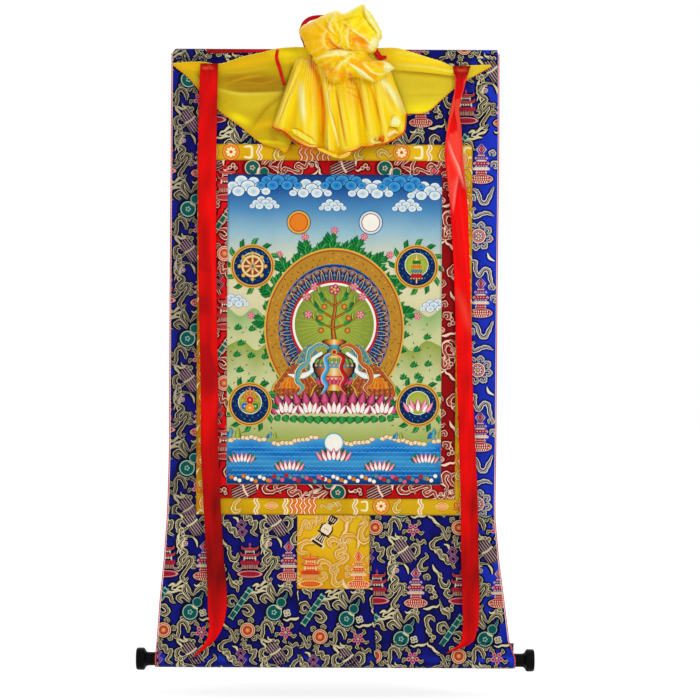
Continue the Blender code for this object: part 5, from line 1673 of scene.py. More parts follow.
def wishTree(sketch, x, y, layer):  # grows out of the vase into the halo
    bark = [(-1, "ink"), (-0.7, "brown"), (0.2, "amber"), (0.7, "brown"), (1, "ink")]
    sketch.stroke([(x, y, 2.6), (x - 1.5, y - 16, 2.0), (x + 1, y - 34, 1.5), (x, y - 50, 0.6)], bark, layer)
    for side in (-1, 1):
        for start, reach, lift in ((-12, 24, -12), (-22, 26, -20), (-34, 18, -18)):
            sketch.stroke([(x, y + start, 1.2), (x + side * reach * 0.5, y + start + lift * 0.4, 0.9),
                           (x + side * reach, y + start + lift, 0.4)], bark, layer + 0.1)
            for k in range(4):
                share = 0.4 + 0.2 * k
                px, py = x + side * reach * share, y + start + lift * share ** 1.3
                away = 0.5 + 0.5 * (k % 3)
                leaf(sketch, px, py, 8.4, -away if side > 0 else math.pi + away, layer + 1 + 0.05 * k,
                     ("leaf", "green", "lime")[k % 3])
            blossom(sketch, x + side * (reach + 2), y + start + lift - 2, 4.0, layer + 2)
            sketch.disc(x + side * reach * 0.55, y + start + lift * 0.3 + 5.5,
                        [(0, "gold"), (1.2, "amber"), (2.5, "rust"), (2.9, "ink")], sides=14,
                        layer=layer + 2)
    blossom(sketch, x, y - 51, 5.4, layer + 2.2, "red")


def jewelHeap(sketch, x, y, size, layer):  # four round jewels under five flames
    one = Sketch()
    jewels = ((0, -13, "red"), (-6.5, -5, "blue"), (6.5, -5, "green"), (0, -3, "amber"))
    for number, (dx, dy, tone) in enumerate(jewels):
        one.disc(dx, dy, [(0, "white"), (1.6, pigment[tone] * 1.5), (4.5, tone), (4.5, "gold"), (5.6, "gold"),
                          (5.6, "ink"), (6.2, "ink")], sides=20, layer=number * 0.3)
    for turn in (-0.9, -0.45, 0.0, 0.45, 0.9):
        one.stroke([(7.5 * math.sin(turn), -15 - 4 * math.cos(turn), 2.0),
                    (11.5 * math.sin(turn), -21 * math.cos(turn) - 2, 1.8),
                    (12 * math.sin(turn * 0.8), -30 * math.cos(turn), 0.2)],
                   [(-1, "red"), (-0.3, "amber"), (0.3, "gold"), (1, "red")], -0.5, 4)
    sketch.stamp(one, x, y, 0, 1, size, layer)


def goldWheel(sketch, x, y, r, layer):  # a rim, eight spokes that swell in their middle, and a hub
    sketch.disc(x, y, [(0, "rust"), (r * 0.73, "brown"), (r * 0.73, "gold"), (r * 0.86, "cream"),
                       (r * 0.95, "amber"), (r * 0.95, "ink"), (r, "ink")], sides=34, layer=layer)
    for k in range(8):
        turn = k * math.pi / 4
        cos, sin = math.cos(turn), math.sin(turn)
        sketch.stroke([(x + r * 0.16 * cos, y + r * 0.16 * sin, 0.7),
                       (x + r * 0.45 * cos, y + r * 0.45 * sin, 1.2),
                       (x + r * 0.8 * cos, y + r * 0.8 * sin, 0.7)],
                      [(-1, "amber"), (0, "cream"), (1, "amber")], layer + 0.5, 3)
        sketch.disc(x + r * 1.08 * cos, y + r * 1.08 * sin, [(0, "gold"), (1.7, "gold"), (2.1, "ink")],
                    sides=9, layer=layer + 0.6)
    sketch.disc(x, y,
                [(0, "red"), (r * 0.15, "teal"), (r * 0.2, "gold"), (r * 0.26, "gold"), (r * 0.28, "ink")],
                sides=18, layer=layer + 1)


def victoryBanner(sketch, x, y, size, layer):  # four tiers of pleated cloth on a pole, narrower upwards
    one = Sketch()
    tiers = (("red", 0, 13), ("teal", -11, 12), ("amber", -21, 10.6), ("green", -30, 9))
    for number, (tone, level, half) in enumerate(tiers):
        cloth = [(-1, "ink")]
        for k in range(6):
            at = -0.92 + k * 0.31
            cloth += [(at, pigment[tone] * 0.5), (at + 0.14, pigment[tone] * 1.25),
                      (at + 0.28, pigment[tone] * 0.6)]
        cloth += [(1, "ink")]
        one.shape(0, 0, [(level, half * 1.12), (level - 4, half), (level - 11, half * 0.9)], cloth,
                  number * 0.4)
        for k in range(-2, 3):
            one.disc(k * half * 0.46, level - 1, [(0, "gold"), (1.6, "gold"), (2.0, "ink")], sides=9,
                     layer=number * 0.4 + 0.2)
    one.shape(0, 0, [(-40, 9.6), (-43, 7), (-46, 2.4), (-52, 1.4), (-55, 0.2)],
              bodyBands("amber", "gold", "cream", "gold", "amber"), 2)
    one.shape(0, 0, [(0, 1.8), (9, 1.8)], bodyBands("amber", "cream", "amber"), -0.5)
    sketch.stamp(one, x, y, 0, 1, size, layer)


def waves(sketch, left, right, top, bottom, layer):  # thin bent lines, each row set off by half
    rows = np.arange(top, bottom, 4.6)
    for number, y in enumerate(rows):
        for x in np.arange(left + (4 if number % 2 else 0), right - 6, 8.0):
            sketch.stroke([(x, y, 0.2), (x + 2, y - 1.5, 0.55), (x + 4, y - 0.6, 0.5),
                           (x + 6, y - 1.4, 0.5), (x + 8, y, 0.2)],
                          plain("sky"), layer, 2)


def rock(sketch, x, y, size, layer):  # four pointed stones side by side, lit from the left
    for k, tone in enumerate(("blue", "teal", "stone", "moss")):
        sketch.shape(x + (k - 1.5) * 4.4 * size, y,
                     [(0, 4.2 * size), (-4 * size, 3.6 * size), (-(7 + (k % 2) * 4) * size, 2.0 * size),
                      (-(9 + (k % 2) * 5) * size, 0.2)],
                     [(-1, "ink"), (-0.86, tone), (-0.2, pigment[tone] * 1.6), (0.3, tone),
                      (0.86, pigment[tone] * 0.5), (1, "ink")], layer + 0.1 * k)


def scattered(count, seed):  # evenly spread pairs of shares, by steps of irrational size
    return [((seed * 0.37 + k * 0.754877) % 1, (seed * 0.11 + k * 0.569840) % 1) for k in range(count)]


def stipple(sketch, count, seed, left, right, top, bottom, inside, tones, size, layer):
    # short bent dashes strewn over an area, where the test holds
    for number, (u, v) in enumerate(scattered(count, seed)):
        x, y = left + (right - left) * u, top + (bottom - top) * v
        if inside(x, y):
            turn, tone = number * 2.4, tones[number % len(tones)]
            cos, sin = math.cos(turn) * size, math.sin(turn) * size
            sketch.stroke([(x - cos, y - sin, 0.15), (x + sin * 0.4, y - cos * 0.4, size * 0.28),
                           (x + cos, y + sin, 0.15)],
                          plain(tone), layer, 2)


def shrub(sketch, x, y, size, layer):  # a tuft of leaves
    for k in range(5):
        leaf(sketch, x, y, size * (1 - 0.12 * abs(k - 2)), -math.pi / 2 + (k - 2) * 0.55, layer + 0.1 * k,
             ("green", "leaf")[k % 2])


def skyLayers(sketch):  # sun and moon under a bank of clouds, and hills on both sides
    for x, y, size, flip, tone in (
            (-88, 14, 0.95, 1, "sky"), (-56, 8, 0.9, -1, "blue"), (-24, 16, 0.85, 1, "sky"),
            (8, 8, 0.9, -1, "blue"), (36, 16, 0.9, 1, "sky"), (66, 9, 0.95, -1, "blue"),
            (94, 18, 0.85, 1, "sky"), (-70, 30, 0.6, 1, "sky"), (-2, 32, 0.55, 1, "sky"),
            (72, 32, 0.6, -1, "sky"), (-100, 128, 0.6, 1, "sky"), (100, 132, 0.6, -1, "sky")):
        cloud(sketch, x, y, size, flip, 1, tone)
    for side, tone, rim in ((-1, "amber", "gold"), (1, "white", "pale")):
        sketch.disc(side * 36, 48, crisp((8.5, tone), (9.4, "red"), (11.3, rim), (12, "navy")),
                    sides=36, layer=7)
    for side in (-1, 1):
        hill = [(side * x, y) for x, y in ((0, 150), (44, 140), (64, 146), (80, 134), (94, 142), (108, 132))]
        land(sketch, hill[::side], 210,
             [pigment["leaf"] * 0.6 + pigment["shore"] * 0.4, "shore", pigment["shore"] * 1.05, "moss"], 6)
        ridge = [(side * x, y) for x, y in ((0, 176), (60, 168), (78, 176), (92, 166), (108, 172))]
        land(sketch, ridge[::side], 270, ["moss", "shore", "shore", pigment["moss"] * 1.1], 6.6)
        for u, v in scattered(18, 3 + side):
            shrub(sketch, side * (56 + 50 * u), 150 + 96 * v, 6.5, 7.2 + v)
    stipple(sketch, 200, 2, -106, 106, 148, 262, lambda x, y: abs(x) > 50,
            ("dark", "green", "brown", "leaf"), 1.5, 7)


def halosAndSprays(sketch):  # a gold aureole with a ring of feathers and a green halo
    for k in range(-14, 15):
        turn = -math.pi / 2 + k * 0.19
        shrub(sketch, 66 * math.cos(turn), 154 + 78 * math.sin(turn), 12, 9.5 + 0.01 * k)
    for k in range(9):
        turn = -math.pi / 2 + (k - 4) * 0.36
        spray(sketch, 66 * math.cos(turn), 154 + 80 * math.sin(turn), turn, 11, 9)
    sketch.disc(0, 154, [(0, "ochre"), (50, "ochre"), (67, "ochre"), (67, "rust"), (68.4, "rust"),
                         (68.4, "gold"), (70, "gold")], sides=90, layer=11, squash=1.15)
    stipple(sketch, 620, 5, -70, 70, 76, 232, lambda x, y: 56 < math.hypot(x, (y - 154) / 1.15) < 66,
            ("brown", "gold", "brown"), 1.5, 11.6)
    tones = [(0, "navy")]
    for k in range(20, 28):
        tones += [(2.0 * k, "navy"), (2.0 * k + 1.1, "navy"), (2.0 * k + 1.1, "blue"),
                  (2.0 * k + 2.0, "blue")]
    sketch.disc(0, 154, tones, sides=90, layer=12, squash=1.15)
    for k in range(36):
        turn = 2 * math.pi * k / 36
        feather(sketch, 40 * math.cos(turn), 154 + 46 * math.sin(turn),
                math.atan2(1.15 * math.sin(turn), math.cos(turn)), 15, 12.6)
    halo(sketch, 0, 150, 44, 13.5, "moss", [(0.90, "white"), (0.95, "red")])
    rays(sketch, 0, 150, 6, 38, 48, 14.5, "lime")


def drape(sketch, x, y, half, height, tone, layer, folds=7, specks=("gold", "brown")):
    # a heap of figured cloth
    fill, bands = pigment[tone], [(-1, "ink"), (-0.96, "gold"), (-0.92, "gold")]
    for k in range(folds):
        at = -0.9 + 1.8 * k / folds
        bands += [(at, fill * 0.55), (at + 0.9 / folds, fill * 1.25), (at + 1.7 / folds, fill * 0.7)]
    bands += [(0.92, "gold"), (0.96, "gold"), (1, "ink")]
    stations = [(0, half * 0.96), (-height * 0.08, half), (-height * 0.35, half * 0.9),
                (-height * 0.62, half * 0.62), (-height * 0.86, half * 0.4), (-height, half * 0.12)]
    sketch.shape(x, y, stations, bands, layer)
    stipple(sketch, round(half * height / 7), 7, x - half, x + half, y - height, y,
            lambda px, py: abs(px - x) < half * (0.9 - 0.6 * max(0, (y - py) / height - 0.25)), specks,
            1.1, layer + 0.3)


def throne(sketch):  # heaped cloth and a lotus seat under the vase
    for side in (-1, 1):
        drape(sketch, side * 24, 204, 19, 34, "teal", 17)
        drape(sketch, side * 38, 222, 26, 32, "rust", 18, 9)
        drape(sketch, side * 44, 214, 11, 12, "amber", 18.6, 5, ("rust", "gold"))
        sash = [(side * 12, 178, 1.6), (side * 22, 186, 2.6), (side * 22, 196, 2.4), (side * 34, 202, 2.8),
                (side * 46, 200, 0.8)]
        sketch.stroke(sash, bodyBands("pale", "white", "white", "pale"), 19.4)
    drape(sketch, 0, 222, 24, 24, "brown", 19, 9)
    lotus(sketch, 0, 232, 62, 15, 14, 19.6, ("ink", "crimson", "pink"))
    lotus(sketch, 0, 240, 66, 17, 12, 21, ("ink", "crimson", "pink"))
    lotus(sketch, 0, 241, 58, 15, -8, 20, ("dark", "green", "leaf"))
    for k in range(-2, 3):
        lotus(sketch, k * 24, 239, 6.5, 5, 11, 22.5, ("pink", "white", "white"))


def roundel(sketch, x, y, layer):  # a dark disc with a gold rim and a small halo, ringed with leaves
    for k in range(12):
        turn = k * math.pi / 6
        leaf(sketch, x + 19 * math.cos(turn), y + 19 * math.sin(turn), 11, turn + 0.5, layer,
             ("green", "leaf")[k % 2])
    halo(sketch, x, y, 22, layer + 1, "navy", [(0.85, "gold"), (0.90, "rust"), (0.95, "gold")])
    stipple(sketch, 90, 4, x - 19, x + 19, y - 19, y + 19, lambda px, py: math.hypot(px - x, py - y) < 18,
            ("sky", "blue", "teal"), 1.0, layer + 1.4)
    halo(sketch, x, y - 2, 12.5, layer + 2, "lime", [(0.90, "white")])


def lakeLayers(sketch):  # a lake along the foot, with flowers and stones, and four roundels
    bank = [(-108, 268), (-84, 262), (-52, 270), (-18, 264), (20, 268), (54, 262), (88, 268), (108, 262)]
    land(sketch, bank, 309.6,
         ["sky", pigment["blue"] * 1.15, pigment["sky"] * 0.8, "blue", pigment["navy"] * 1.4], 9)
    waves(sketch, -106, 106, 274, 306, 9.6)
    for number, (u, v) in enumerate(scattered(44, 6)):
        x = -106 + 212 * u
        sketch.disc(x, 265 + 3 * math.sin(x * 0.09) + 2 * v,
                    [(0, "cream"), (2.6, "cream"), (3.0, "rust"), (3.5, "rust")],
                    sides=9, layer=10 + 0.04 * number, squash=0.7)
    for x, y, size in ((-92, 284, 9), (-44, 292, 10), (0, 282, 12), (46, 292, 10), (92, 284, 9)):
        shrub(sketch, x - 9, y + 3, size, 22)
        shrub(sketch, x + 9, y + 3, size, 22)
        lotus(sketch, x, y + 4, size, 7, size, 23, ("crimson", "pink", "rose"))
        lotus(sketch, x, y + 4, size * 0.6, 5, size * 0.8, 24, ("pink", "white", "white"))
    sketch.disc(0, 268, [(0, "white"), (7.5, "white"), (8.8, "pale"), (9.2, "teal"), (9.8, "teal")],
                sides=30, layer=22.5)
    for x, y in ((-82, 92), (82, 92), (-84, 230), (84, 230)):
        roundel(sketch, x, y, 24)
    goldWheel(sketch, -82, 92, 12, 29)
    victoryBanner(sketch, 82, 104, 0.46, 29)
    jewelHeap(sketch, -84, 236, 0.8, 29)
    lotus(sketch, 84, 237, 9, 5, 13, 29, ("crimson", "pink", "rose"))
    lotus(sketch, 84, 237, 5, 3, 10, 30, ("pink", "white", "white"))
    for x, size in ((-101, 0.8), (-62, 0.5), (64, 0.5), (102, 0.8)):
        rock(sketch, x, 264, size, 22)
    for number, (u, v) in enumerate(scattered(54, 12)):
        tone = ("white", "pink", "amber", "teal", "white", "red")[number % 6]
        sketch.disc(-104 + 208 * u, 301 + 6 * v, [(0, tone), (1.7, tone), (2.3, "brown")], sides=9,
                    layer=30 + 0.02 * number)


def buildPainting():  # canvas in bands of sky and land, and the painted figures a hair above it
    half, height = halfPainting, hanging["paintingHeight"]
    columns, rows = round(2 * half / picture["grid"]), round(height / picture["grid"])
    x, drop = np.meshgrid(-half + 2 * half * edgedShares(columns, 0.002),
                          paintingDrop + height * edgedShares(rows, 0.0015))
    level = (drop - paintingDrop) / figureUnit + 3 * ripple(x * 40, drop * 6, 17)
    known = np.array([row[0] for row in picture["sky"]])
    tones = np.array([paint(*row[1]) for row in picture["sky"]])
    tint = np.stack([np.interp(level, known, tones[:, k]) for k in range(3)], axis=-1)
    edge = np.minimum(half - np.abs(x), np.minimum(drop - paintingDrop, paintingEnd - drop))
    # painted shadow along the seam round the canvas
    tint = tint * (1 - 0.5 * np.exp(-(edge / 0.0012) ** 2))[..., None]
    thin = hanging["cloth"] / 2
    board = Board("paintedCanvas", Specular_IOR_Level=0.04)
    weave = threads(board, 4200, 4200)
    pulp, wash = board.noise(board.place(), 700, 3), board.noise(board.place(), 38, 4, 0.6)
    board.finish(Base_Color=board.shade(board.tint(), 0.84 + wash * 0.2 + pulp * 0.12),
                 Roughness=0.62 + pulp * 0.16,
                 Normal=board.bump(weave * 0.6 + pulp, 0.25, 0.0003))
    back = Board("bareCanvas", Specular_IOR_Level=0.04)
    weave, stains = threads(back, 3600, 3600), back.noise(back.place(), 14, 4)
    bare = back.mix(stains, paint(214, 200, 164), paint(190, 172, 130))
    back.finish(Base_Color=back.shade(bare, 0.9 + weave * 0.1),
                Roughness=0.8 + weave * 0.1, Normal=back.bump(weave, 0.4, 0.0004))
    piece = clothPiece("paintedPicture", hang(x, drop, thin), hang(x, drop, -thin),
                       [board.material, back.material], tint)
    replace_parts(piece, "painting")
    sketch = Sketch()
    skyLayers(sketch)
    halosAndSprays(sketch)
    lakeLayers(sketch)
    throne(sketch)
    treasureVase(sketch, 0, 216, 0.74, 33)
    wishTree(sketch, 0, 166, 31)

    def clip(x, drop):  # points past the canvas's edge are moved back to it
        return np.clip(x, -half + 0.0006, half - 0.0006), np.clip(drop, 0.0006, height - 0.0006)

    def surface(x, drop, lift):  # on the front of the canvas
        return hang(x, drop + paintingDrop, thin + lift)

    figures = figuresOn("pictureFigures", sketch, figureUnit, surface, clip, board.material,
                        0.0001, 0.000022)


buildPainting()
print("picture painted")

# wings of the veil

wings = {
    "left": {
        "rows": [  # x, upper edge, lower edge, distance in front
            (-0.3140, 0.0288, 0.0316, 0.0022), (-0.2815, 0.0262, 0.0585, 0.0026),
            (-0.2602, 0.0259, 0.0836, 0.0030), (-0.2263, 0.0300, 0.1175, 0.0036),
            (-0.1778, 0.0159, 0.1540, 0.0055), (-0.1414, 0.0080, 0.1825, 0.0070),
            (-0.1097, 0.0001, 0.1925, 0.0085), (-0.0930, -0.0015, 0.1975, 0.0095),
            (-0.0850, -0.0020, 0.1780, 0.0100), (-0.0450, 0.0000, 0.1400, 0.0180),
            (-0.0150, 0.0050, 0.0800, 0.0400)],
        "creases": [(0.12, 0.10, 0.0030), (0.42, 0.10, -0.0010), (0.62, 0.14, 0.0035)]},
    "right": {
        "rows": [
            (0.0300, 0.0050, 0.0700, 0.0400), (0.0550, 0.0000, 0.1200, 0.0180),
            (0.0841, -0.0011, 0.1290, 0.0100), (0.1198, -0.0010, 0.1262, 0.0085),
            (0.1438, 0.0052, 0.1245, 0.0075), (0.1790, 0.0163, 0.1200, 0.0060),
            (0.2062, 0.0243, 0.0960, 0.0048), (0.2275, 0.0330, 0.0772, 0.0038),
            (0.2561, 0.0310, 0.0580, 0.0030), (0.3010, 0.0290, 0.0322, 0.0022)],
        "creases": [(0.20, 0.14, 0.0060), (0.45, 0.08, -0.0010), (0.80, 0.16, 0.0015)]},
}
silkThick = 0.0012


def wingY(wing, x, drop):  # depth of the middle of a wing, as in the solid
    top, bottom, standOff = table(wing["rows"], x)
    share = (drop - top) / (bottom - top)
    fullness = smoothStep((bottom - top) / 0.06)
    swell = sum(depth * np.exp(-(((share - at) / half) ** 2)) for at, half, depth in wing["creases"])
    overHeading = 0.0042 * smoothStep((0.036 - drop) / 0.014) * smoothStep((0.262 - np.abs(x)) / 0.02)
    return -(standOff + overHeading + swell * fullness)


# long ribbons and ties

# Each ribbon's tone down its length, its areas and its paint strokes are painted light and painted shade on
# the satin.
ribbons = {
    "left": {
        "width": 0.0352,
        "rows": [  # drop, x, visible width, distance in front
            (0.0290, -0.2439, 0.0337, 0.0085), (0.0350, -0.2440, 0.0340, 0.0110),
            (0.0420, -0.2442, 0.0345, 0.0125), (0.1120, -0.2457, 0.0354, 0.0130),
            (0.2150, -0.2470, 0.0352, 0.0105), (0.3190, -0.2465, 0.0352, 0.0125),
            (0.4240, -0.2457, 0.0345, 0.0100), (0.5260, -0.2437, 0.0345, 0.0120),
            (0.6680, -0.2405, 0.0342, 0.0100), (0.7700, -0.2400, 0.0335, 0.0130),
            (0.8750, -0.2350, 0.0335, 0.0105), (0.9770, -0.2285, 0.0335, 0.0140),
            (1.0930, -0.2240, 0.0337, 0.0150), (1.1180, -0.2262, 0.0260, 0.0175),
            (1.1440, -0.2370, 0.0155, 0.0220), (1.1740, -0.2680, 0.0030, 0.0270)],
        "folds": [(0, 0, 0), (1.2, 0, 0)],
        "glow": (-0.2470, 0.0372),
        "tone": [(0, 150), (0.030, 165), (0.040, 190), (0.05, 205), (0.10, 212), (0.30, 226), (0.50, 208),
                 (0.70, 198), (0.84, 184), (0.93, 165), (1.02, 150), (1.07, 190), (1.10, 222),
                 (1.14, 235), (1.2, 235)],
        "areas": [([(200, 296), (214, 300), (216, 318), (200, 312)], "wine", 0.5, 3),
                  ([(200, 345), (209, 344), (218, 372), (216, 392), (202, 396)], "wine", 0.6, 3),
                  ([(199, 262), (214, 268), (214, 274), (199, 270)], "wine", 0.35, 2)],
        "paint": [([(213, 130), (213.5, 200), (214, 300), (215, 352)], 5, "scarlet", 0.8),
                  ([(210, 352), (213, 364), (217, 378)], 2.5, "wine", 0.6, 1),
                  ([(206, 396), (206, 440)], 14, "scarlet", 0.6)],
    },
    "right": {
        "width": 0.0352,
        "rows": [
            (0.0315, 0.2441, 0.0344, 0.0088), (0.0365, 0.2437, 0.0320, 0.0110),
            (0.0420, 0.2432, 0.0300, 0.0130), (0.0610, 0.2416, 0.0217, 0.0150),
            (0.0810, 0.2387, 0.0178, 0.0150), (0.1010, 0.2337, 0.0160, 0.0130),
            (0.1200, 0.2307, 0.0178, 0.0120), (0.1400, 0.2303, 0.0246, 0.0120),
            (0.1610, 0.2297, 0.0296, 0.0130), (0.2000, 0.2293, 0.0346, 0.0125),
            (0.2790, 0.2375, 0.0345, 0.0110), (0.4240, 0.2480, 0.0358, 0.0130),
            (0.5260, 0.2525, 0.0370, 0.0105), (0.6680, 0.2568, 0.0373, 0.0130),
            (0.7700, 0.2608, 0.0373, 0.0110), (0.8750, 0.2640, 0.0370, 0.0135),
            (0.9770, 0.2648, 0.0358, 0.0115), (1.0820, 0.2665, 0.0328, 0.0150),
            (1.1220, 0.2640, 0.0286, 0.0180), (1.1490, 0.2520, 0.0190, 0.0225),
            (1.1650, 0.2200, 0.0040, 0.0270)],
        "folds": [(0.02, 0, 0), (0.045, 0.0015, 0.0015), (0.075, 0.0070, 0.0080), (0.105, 0.0085, 0.0100),
                  (0.14, 0.0060, 0.0095), (0.17, 0.0040, 0.0085), (0.205, 0.0010, 0.0068),
                  (0.25, 0.0, 0.0045), (0.295, 0, 0.0008), (0.31, 0, 0), (1.2, 0, 0)],
        "glow": (0.2440, 0.0400),
        "tone": [(0, 150), (0.04, 150), (0.06, 200), (0.15, 238), (0.45, 240), (0.60, 232), (0.80, 226),
                 (0.93, 205), (1.02, 185), (1.10, 200), (1.14, 215), (1.2, 225)],
        "areas": [([(446, 136), (462, 130), (463, 172), (458, 178), (455, 196), (453, 214), (449, 196),
                    (447, 170)], "coral", 0.75, 1.5),
                  ([(446, 128), (449, 128), (450, 160), (457, 176), (450, 184), (446, 150)],
                   "scarlet", 0.6, 2)],
        "paint": [([(449.5, 143), (452, 152), (459, 168), (464, 186)], 3.6, "blush", 0.9, 1),
                  ([(458, 178), (456, 190), (453.5, 210)], 3, "blush", 0.5, 1),
                  ([(460, 180), (465, 194), (468, 214)], 2.6, "wine", 0.35, -1),
                  ([(463, 200), (463, 270)], 16, "scarlet", 0.8),
                  ([(458, 292), (464, 310), (470, 330)], 8, "coral", 0.5)],
    },
    "thick": 0.001,
    "sewn": 0.012,
}


def buildRibbon(side, node):  # a band hung from the wing, its edges turned in where it is pinched
    spec, wing = ribbons[side], wings[side]
    rows = spec["rows"]
    drops = np.arange(rows[0][0], rows[-1][0], 0.0046)
    drops = np.append(drops, rows[-1][0])[:, None]
    middle, width, front = smoothTable(rows, drops)
    width = np.minimum(width, spec["width"] * 1.06)
    turnedLeft, turnedRight = smoothTable(spec["folds"], drops)
    share = np.linspace(-1, 1, 27)
    half = width / 2
    flat = share * (half + np.where(share < 0, turnedLeft, turnedRight))
    over = np.maximum(np.abs(flat) - half, 0)          # the part folded back over the front
    depth = np.minimum(over, 0.0012) * 1.15
    x = middle + np.sign(flat) * (np.minimum(np.abs(flat), half) - np.maximum(over - 0.0008, 0) * 0.97)
    lying = wingY(wing, middle + 0 * x, drops + 0 * x) - silkThick / 2 - 0.0006 - ribbons["thick"] / 2
    crown = 0.0010 * (1 - share * share)
    hangingY = -front - crown
    streaks = 0.00035 * np.sin(share * 9 + 5 * np.sin(drops * 7))
    streaks = streaks + 0.0005 * ripple(drops * 26 + 0 * x, share * 1.3 + 0 * drops, 4)
    gather = 0.0007 * np.sin(share * 30 + drops * 40) * np.exp(-((drops - rows[0][0] - 0.004) / 0.016) ** 2)
    free = smoothStep((drops - rows[0][0]) / ribbons["sewn"])
    tail = smoothStep((drops - 1.105) / 0.05)
    curlY = -0.0025 * np.sin(share * 2.2 + (0.7 if side == "left" else -0.7)) * tail * half / 0.0165
    y = lying + (hangingY - lying) * free + (streaks + gather) * free + curlY - depth
    slack = 0.0016 * smoothStep((over - 0.0012) / 0.004) * np.sin(drops * 60)
    y = y - slack
    lift = ribbons["thick"] / 2
    drop = drops + 0 * x
    frontGrid = np.stack([x, y - lift, -drop], axis=-1)
    backGrid = np.stack([x, y + lift, -drop], axis=-1)
    tone = np.interp(drop, *np.array(spec["tone"], float).T)
    shine = 1 + 0.05 * np.sin(share * 3 + 3 * np.sin(drop * 9)) * smoothStep((drop - 0.06) / 0.05)
    shine = shine - 0.13 * ripple(drop * 55, share * 2.5, 7)
    # painted shade along both edges
    tone = tone * (shine - 0.10 * np.exp(-((np.abs(share) - 1) / 0.10) ** 2))
    # painted shade in patches down the lower ribbon
    shadePatches = smoothStep((drop - 0.62) / 0.3) * smoothStep((1.10 - drop) / 0.05)
    tone = tone - 34 * shadePatches * np.clip(ripple(drop * 130, share * 5, 12) + 0.1, 0, 1)
    tone = np.clip(tone, 60, 250)
    tint = paint(tone, 0 * tone, 0 * tone)
    tint = coloured(x, drop, np.moveaxis(tint, 0, -1), spec["paint"], spec["areas"])
    glowX, glowDrop = spec["glow"]                     # light on the crease under the stitched end
    glow = ((drop - glowDrop - 0.0012 * np.sin(x * 420)) / 0.0026) ** 2 + ((x - glowX) / 0.011) ** 4
    glow = 0.75 * np.exp(-glow)[..., None]
    tint = tint * (1 - glow) + paint(250, 96, 40) * glow
    pink = smoothStep(over / 0.0012)[..., None]
    tint = tint * (1 - pink) + paint(236, 62, 44) * pink
    title = "ribbon" + side.title()
    piece = clothPiece(title, frontGrid, backGrid, [redSatin], tint)
    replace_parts(piece, node)


ties = {  # column, row and width in pixels of the photograph
    "left": [(277.7, 50.5, 2.6), (276.8, 59.0, 3.2), (280.4, 71.0, 3.3), (284.2, 85.5, 2.4)],
    "right": [(374.2, 48.0, 4.8), (377.0, 54.4, 5.2), (380.4, 58.6, 5.0), (386.4, 58.0, 2.8)],
}


def buildTie(side, node):  # a narrow tape lying on the wing, along a line
    rows = np.array(ties[side], float)
    path = curve(np.column_stack([fromPhoto(rows[:, :2]), rows[:, 2] * photo["scale"]]), 48)
    run = np.gradient(path[:, :2], axis=0)
    run = run / np.linalg.norm(run, axis=1)[:, None]
    share = np.linspace(-1, 1, 9)
    reach = path[:, 2:3] / 2 * share
    x, drop = path[:, :1] + run[:, 1:2] * reach, path[:, 1:2] - run[:, :1] * reach
    lift = {"left": 0.0012, "right": 0.0040}[side] + 0.0007 * (1 - share ** 2)
    lift = lift + 0.0003 * np.sin(np.arange(48) * 0.8)[:, None] * share
    y = wingY(wings[side], x, drop) - silkThick / 2 - lift
    front, back = (np.stack([x, y + s * 0.0005, -drop], axis=-1) for s in (-1, 1))
    light = 0.7 + 0.45 * (1 - share ** 2) + 0.12 * np.sin(np.arange(48) * 0.5)[:, None]
    tint = paint(214, 12, 14) * light[..., None]
    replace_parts(clothPiece("veilTie" + side.title(), front, back, [redSatin], tint), node)


# silk


def silkMaterial():  # soft crumples, long streaks and fine cross threads
    board = Board("yellowSilk", Specular_IOR_Level=0.09)
    weft = (board.separate(board.place())[2] * 5600).sine() * 0.5 + 0.5
    crumple = board.noise(board.stretched(70, 70, 34), 1, 4, 0.55)
    streaks = board.noise(board.stretched(260, 60, 30), 1, 2)
    # the colour is lighter where the crumples and streaks rise: painted light on the bump's relief
    board.finish(Base_Color=board.shade(board.tint(), 0.92 + crumple * 0.12 + streaks * 0.05),
                 Roughness=0.30 + crumple * 0.22,
                 Normal=board.bump(crumple * 1.2 + streaks * 0.5 + weft * 0.12, 0.30, 0.0012))
    return board.material


yellowSilk = silkMaterial()
silk = {
    name: paint(*levels) for name, levels in {
        "yellow": (255, 220, 0), "gold": (254, 194, 0), "orange": (255, 152, 0), "deep": (246, 104, 4),
        "rust": (210, 78, 8), "pale": (255, 240, 96), "white": (255, 252, 176), "olive": (204, 172, 4),
        "brown": (156, 106, 0), "straw": (224, 198, 36), "hem": (230, 90, 14), "lemon": (255, 234, 10),
        "coral": (255, 76, 58), "blush": (255, 168, 156), "scarlet": (250, 6, 0), "wine": (166, 0, 8),
    }.items()}


def brushed(x, drop, strokes):
    # soft strokes along lines of photo points: half width and height in mm. A lean makes one
    # side a steep edge: a line drawn downwards leans 1 to its left and -1 to its right.
    total = np.zeros(x.shape)
    for points, half, height, *lean in strokes:
        line = fromPhoto(points)
        if len(points) > 2:
            line = curve(line, 5 * len(points))
        away, side, along = nearPath(x, drop, line)
        reach = np.where(side * sum(lean) < 0, half * 0.2, half) * 0.001
        fade = np.sin(np.pi * np.clip(along, 0.03, 0.97)) ** 0.4
        total = total + height * 0.001 * np.exp(-(away / reach) ** 2) * fade
    return total


def inArea(x, drop, corners, soft):  # 1 inside a ring of photo points, 0 outside, soft between
    line = fromPhoto([*corners, corners[0]])
    away = nearPath(x, drop, line)[0]
    inside = np.zeros(x.shape, bool)
    for (ax, ay), (bx, by) in zip(line[:-1], line[1:]):
        rise = by - ay if abs(by - ay) > 1e-9 else 1e-9
        inside ^= ((ay > drop) != (by > drop)) & (x < ax + (drop - ay) / rise * (bx - ax))
    return smoothStep(0.5 + np.where(inside, away, -away) / (soft * 0.002))


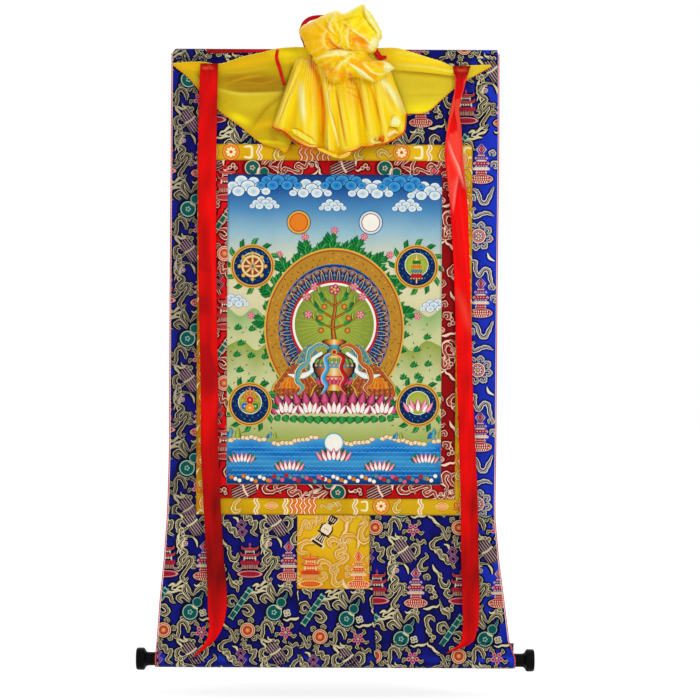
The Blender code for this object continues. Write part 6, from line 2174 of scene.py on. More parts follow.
def creaseHighlightAndShade(tint, lift, pale, dark):  # a relief less its own blur: painted highlights on the ridges, painted orange shade in the valleys
    blur = lift
    for _ in range(5):
        total = blur + np.roll(blur, 1, 0) + np.roll(blur, -1, 0)
        blur = (total + np.roll(blur, 1, 1) + np.roll(blur, -1, 1)) / 5
    crease = (lift - blur) / 0.0006
    ridge, valley = np.clip(crease, 0, 1)[..., None] * pale, np.clip(-crease, 0, 1)[..., None] * dark
    tint = tint * (1 - ridge) + silk["white"] * ridge
    return tint * (1 - valley) + silk["orange"] * 0.9 * valley


def coloured(x, drop, base, strokes, areas=()):  # the same strokes, and areas, as colour with a name and strength: painted highlights and painted shade
    tint = np.broadcast_to(base, (*x.shape, 3)).copy()
    for corners, name, strength, soft in areas:
        weight = strength * inArea(x, drop, corners, soft)[..., None]
        tint = tint * (1 - weight) + silk[name] * weight
    for points, half, name, strength, *lean in strokes:
        weight = brushed(x, drop, [(points, half, 1000.0 * strength, *lean)])
        weight = np.clip(weight, 0, 1)[..., None]
        tint = tint * (1 - weight) + silk[name] * weight
    return tint


def inSight(points):  # drawn in towards the camera's axis, to stand where the photograph shows it
    axisX = (photo["size"] / 2 - photo["middle"]) * photo["scale"]
    axisZ = (photo["top"] - photo["size"] / 2) * photo["scale"]
    near = 1 + points[..., 1:2] / photo["distance"]
    return np.concatenate([axisX + (points[..., :1] - axisX) * near, points[..., 1:2],
                           axisZ + (points[..., 2:] - axisZ) * near], axis=-1)


def bundled(x, drop, middle, rate, seed):  # creases that fan out from the neck, as in gathered silk
    dx, dz = x - middle[0], drop - middle[1]
    turn, away = np.arctan2(dz, dx), np.hypot(dx, dz)
    fan = np.abs(np.sin(turn * rate + 2.6 * ripple(x * 22, drop * 22, seed, 4)))
    return fan * smoothStep(away / 0.03)


def crumpled(x, drop, seed, rate):  # creases of soft silk: sharp folds where sines cross zero
    one = np.abs(ripple(x * rate, drop * rate, seed, 4))
    two = np.abs(ripple(x * rate * 2.1 + one * 2, drop * rate * 2.1, seed + 1, 4))
    return one + 0.45 * two


def rolledHem(line, radius, tones, beat):  # a rolled edge along a line of points, swelling at each beat
    sides = 8
    step = np.append(0, np.cumsum(np.linalg.norm(np.diff(line, axis=0), axis=1)))
    at = np.arange(0, step[-1], radius * 1.2)
    path = np.stack([np.interp(at, step, line[:, k]) for k in range(3)], axis=-1)
    run = np.gradient(path, axis=0)
    run = run / np.linalg.norm(run, axis=1)[:, None]
    across = np.cross(run, [0.0, 1.0, 0.0])
    across = across / np.linalg.norm(across, axis=1)[:, None]
    other = np.cross(across, run)
    turn = np.linspace(0, 2 * np.pi, sides, endpoint=False)
    ends = 0.4 + 0.6 * smoothStep(np.minimum(at, at[-1] - at) / 0.003)
    swell = radius * (1 + 0.18 * np.sin(2 * np.pi * at / beat)) * ends
    spread = across[:, None] * np.cos(turn)[:, None] + other[:, None] * np.sin(turn)[:, None]
    rings = path[:, None] + swell[:, None, None] * spread
    faces = gridFaces(len(path), sides, closed=True)
    caps = np.array([(0, 1, 2, 3), (0, 3, 4, 7), (4, 5, 6, 7)])
    caps = np.vstack([caps, caps[:, ::-1] + (len(path) - 1) * sides])
    faces = np.vstack([faces, caps])
    points = rings.reshape(-1, 3)
    a, b, c = (points[faces[:, k]] for k in range(3))
    if np.einsum("ij,ij->", a - points.mean(0), np.cross(b, c)) < 0:
        faces = faces[:, ::-1]
    beats = (0.5 + 0.5 * np.sin(2 * np.pi * at / beat + turn[:, None]).T)[..., None]
    tints = (tones[0] * (1 - beats) + tones[1] * beats).reshape(-1, 3)
    return points, faces, tints, np.zeros(len(faces), int)


def fold(edgeA, edgeB, tones, bulge, steps=30, across=12):
    # a flap of silk between two lines of (column, row, distance in front), swelling between them
    thick = 0.0010
    edges = (np.array(rows, float) for rows in (edgeA, edgeB))
    a, b = (curve(np.column_stack([fromPhoto(rows[:, :2]), rows[:, 2]]), steps) for rows in edges)
    share = np.linspace(0, 1, across)[None, :, None]
    grid = a[:, None] * (1 - share) + b[:, None] * share
    run = np.linspace(0, 1, steps)[:, None]
    narrow = 0.15 + 0.85 * smoothStep(np.minimum(run, 1 - run) / 0.2)      # tapers at both ends
    middle = (a + b)[:, None] / 2
    grid = middle + (grid - middle) * narrow[..., None]
    beats = 0.8 + 0.35 * np.sin(run * 19 + 3 * share[..., 0])
    swell = bulge * np.sin(np.pi * share[..., 0]) ** 0.8 * narrow * beats
    x, drop, front = grid[..., 0], grid[..., 1], grid[..., 2] + swell
    frontGrid = np.stack([x, -front - thick / 2, -drop], axis=-1)
    backGrid = np.stack([x, -front + thick / 2, -drop], axis=-1)
    # the tones across the flap, and the darker bands along it below, are painted light and painted shade
    at = np.linspace(0, 1, len(tones))
    levels = np.array([silk[tone] for tone in tones])
    tint = np.stack([np.interp(share[0, :, 0], at, level) for level in levels.T], axis=-1)
    normal = np.cross(frontGrid[1, 0] - frontGrid[0, 0], frontGrid[0, 1] - frontGrid[0, 0])
    tint = tint[None] * (1 - 0.10 * np.abs(np.sin(run * 14 + 2 * share[..., 0])))[..., None]
    if normal[1] > 0:
        frontGrid, backGrid, tint = frontGrid[:, ::-1], backGrid[:, ::-1], tint[:, ::-1]
    return clothParts(frontGrid, backGrid, tint)


# Each wing's paint strokes are painted highlights and painted shade on its folds; the relief strokes give the
# folds their shape.
wingLooks = {
    "left": {
        "base": "olive",
        "relief": [
            ([(222, 76), (250, 81), (284, 86)], 9, -1.8),
            ([(219, 88), (236, 92.5), (254, 93), (288, 91.5)], 9, 2.2, 1),
            ([(286, 95), (268, 108), (250, 130)], 7, -2.2, 1),
            ([(240, 109), (262, 103), (280, 97)], 12, 1.8), ([(224, 80), (250, 76), (276, 74)], 3, 1.0),
            ([(228, 86), (250, 84), (280, 80)], 2.5, -0.8), ([(236, 122), (250, 128)], 8, 1.2),
            ([(250, 140), (270, 141), (286, 143)], 5, 1.2, 1), ([(218, 66), (250, 62), (282, 56)], 8, 1.0),
            ([(222, 108), (232, 98)], 3, 0.8), ([(296, 64), (288, 84), (276, 112)], 5, -1.6)],
        "paint": [
            ([(176, 64), (206, 70)], 9, "gold", 0.7), ([(222, 68), (250, 62), (284, 54)], 14, "gold", 0.55),
            ([(218, 80), (244, 80), (270, 81), (296, 84)], 14, "brown", 0.85),
            ([(230, 89), (250, 91.5), (288, 90.5)], 10, "brown", 0.8, -1),
            ([(219, 88.5), (236, 93), (254, 93.5), (287, 92)], 5, "pale", 0.5, 1),
            ([(232, 106), (254, 103), (278, 98)], 15, "straw", 0.8),
            ([(230, 115), (240, 119), (250, 124)], 8, "lemon", 0.9),
            ([(286, 95), (268, 108), (251, 130)], 7, "brown", 0.5, 1),
            ([(262, 120), (284, 116)], 12, "olive", 0.6),
            ([(226, 84), (246, 78), (262, 76)], 2, "gold", 0.4),
            ([(240, 82), (262, 84), (280, 79)], 1.6, "gold", 0.3),
            ([(272, 54), (304, 56)], 8, "lemon", 0.8), ([(282, 62), (304, 63)], 7, "yellow", 0.7),
            ([(284, 57), (300, 58)], 0.9, "gold", 0.8), ([(283, 62), (299, 62.5)], 0.9, "gold", 0.8),
            ([(252, 128), (272, 124), (290, 128)], 7, "gold", 0.6),
            ([(270, 130), (278, 146)], 6, "brown", 0.45),
            ([(248, 140), (268, 141), (284, 143)], 4.5, "lemon", 0.7, 1),
            ([(266, 150), (290, 152)], 7, "gold", 0.7), ([(296, 52), (312, 56)], 16, "yellow", 0.6),
            ([(292, 66), (300, 76)], 8, "brown", 0.6),
            ([(222, 73), (246, 72), (270, 67)], 1.6, "straw", 0.5)],
    },
    "right": {
        "base": "straw",
        "relief": [
            ([(388, 69), (430, 73), (456, 76), (474, 76)], 13, 4.0, -1), ([(396, 57), (440, 61)], 5, 1.4),
            ([(404, 52), (440, 58), (464, 66)], 4, 1.2), ([(398, 96), (430, 96), (452, 92)], 16, -0.8),
            ([(400, 112), (440, 108)], 8, 0.8), ([(478, 72), (506, 70)], 5, 1.2),
            ([(380, 60), (396, 90), (408, 116)], 6, -2.0)],
        "paint": [
            ([(380, 56), (420, 61), (466, 70)], 22, "yellow", 0.95),
            ([(396, 66), (430, 69), (452, 73), (468, 74)], 5, "pale", 0.75, -1),
            ([(396, 53), (430, 58), (462, 68)], 4, "pale", 0.5),
            ([(388, 60), (416, 63), (450, 68)], 5, "gold", 0.45), ([(386, 60), (392, 66)], 7, "gold", 0.7),
            ([(390, 70.5), (430, 74), (456, 77), (470, 77)], 5.5, "brown", 0.9, 1),
            ([(398, 94), (426, 90), (456, 90)], 20, "straw", 0.8),
            ([(396, 110), (420, 109), (440, 106)], 12, "lemon", 0.85),
            ([(402, 96), (450, 95)], 2, "olive", 0.5), ([(404, 86), (444, 84)], 9, "olive", 0.25),
            ([(384, 52), (392, 53)], 6, "gold", 0.6), ([(482, 72), (508, 70)], 6, "gold", 0.7),
            ([(484, 76), (500, 73)], 1.6, "brown", 0.5),
            ([(388, 80), (398, 100), (406, 116)], 7, "olive", 0.7)],
    },
}


def buildWing(side):  # one side of the veil, between its upper and lower edge
    wing, look = wings[side], wingLooks[side]
    xs = np.linspace(wing["rows"][0][0], wing["rows"][-1][0], 116)[None, :]
    top, bottom, _ = smoothTable(wing["rows"], xs)
    bottom = np.maximum(bottom, top + 0.0012)
    share = np.concatenate([[0, 0.004], np.linspace(0.015, 0.985, 60), [0.996, 1]])[:, None]
    x = xs + 0 * share
    drop = top + (bottom - top) * share
    full = smoothStep((bottom - top) / 0.04) * np.sin(np.pi * np.clip(share, 0.03, 0.97)) ** 0.4
    lift = brushed(x, drop, look["relief"]) + 0.0007 * crumpled(x, drop, 3 if side == "left" else 8, 60)
    y = wingY(wing, x, drop) - lift * full
    front, back = (np.stack([x, y + s * silkThick / 2, -drop], axis=-1) for s in (-1, 1))
    tint = coloured(x, drop, silk[look["base"]], look["paint"])
    # painted light and shade from the slope of the relief
    slope = np.gradient(lift, axis=0) / np.maximum(np.gradient(drop, axis=0), 1e-5)
    tint = tint * np.clip(1 - 0.30 * slope, 0.75, 1.18)[..., None]
    sheet = clothParts(front, back, tint)
    hemLine = front[-1] + [0, -0.0002, 0]
    keep = hemLine[:, 0] < -0.03 if side == "left" else hemLine[:, 0] > 0.06
    hem = rolledHem(hemLine[keep], 0.0009, (silk["hem"], silk["gold"]), beat=0.0062)
    topLine = front[0][keep] + [0, 0.0004, 0]
    upper = rolledHem(topLine, 0.0007, (silk["gold"], silk["pale"]), beat=0.008)
    title = "veilWing" + side.title()
    points, faces, tints, _ = joined([sheet, hem, upper])
    piece = makePiece(title, points, faces, [yellowSilk], tints, sharp=60)
    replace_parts(piece, "veil")


skirt = {
    "rows": [  # neck x, neck drop, hem x, hem drop, neck front, hem front
        (-0.0764, 0.0200, -0.1220, 0.1500, 0.020, 0.0150),
        (-0.0690, 0.0210, -0.1067, 0.1565, 0.028, 0.0270),
        (-0.0600, 0.0230, -0.0930, 0.1640, 0.030, 0.0220),
        (-0.0520, 0.0250, -0.0745, 0.1795, 0.034, 0.0360),
        (-0.0430, 0.0290, -0.0447, 0.1900, 0.034, 0.0420),
        (-0.0350, 0.0340, -0.0240, 0.1940, 0.032, 0.0260),
        (-0.0200, 0.0430, -0.0120, 0.2010, 0.040, 0.0440), (-0.0060, 0.0500, 0.0051, 0.2070, 0.038, 0.0320),
        (0.0090, 0.0480, 0.0250, 0.2000, 0.044, 0.0420), (0.0240, 0.0460, 0.0440, 0.1915, 0.042, 0.0440),
        (0.0380, 0.0470, 0.0580, 0.1885, 0.036, 0.0300), (0.0515, 0.0480, 0.0740, 0.1860, 0.040, 0.0400),
        (0.0640, 0.0480, 0.0890, 0.1840, 0.034, 0.0280), (0.0760, 0.0460, 0.1040, 0.1790, 0.036, 0.0340),
        (0.0880, 0.0440, 0.1170, 0.1715, 0.030, 0.0220), (0.0990, 0.0400, 0.1330, 0.1600, 0.028, 0.0240),
        (0.1056, 0.0370, 0.1379, 0.1230, 0.018, 0.0140)],
    "relief": [
        ([(296, 66), (286, 92), (274, 126)], 4, 2.0, -1), ([(301, 70), (290, 96), (278, 126)], 4, 2.2, -1),
        ([(303, 80), (302, 104), (306, 132)], 6, 2.4),
        ([(313, 66), (320, 84), (325, 116), (324, 140)], 5, -4.0),
        ([(331, 86), (328, 96), (333, 122), (339, 145)], 4, 4.0, 1),
        ([(335, 91), (341, 118), (346, 145)], 3, -2.4), ([(350, 90), (354, 118), (357, 144)], 9, 1.8),
        ([(356, 84), (362, 106), (366, 130)], 3.5, -2.4), ([(364, 86), (370, 108), (374, 132)], 5, 2.0),
        ([(369, 84), (375, 104), (381, 128)], 3, -1.8), ([(378, 74), (390, 92), (402, 112)], 6, 3.2),
        ([(380, 88), (388, 110), (392, 128)], 5, 1.6), ([(289, 90), (283, 112)], 3, -1.0),
        ([(310, 90), (312, 120)], 4, -1.2), ([(344, 96), (349, 130)], 2.5, -1.0),
        ([(346, 86), (358, 90)], 1.5, -0.7), ([(348, 92), (362, 100)], 1.5, -0.7)],
    # the paint strokes are painted highlights and painted shade along the pleats
    "paint": [
        ([(294, 70), (286, 92), (276, 122)], 6, "straw", 0.7),
        ([(297, 64), (287, 92), (274, 127)], 1.6, "deep", 0.75, -1),
        ([(301, 70), (290, 96), (278, 126)], 1.5, "rust", 0.7, -1),
        ([(299, 68), (288, 94), (276, 126)], 1.6, "pale", 0.8), ([(290, 92), (284, 124)], 7, "lemon", 0.7),
        ([(301, 84), (302, 100), (304, 120)], 5.5, "white", 0.9),
        ([(297, 96), (294, 124)], 2.4, "gold", 0.6), ([(311, 66), (316, 82), (318, 110)], 15, "gold", 0.85),
        ([(312, 62), (319, 80), (324, 112), (323, 140)], 7, "orange", 0.9, 1),
        ([(314, 66), (320, 82), (324.5, 114), (323, 138)], 3, "deep", 0.8),
        ([(311, 60), (313, 70)], 5, "deep", 0.9),
        ([(331, 86), (328, 96), (333, 122), (338, 145)], 2.0, "white", 0.9),
        ([(334, 88), (333, 110), (340, 142)], 4, "lemon", 0.6),
        ([(336, 90), (341, 118), (346, 145)], 1.7, "rust", 0.7), ([(326, 76), (340, 82)], 8, "orange", 0.6),
        ([(344, 80), (352, 110)], 10, "gold", 0.7), ([(346, 100), (351, 124), (354, 142)], 5, "lemon", 0.7),
        ([(356, 86), (361, 110)], 12, "gold", 0.6), ([(350, 76), (352, 82)], 4, "deep", 0.9),
        ([(355, 80), (361, 104), (366, 128)], 2.2, "deep", 0.75),
        ([(364, 84), (374, 110), (378, 132)], 5, "yellow", 0.8),
        ([(369, 82), (375, 102), (380, 122)], 2.0, "orange", 0.75),
        ([(374, 70), (390, 90), (405, 110)], 6.5, "white", 0.95),
        ([(380, 84), (388, 104), (396, 118)], 5, "pale", 0.6), ([(346, 87), (356, 90)], 0.9, "orange", 0.7),
        ([(348, 92), (362, 101)], 0.9, "orange", 0.7), ([(376, 136), (384, 138)], 5, "pale", 0.6)],
}


def buildSkirt():  # pleats from the neck under the bunch to a hem, with a flap and curled rolls
    across = curve(skirt["rows"], 220)
    neckX, neckDrop, hemX, hemDrop, neckFront, hemFront = across.T
    share = np.concatenate([np.linspace(-0.2, 0.985, 78), [0.993, 1]])[:, None]
    x, drop = neckX + (hemX - neckX) * share, neckDrop + (hemDrop - neckDrop) * share
    above = np.clip(-share / 0.2, 0, 1)
    x = x + (np.maximum(x, -0.046) - x) * above * 0.85
    order = np.linspace(0, 1, 220)
    gathers = 0.0009 * np.sin(order * 190 + 3 * np.sin(order * 31)) * np.exp(-np.maximum(share, 0) / 0.16)
    drift = 0.0007 * np.sin(order * 64 + 2 * np.sin(order * 17) + share * 3) * smoothStep(share / 0.3)
    rise = 0.010 * above
    lift = brushed(x, drop, skirt["relief"])
    standing = neckFront + (hemFront - neckFront) * share + 0.006 * np.sin(np.pi * share)
    y = -standing - lift + gathers + drift + rise
    sway = np.cos(order * 64 + 2 * np.sin(order * 17) + share * 3) * smoothStep(share / 0.3)
    x = x + 0.0014 * sway * np.sin(np.pi * order)
    drop = drop + 0.0012 * np.sin(order * 60) * smoothStep((share - 0.9) / 0.1)
    front, back = (np.stack([x, y + s * silkThick / 2, -drop], axis=-1) for s in (-1, 1))
    tint = coloured(x, drop, silk["yellow"], skirt["paint"])
    # painted light and shade from the pleats' slope, then painted highlights on ridges and painted shade in
    # valleys
    slope = np.gradient(y, axis=1) / np.maximum(np.abs(np.gradient(x, axis=1)), 2e-4)
    tint = tint * np.clip(1 - 0.07 * np.abs(slope) + 0.04 * slope, 0.78, 1.1)[..., None]
    tint = creaseHighlightAndShade(tint, -y, 0.35, 0.45)
    hemGlow = smoothStep((share - 0.93) / 0.05)[..., None] * (0.35 + 0.25 * np.sin(order * 70))[None, :, None]
    tint = tint * (1 - hemGlow) + silk["orange"] * hemGlow
    stitches = np.exp(-((share - 0.962) / 0.005) ** 2)[..., None] * 0.8
    tint = tint * (1 - stitches) + silk["hem"] * stitches
    parts = [clothParts(front, back, tint)]
    parts.append(rolledHem(front[-1] + [0, -0.0004, 0], 0.0015, (silk["rust"], silk["hem"]), beat=0.0052))
    under = front[-1][4:80] + [0.001, 0.004, -0.0048]
    parts.append(rolledHem(under, 0.0013, (silk["rust"], silk["orange"]), beat=0.0060))
    parts.append(fold([(290, 132, 0.036), (297, 137, 0.040), (306, 142.5, 0.044), (315, 147.5, 0.046)],
                      [(291.6, 126.5, 0.036), (300, 130, 0.041), (309, 135.5, 0.045), (317, 141, 0.047)],
                      ("rust", "lemon", "pale", "pale", "lemon", "deep"), 0.0015))
    parts.append(fold([(315, 149, 0.044), (326, 154, 0.046), (338, 159.5, 0.047)],
                      [(318, 146.5, 0.045), (329, 151, 0.047), (341, 156, 0.047)],
                      ("rust", "pale", "gold", "lemon", "deep"), 0.0010))
    parts.append(fold([(338, 159.5, 0.045), (346, 157.5, 0.046), (352, 153.5, 0.046)],
                      [(337, 156, 0.046), (343, 154, 0.048), (350, 150.3, 0.047)],
                      ("rust", "pale", "orange", "pale", "hem"), 0.0010))
    parts.append(fold([(380, 144, 0.036), (372, 143, 0.040), (370.5, 139, 0.042), (375, 136.5, 0.040)],
                      [(383, 140, 0.034), (377, 141, 0.041), (375, 139, 0.043), (378, 137.5, 0.040)],
                      ("white", "pale", "rust"), 0.002, 24, 8))
    parts.append(fold([(386, 141, 0.030), (381, 142, 0.034), (378.5, 138, 0.036)],
                      [(388, 135, 0.030), (384, 135, 0.035), (381, 136, 0.036)], ("rust", "deep", "orange"),
                      0.002, 24, 8))
    parts.append(fold([(384, 137, 0.032), (387, 132, 0.036), (393, 129, 0.034), (398, 131, 0.030)],
                      [(386, 141, 0.031), (390, 137.5, 0.036), (396, 134, 0.034), (400, 135, 0.030)],
                      ("gold", "white", "orange"), 0.003, 24, 8))
    parts.append(fold([(390, 120, 0.030), (394, 116, 0.033), (400, 115.5, 0.030)],
                      [(388.5, 127, 0.030), (394, 127, 0.034), (401.5, 128, 0.030)],
                      ("pale", "white", "white", "lemon"), 0.002, 24, 10))
    parts.append(fold([(383, 130, 0.032), (389, 127.5, 0.035), (396, 128, 0.032)],
                      [(384, 134, 0.032), (390, 132, 0.036), (398, 131.5, 0.031)],
                      ("orange", "gold", "lemon"), 0.002, 24, 8))
    points, faces, tints, _ = joined(parts)
    piece = makePiece("veilSkirt", inSight(points), faces, [yellowSilk], tints, sharp=60)
    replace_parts(piece, "veil")


# Each tier's areas and paint strokes are painted highlights and painted shade on its folds.
bunch = {
    "upper": {
        "knot": (0.004, -0.016), "rate": 9,
        "middle": (0.012, 0.030), "away": 0.049, "front": 0.050, "back": 0.036, "grid": 136, "seed": 31,
        "size": (0.30, 0.20), "area": 0.052, "restsOn": ["veilBunchLower"],
        "smooth": [[(302, 32), (321, 19), (326, 30), (322, 50), (310, 52)],
                   [(344, 20), (361, 9), (366, 22), (374, 33), (368, 36), (355, 27)]],
        "areas": [
            ([(299, 31), (320, 16), (327, 21), (329, 30), (325, 36), (326, 47), (322, 54), (312, 57),
              (305, 48)], "gold", 0.8, 1.5),
            ([(333, 21), (345, 15), (352, 27), (350, 45), (343, 49), (335, 43), (330, 33)],
             "yellow", 0.8, 1.2),
            ([(339, 20), (362, 5.5), (367, 22), (378, 33), (371, 40), (354, 28)], "lemon", 0.95, 1.0),
            ([(364, 6), (369, 9), (382, 31), (378, 34), (368, 22)], "white", 0.9, 1.0),
            ([(371, 41), (380, 36), (379, 45), (372, 51), (368, 47)], "white", 0.85, 1.2),
            ([(352.5, 38), (360, 38), (371, 45), (366, 49), (352, 46)], "orange", 0.8, 1.2),
            ([(327, 38), (337, 46), (345, 50), (356, 53), (366, 50), (364, 57), (335, 56), (326, 48)],
             "orange", 0.55, 1.5)],
        "outline": [
            (-0.0708, 0.0355), (-0.0670, 0.0430), (-0.0303, 0.0629), (-0.0003, 0.0752), (0.0173, 0.0699),
            (0.0513, 0.0869), (0.0622, 0.0742), (0.0771, 0.0564), (0.0902, 0.0294), (0.0841, 0.0118),
            (0.0706, -0.0073), (0.0219, -0.0088), (-0.0029, -0.0051), (-0.0325, -0.0168),
            (-0.0447, -0.0145), (-0.0571, 0.0017), (-0.0610, 0.0140)],
        "relief": [
            ([(338, 10), (332, 20), (329.5, 27), (334, 33)], 7, 6.0, -1),
            ([(338, 10), (344, 18), (350, 26)], 5, -4.0),
            ([(328, 29), (324, 36), (325, 45), (329, 49)], 5, 4.0, 1),
            ([(334, 24), (340, 32), (341, 42), (336, 48)], 6, 4.5, -1),
            ([(329, 38), (334, 45), (345, 51), (362, 55)], 5, -6.0, 1),
            ([(349, 29), (347.5, 37), (349, 47)], 4, 5.5, 1),
            ([(349, 27), (357, 33), (364, 38), (370, 43)], 6, 7.0, -1),
            ([(351, 40), (358, 39), (366, 42)], 6, -6.0), ([(337, 22), (348, 19), (358, 16)], 3.5, -2.6),
            ([(340, 23), (351, 28)], 3, -2.0), ([(363, 10), (368, 21), (378, 32)], 6, 6.0, 1),
            ([(368, 23), (376, 30)], 2.4, -2.0), ([(370, 46), (377, 38)], 5, 4.0),
            ([(352, 49), (364, 50)], 6, 3.0), ([(302, 32), (316, 24), (328, 16)], 5, 1.8),
            ([(306, 42), (318, 38)], 6, -1.6), ([(303, 50), (312, 48), (322, 50)], 5, 1.4),
            ([(312, 20), (322, 32)], 3, -1.2), ([(345, 12), (356, 7)], 5, 2.0)],
        "paint": [
            ([(300, 36), (314, 34), (322, 40)], 30, "gold", 0.85),
            ([(318, 27), (326, 18), (334, 12)], 9, "yellow", 0.8),
            ([(338, 9), (334, 15), (330, 24)], 5, "pale", 0.85),
            ([(331, 20), (329.5, 28), (334, 32)], 1.4, "white", 0.9),
            ([(327, 30), (324, 37), (325, 45), (329, 49)], 1.3, "pale", 0.95),
            ([(334, 25), (337, 29), (339, 36)], 5, "lemon", 0.9),
            ([(329, 38), (334, 45), (345, 51), (362, 56)], 4.5, "orange", 0.95),
            ([(328, 38), (333, 44), (340, 49)], 2.0, "deep", 0.8),
            ([(338, 48.5), (352, 52), (362, 54.5)], 1.0, "pale", 0.85),
            ([(349, 30), (347.8, 37), (348.5, 47)], 1.5, "white", 0.95),
            ([(350, 27.5), (357, 33), (364, 38), (369, 42)], 1.7, "white", 0.95),
            ([(351, 39), (358, 39), (366, 42)], 5.5, "orange", 0.9),
            ([(352, 38.4), (358, 38.4)], 2.0, "deep", 0.7), ([(352, 46), (362, 48)], 8, "gold", 0.7),
            ([(342, 14), (356, 12), (366, 24)], 16, "lemon", 0.8),
            ([(338, 21.5), (348, 18.5), (357, 16)], 1.8, "gold", 0.8),
            ([(341, 23), (350, 28)], 1.8, "gold", 0.8), ([(360, 26), (366, 34)], 8, "gold", 0.6),
            ([(365, 9), (370, 20), (379, 31)], 4.6, "white", 0.95),
            ([(369, 23), (377, 30)], 1.3, "gold", 0.8), ([(370, 48), (377, 38)], 7, "white", 0.9),
            ([(302, 52), (314, 52)], 5, "yellow", 0.6)],
    },
    "lower": {
        "knot": (0.010, 0.004), "rate": 8,
        "middle": (0.032, -0.024), "away": 0.044, "front": 0.042, "back": 0.026, "grid": 118, "seed": 52,
        "size": (0.26, 0.14), "area": 0.031, "restsOn": ["veilWingLeft", "veilWingRight"],
        "smooth": [[(322, 58), (344, 57), (338, 64), (330, 68)]],
        "areas": [
            ([(316, 60), (322, 56), (336, 51), (350, 52), (346, 56), (334, 55.5)], "white", 0.85, 1.0),
            ([(317, 61), (322, 57), (345, 57), (340, 64), (333, 71)], "yellow", 0.9, 1.0),
            ([(357, 57), (384, 60), (392, 67), (378, 75), (374, 80), (350, 63)], "gold", 0.75, 1.5),
            ([(321, 70), (333, 72), (345, 70), (348, 76), (343, 83), (330, 84), (323, 78)],
             "gold", 0.8, 1.2),
            ([(350, 63.5), (362, 69), (374, 81), (362, 77)], "white", 0.9, 0.8),
            ([(385, 60), (394, 67), (388, 73), (383, 70)], "white", 0.8, 1.2)],
        "outline": [
            (-0.0447, -0.0145), (-0.0400, 0.0060), (0.0200, 0.0160), (0.0600, 0.0080), (0.0640, -0.0090),
            (0.0740, -0.0200), (0.0978, -0.0225), (0.1143, -0.0345), (0.1062, -0.0439), (0.0777, -0.0643),
            (0.0500, -0.0560), (0.0316, -0.0540), (0.0200, -0.0605), (0.0085, -0.0655), (-0.0060, -0.0650),
            (-0.0175, -0.0540), (-0.0225, -0.0400), (-0.0378, -0.0269)],
        "relief": [
            ([(314, 58), (326, 52), (340, 50.5), (353, 53)], 7, 6.0, 1),
            ([(353, 55), (343, 62), (334, 71)], 4, 5.0), ([(345, 61), (357, 68), (374, 81)], 6, 6.0, 1),
            ([(350, 64), (344, 72), (342, 80)], 5, -4.0), ([(316, 60), (326, 66), (334, 72)], 5, -4.0),
            ([(364, 64), (374, 73), (385, 75)], 4, 4.0), ([(386, 62), (392, 68)], 5, 4.0),
            ([(322, 68), (328, 78), (336, 82)], 6, 3.0), ([(354, 58), (364, 62)], 5, -2.4),
            ([(366, 70), (378, 78)], 5, -3.0), ([(346, 66), (352, 76)], 4, 2.4),
            ([(376, 60), (384, 68)], 4, -2.0)],
        "paint": [
            ([(316, 59), (326, 62), (340, 60)], 10, "gold", 0.6),
            ([(315, 58), (326, 51.5), (340, 50), (354, 53)], 2.5, "white", 0.9, 1),
            ([(354, 54.5), (343, 62), (334, 71)], 1.2, "white", 0.95),
            ([(345, 61.5), (354, 66), (363, 72), (374, 81)], 2.5, "white", 0.95, 1),
            ([(322, 66), (330, 70), (336, 70)], 6, "orange", 0.85),
            ([(322, 72), (328, 79), (336, 81)], 5, "gold", 0.7), ([(348, 72), (352, 76.5)], 4, "deep", 0.9),
            ([(338, 74), (346, 78)], 6, "orange", 0.7), ([(352, 60), (362, 66), (370, 70)], 6, "gold", 0.7),
            ([(364.5, 64), (374, 73), (385, 74.5)], 1.3, "white", 0.9),
            ([(385, 62), (392, 67), (388, 72)], 5, "white", 0.95), ([(376, 63), (382, 67)], 5, "gold", 0.7),
            ([(372, 68), (382, 71)], 3, "lemon", 0.7), ([(311, 60), (314, 64)], 4, "deep", 0.85)],
    },
}


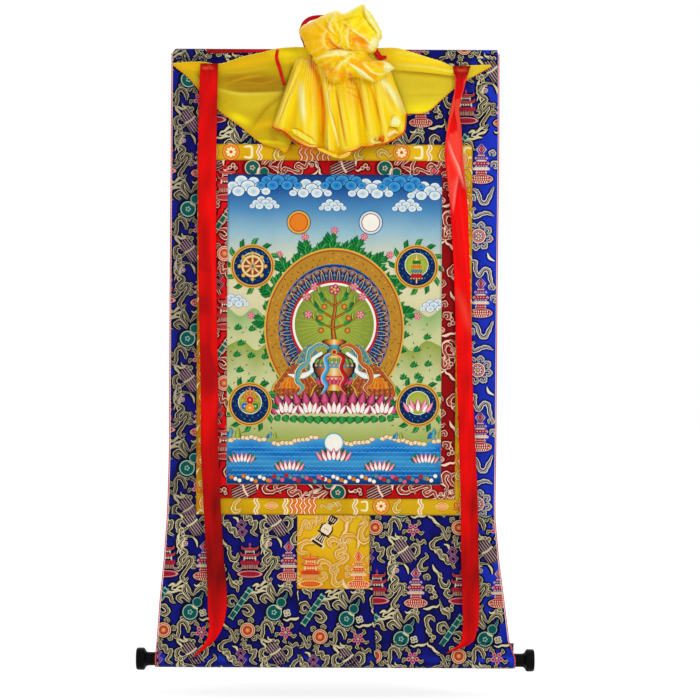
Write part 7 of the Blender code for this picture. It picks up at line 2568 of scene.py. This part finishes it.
def bagGrid(spec):  # a gathered bag of silk: front and back domes inside an outline, open at the back
    # a square grid turned to a disc: its rings run from the front's middle over the edge to the opening
    count = spec["grid"]
    s, t = np.meshgrid(np.linspace(-1, 1, count), np.linspace(-1, 1, count))
    wide = np.abs(s) > np.abs(t)
    reach = np.where(wide, s, t)
    ratio = np.where(wide, t, s) / np.where(np.abs(reach) < 1e-9, 1, reach)
    turn = np.where(wide, np.pi / 4 * ratio, np.pi / 2 - np.pi / 4 * ratio) + np.where(reach < 0, np.pi, 0)
    ring = np.abs(reach)
    lean = (0.62 * ring + 0.38 * ring ** 3) * np.pi * 0.93
    outline = np.array(spec["outline"])
    loopPoints = np.vstack([outline[-2:], outline, outline[:3]])
    fine = curve(loopPoints, 12 * (len(loopPoints) - 1) + 1)[24:-24]
    walked = np.append(0, np.cumsum(np.linalg.norm(np.diff(fine, axis=0), axis=1)))
    at = ((turn - np.pi) / (2 * np.pi)) % 1 * walked[-1]
    edgeX, edgeHeight = (np.interp(at, walked, fine[:, k]) for k in (0, 1))
    girth = np.clip(np.sin(lean), 0, 1) ** 0.9
    dome = np.sqrt(np.clip(1 - girth ** 2.6, 0, 1))
    behind = lean > np.pi / 2
    pleat = 1 + 0.035 * np.sin(turn * 23 + 2 * np.sin(turn * 3)) * smoothStep((lean - 1.3) / 0.8)
    cx, cz = spec["middle"]
    x, height = cx + (edgeX - cx) * girth * pleat, cz + (edgeHeight - cz) * girth * pleat
    y = -spec["away"] + np.where(behind, spec["back"], -spec["front"]) * dome
    seed = spec["seed"]
    crumple = crumpled(x, -height, seed, 62) - 0.55 + 0.45 * (crumpled(x, -height, seed + 9, 150) - 0.55)
    smooth = 1 - 0.75 * sum(inArea(x, -height, corners, 5) for corners in spec["smooth"])
    folds = []
    for line, half, rise, *steep in spec["relief"]:  # drawn wider and lower than their numbers
        folds.append((line, half * (1.9 if steep else 1.3), rise * 0.75, *steep))
    fan = bundled(x, -height, spec["knot"], spec["rate"], seed + 3)
    lift = brushed(x, -height, folds) - 0.0030 * crumple * smooth
    lift = lift - 0.0016 * (fan - 0.5) * (0.4 + 0.6 * smooth)
    facing = np.where(behind, 0, smoothStep(dome / 0.5))
    y = y - lift * facing + np.where(behind, 0.003 * np.sin(turn * 23 + 2 * np.sin(turn * 3)) * dome, 0)
    side = smoothStep(1 - np.abs(lean - np.pi / 2) / 0.9) * 0.0020
    side = side * (crumpled(x + y, height - y, 5, 90) - 0.6)
    x, height = x + side * (edgeX - cx) / 0.06, height + side * (edgeHeight - cz) / 0.06
    outer = np.stack([x, y, height], axis=-1)
    centre = np.array([cx, -spec["away"], cz])
    offset = outer - centre
    inner = centre + offset * (1 - 0.0014 / np.linalg.norm(offset, axis=-1, keepdims=True))
    tint = coloured(x, -height, silk["yellow"], spec["paint"], spec["areas"])
    back = smoothStep((lean - 1.35) / 0.4)[..., None]
    tint = tint * (1 - back) + (silk["yellow"] * 0.5 + silk["gold"] * 0.5) * back
    return outer, inner, creaseHighlightAndShade(tint, lift * facing, 0.3, 0.5)


def buildBunch():  # two bags of silk, one above the other, and a flap over the upper one
    over = fold([(366, 6, 0.080), (374, 18, 0.078), (381, 32, 0.072), (379, 41, 0.068)],
                [(362, 9, 0.087), (367.5, 21, 0.088), (376, 33, 0.080), (373, 40, 0.076)],
                ("lemon", "pale", "white", "white", "lemon", "gold"), 0.002)
    for tier, extra in (("upper", [over]), ("lower", [])):
        outer, inner, tint = bagGrid(bunch[tier])
        points, faces, tints, _ = joined([clothParts(outer, inner, tint), *extra])
        piece = makePiece("veilBunch" + tier.title(), inSight(points), faces, [yellowSilk],
                          tints, sharp=70)
        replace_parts(piece, "veil")


for side in ("left", "right"):
    buildWing(side)
    buildRibbon(side, "ribbon_" + side)
    buildTie(side, "veil_tie_" + side)
buildSkirt()
buildBunch()
print("veil, ribbons and ties draped")
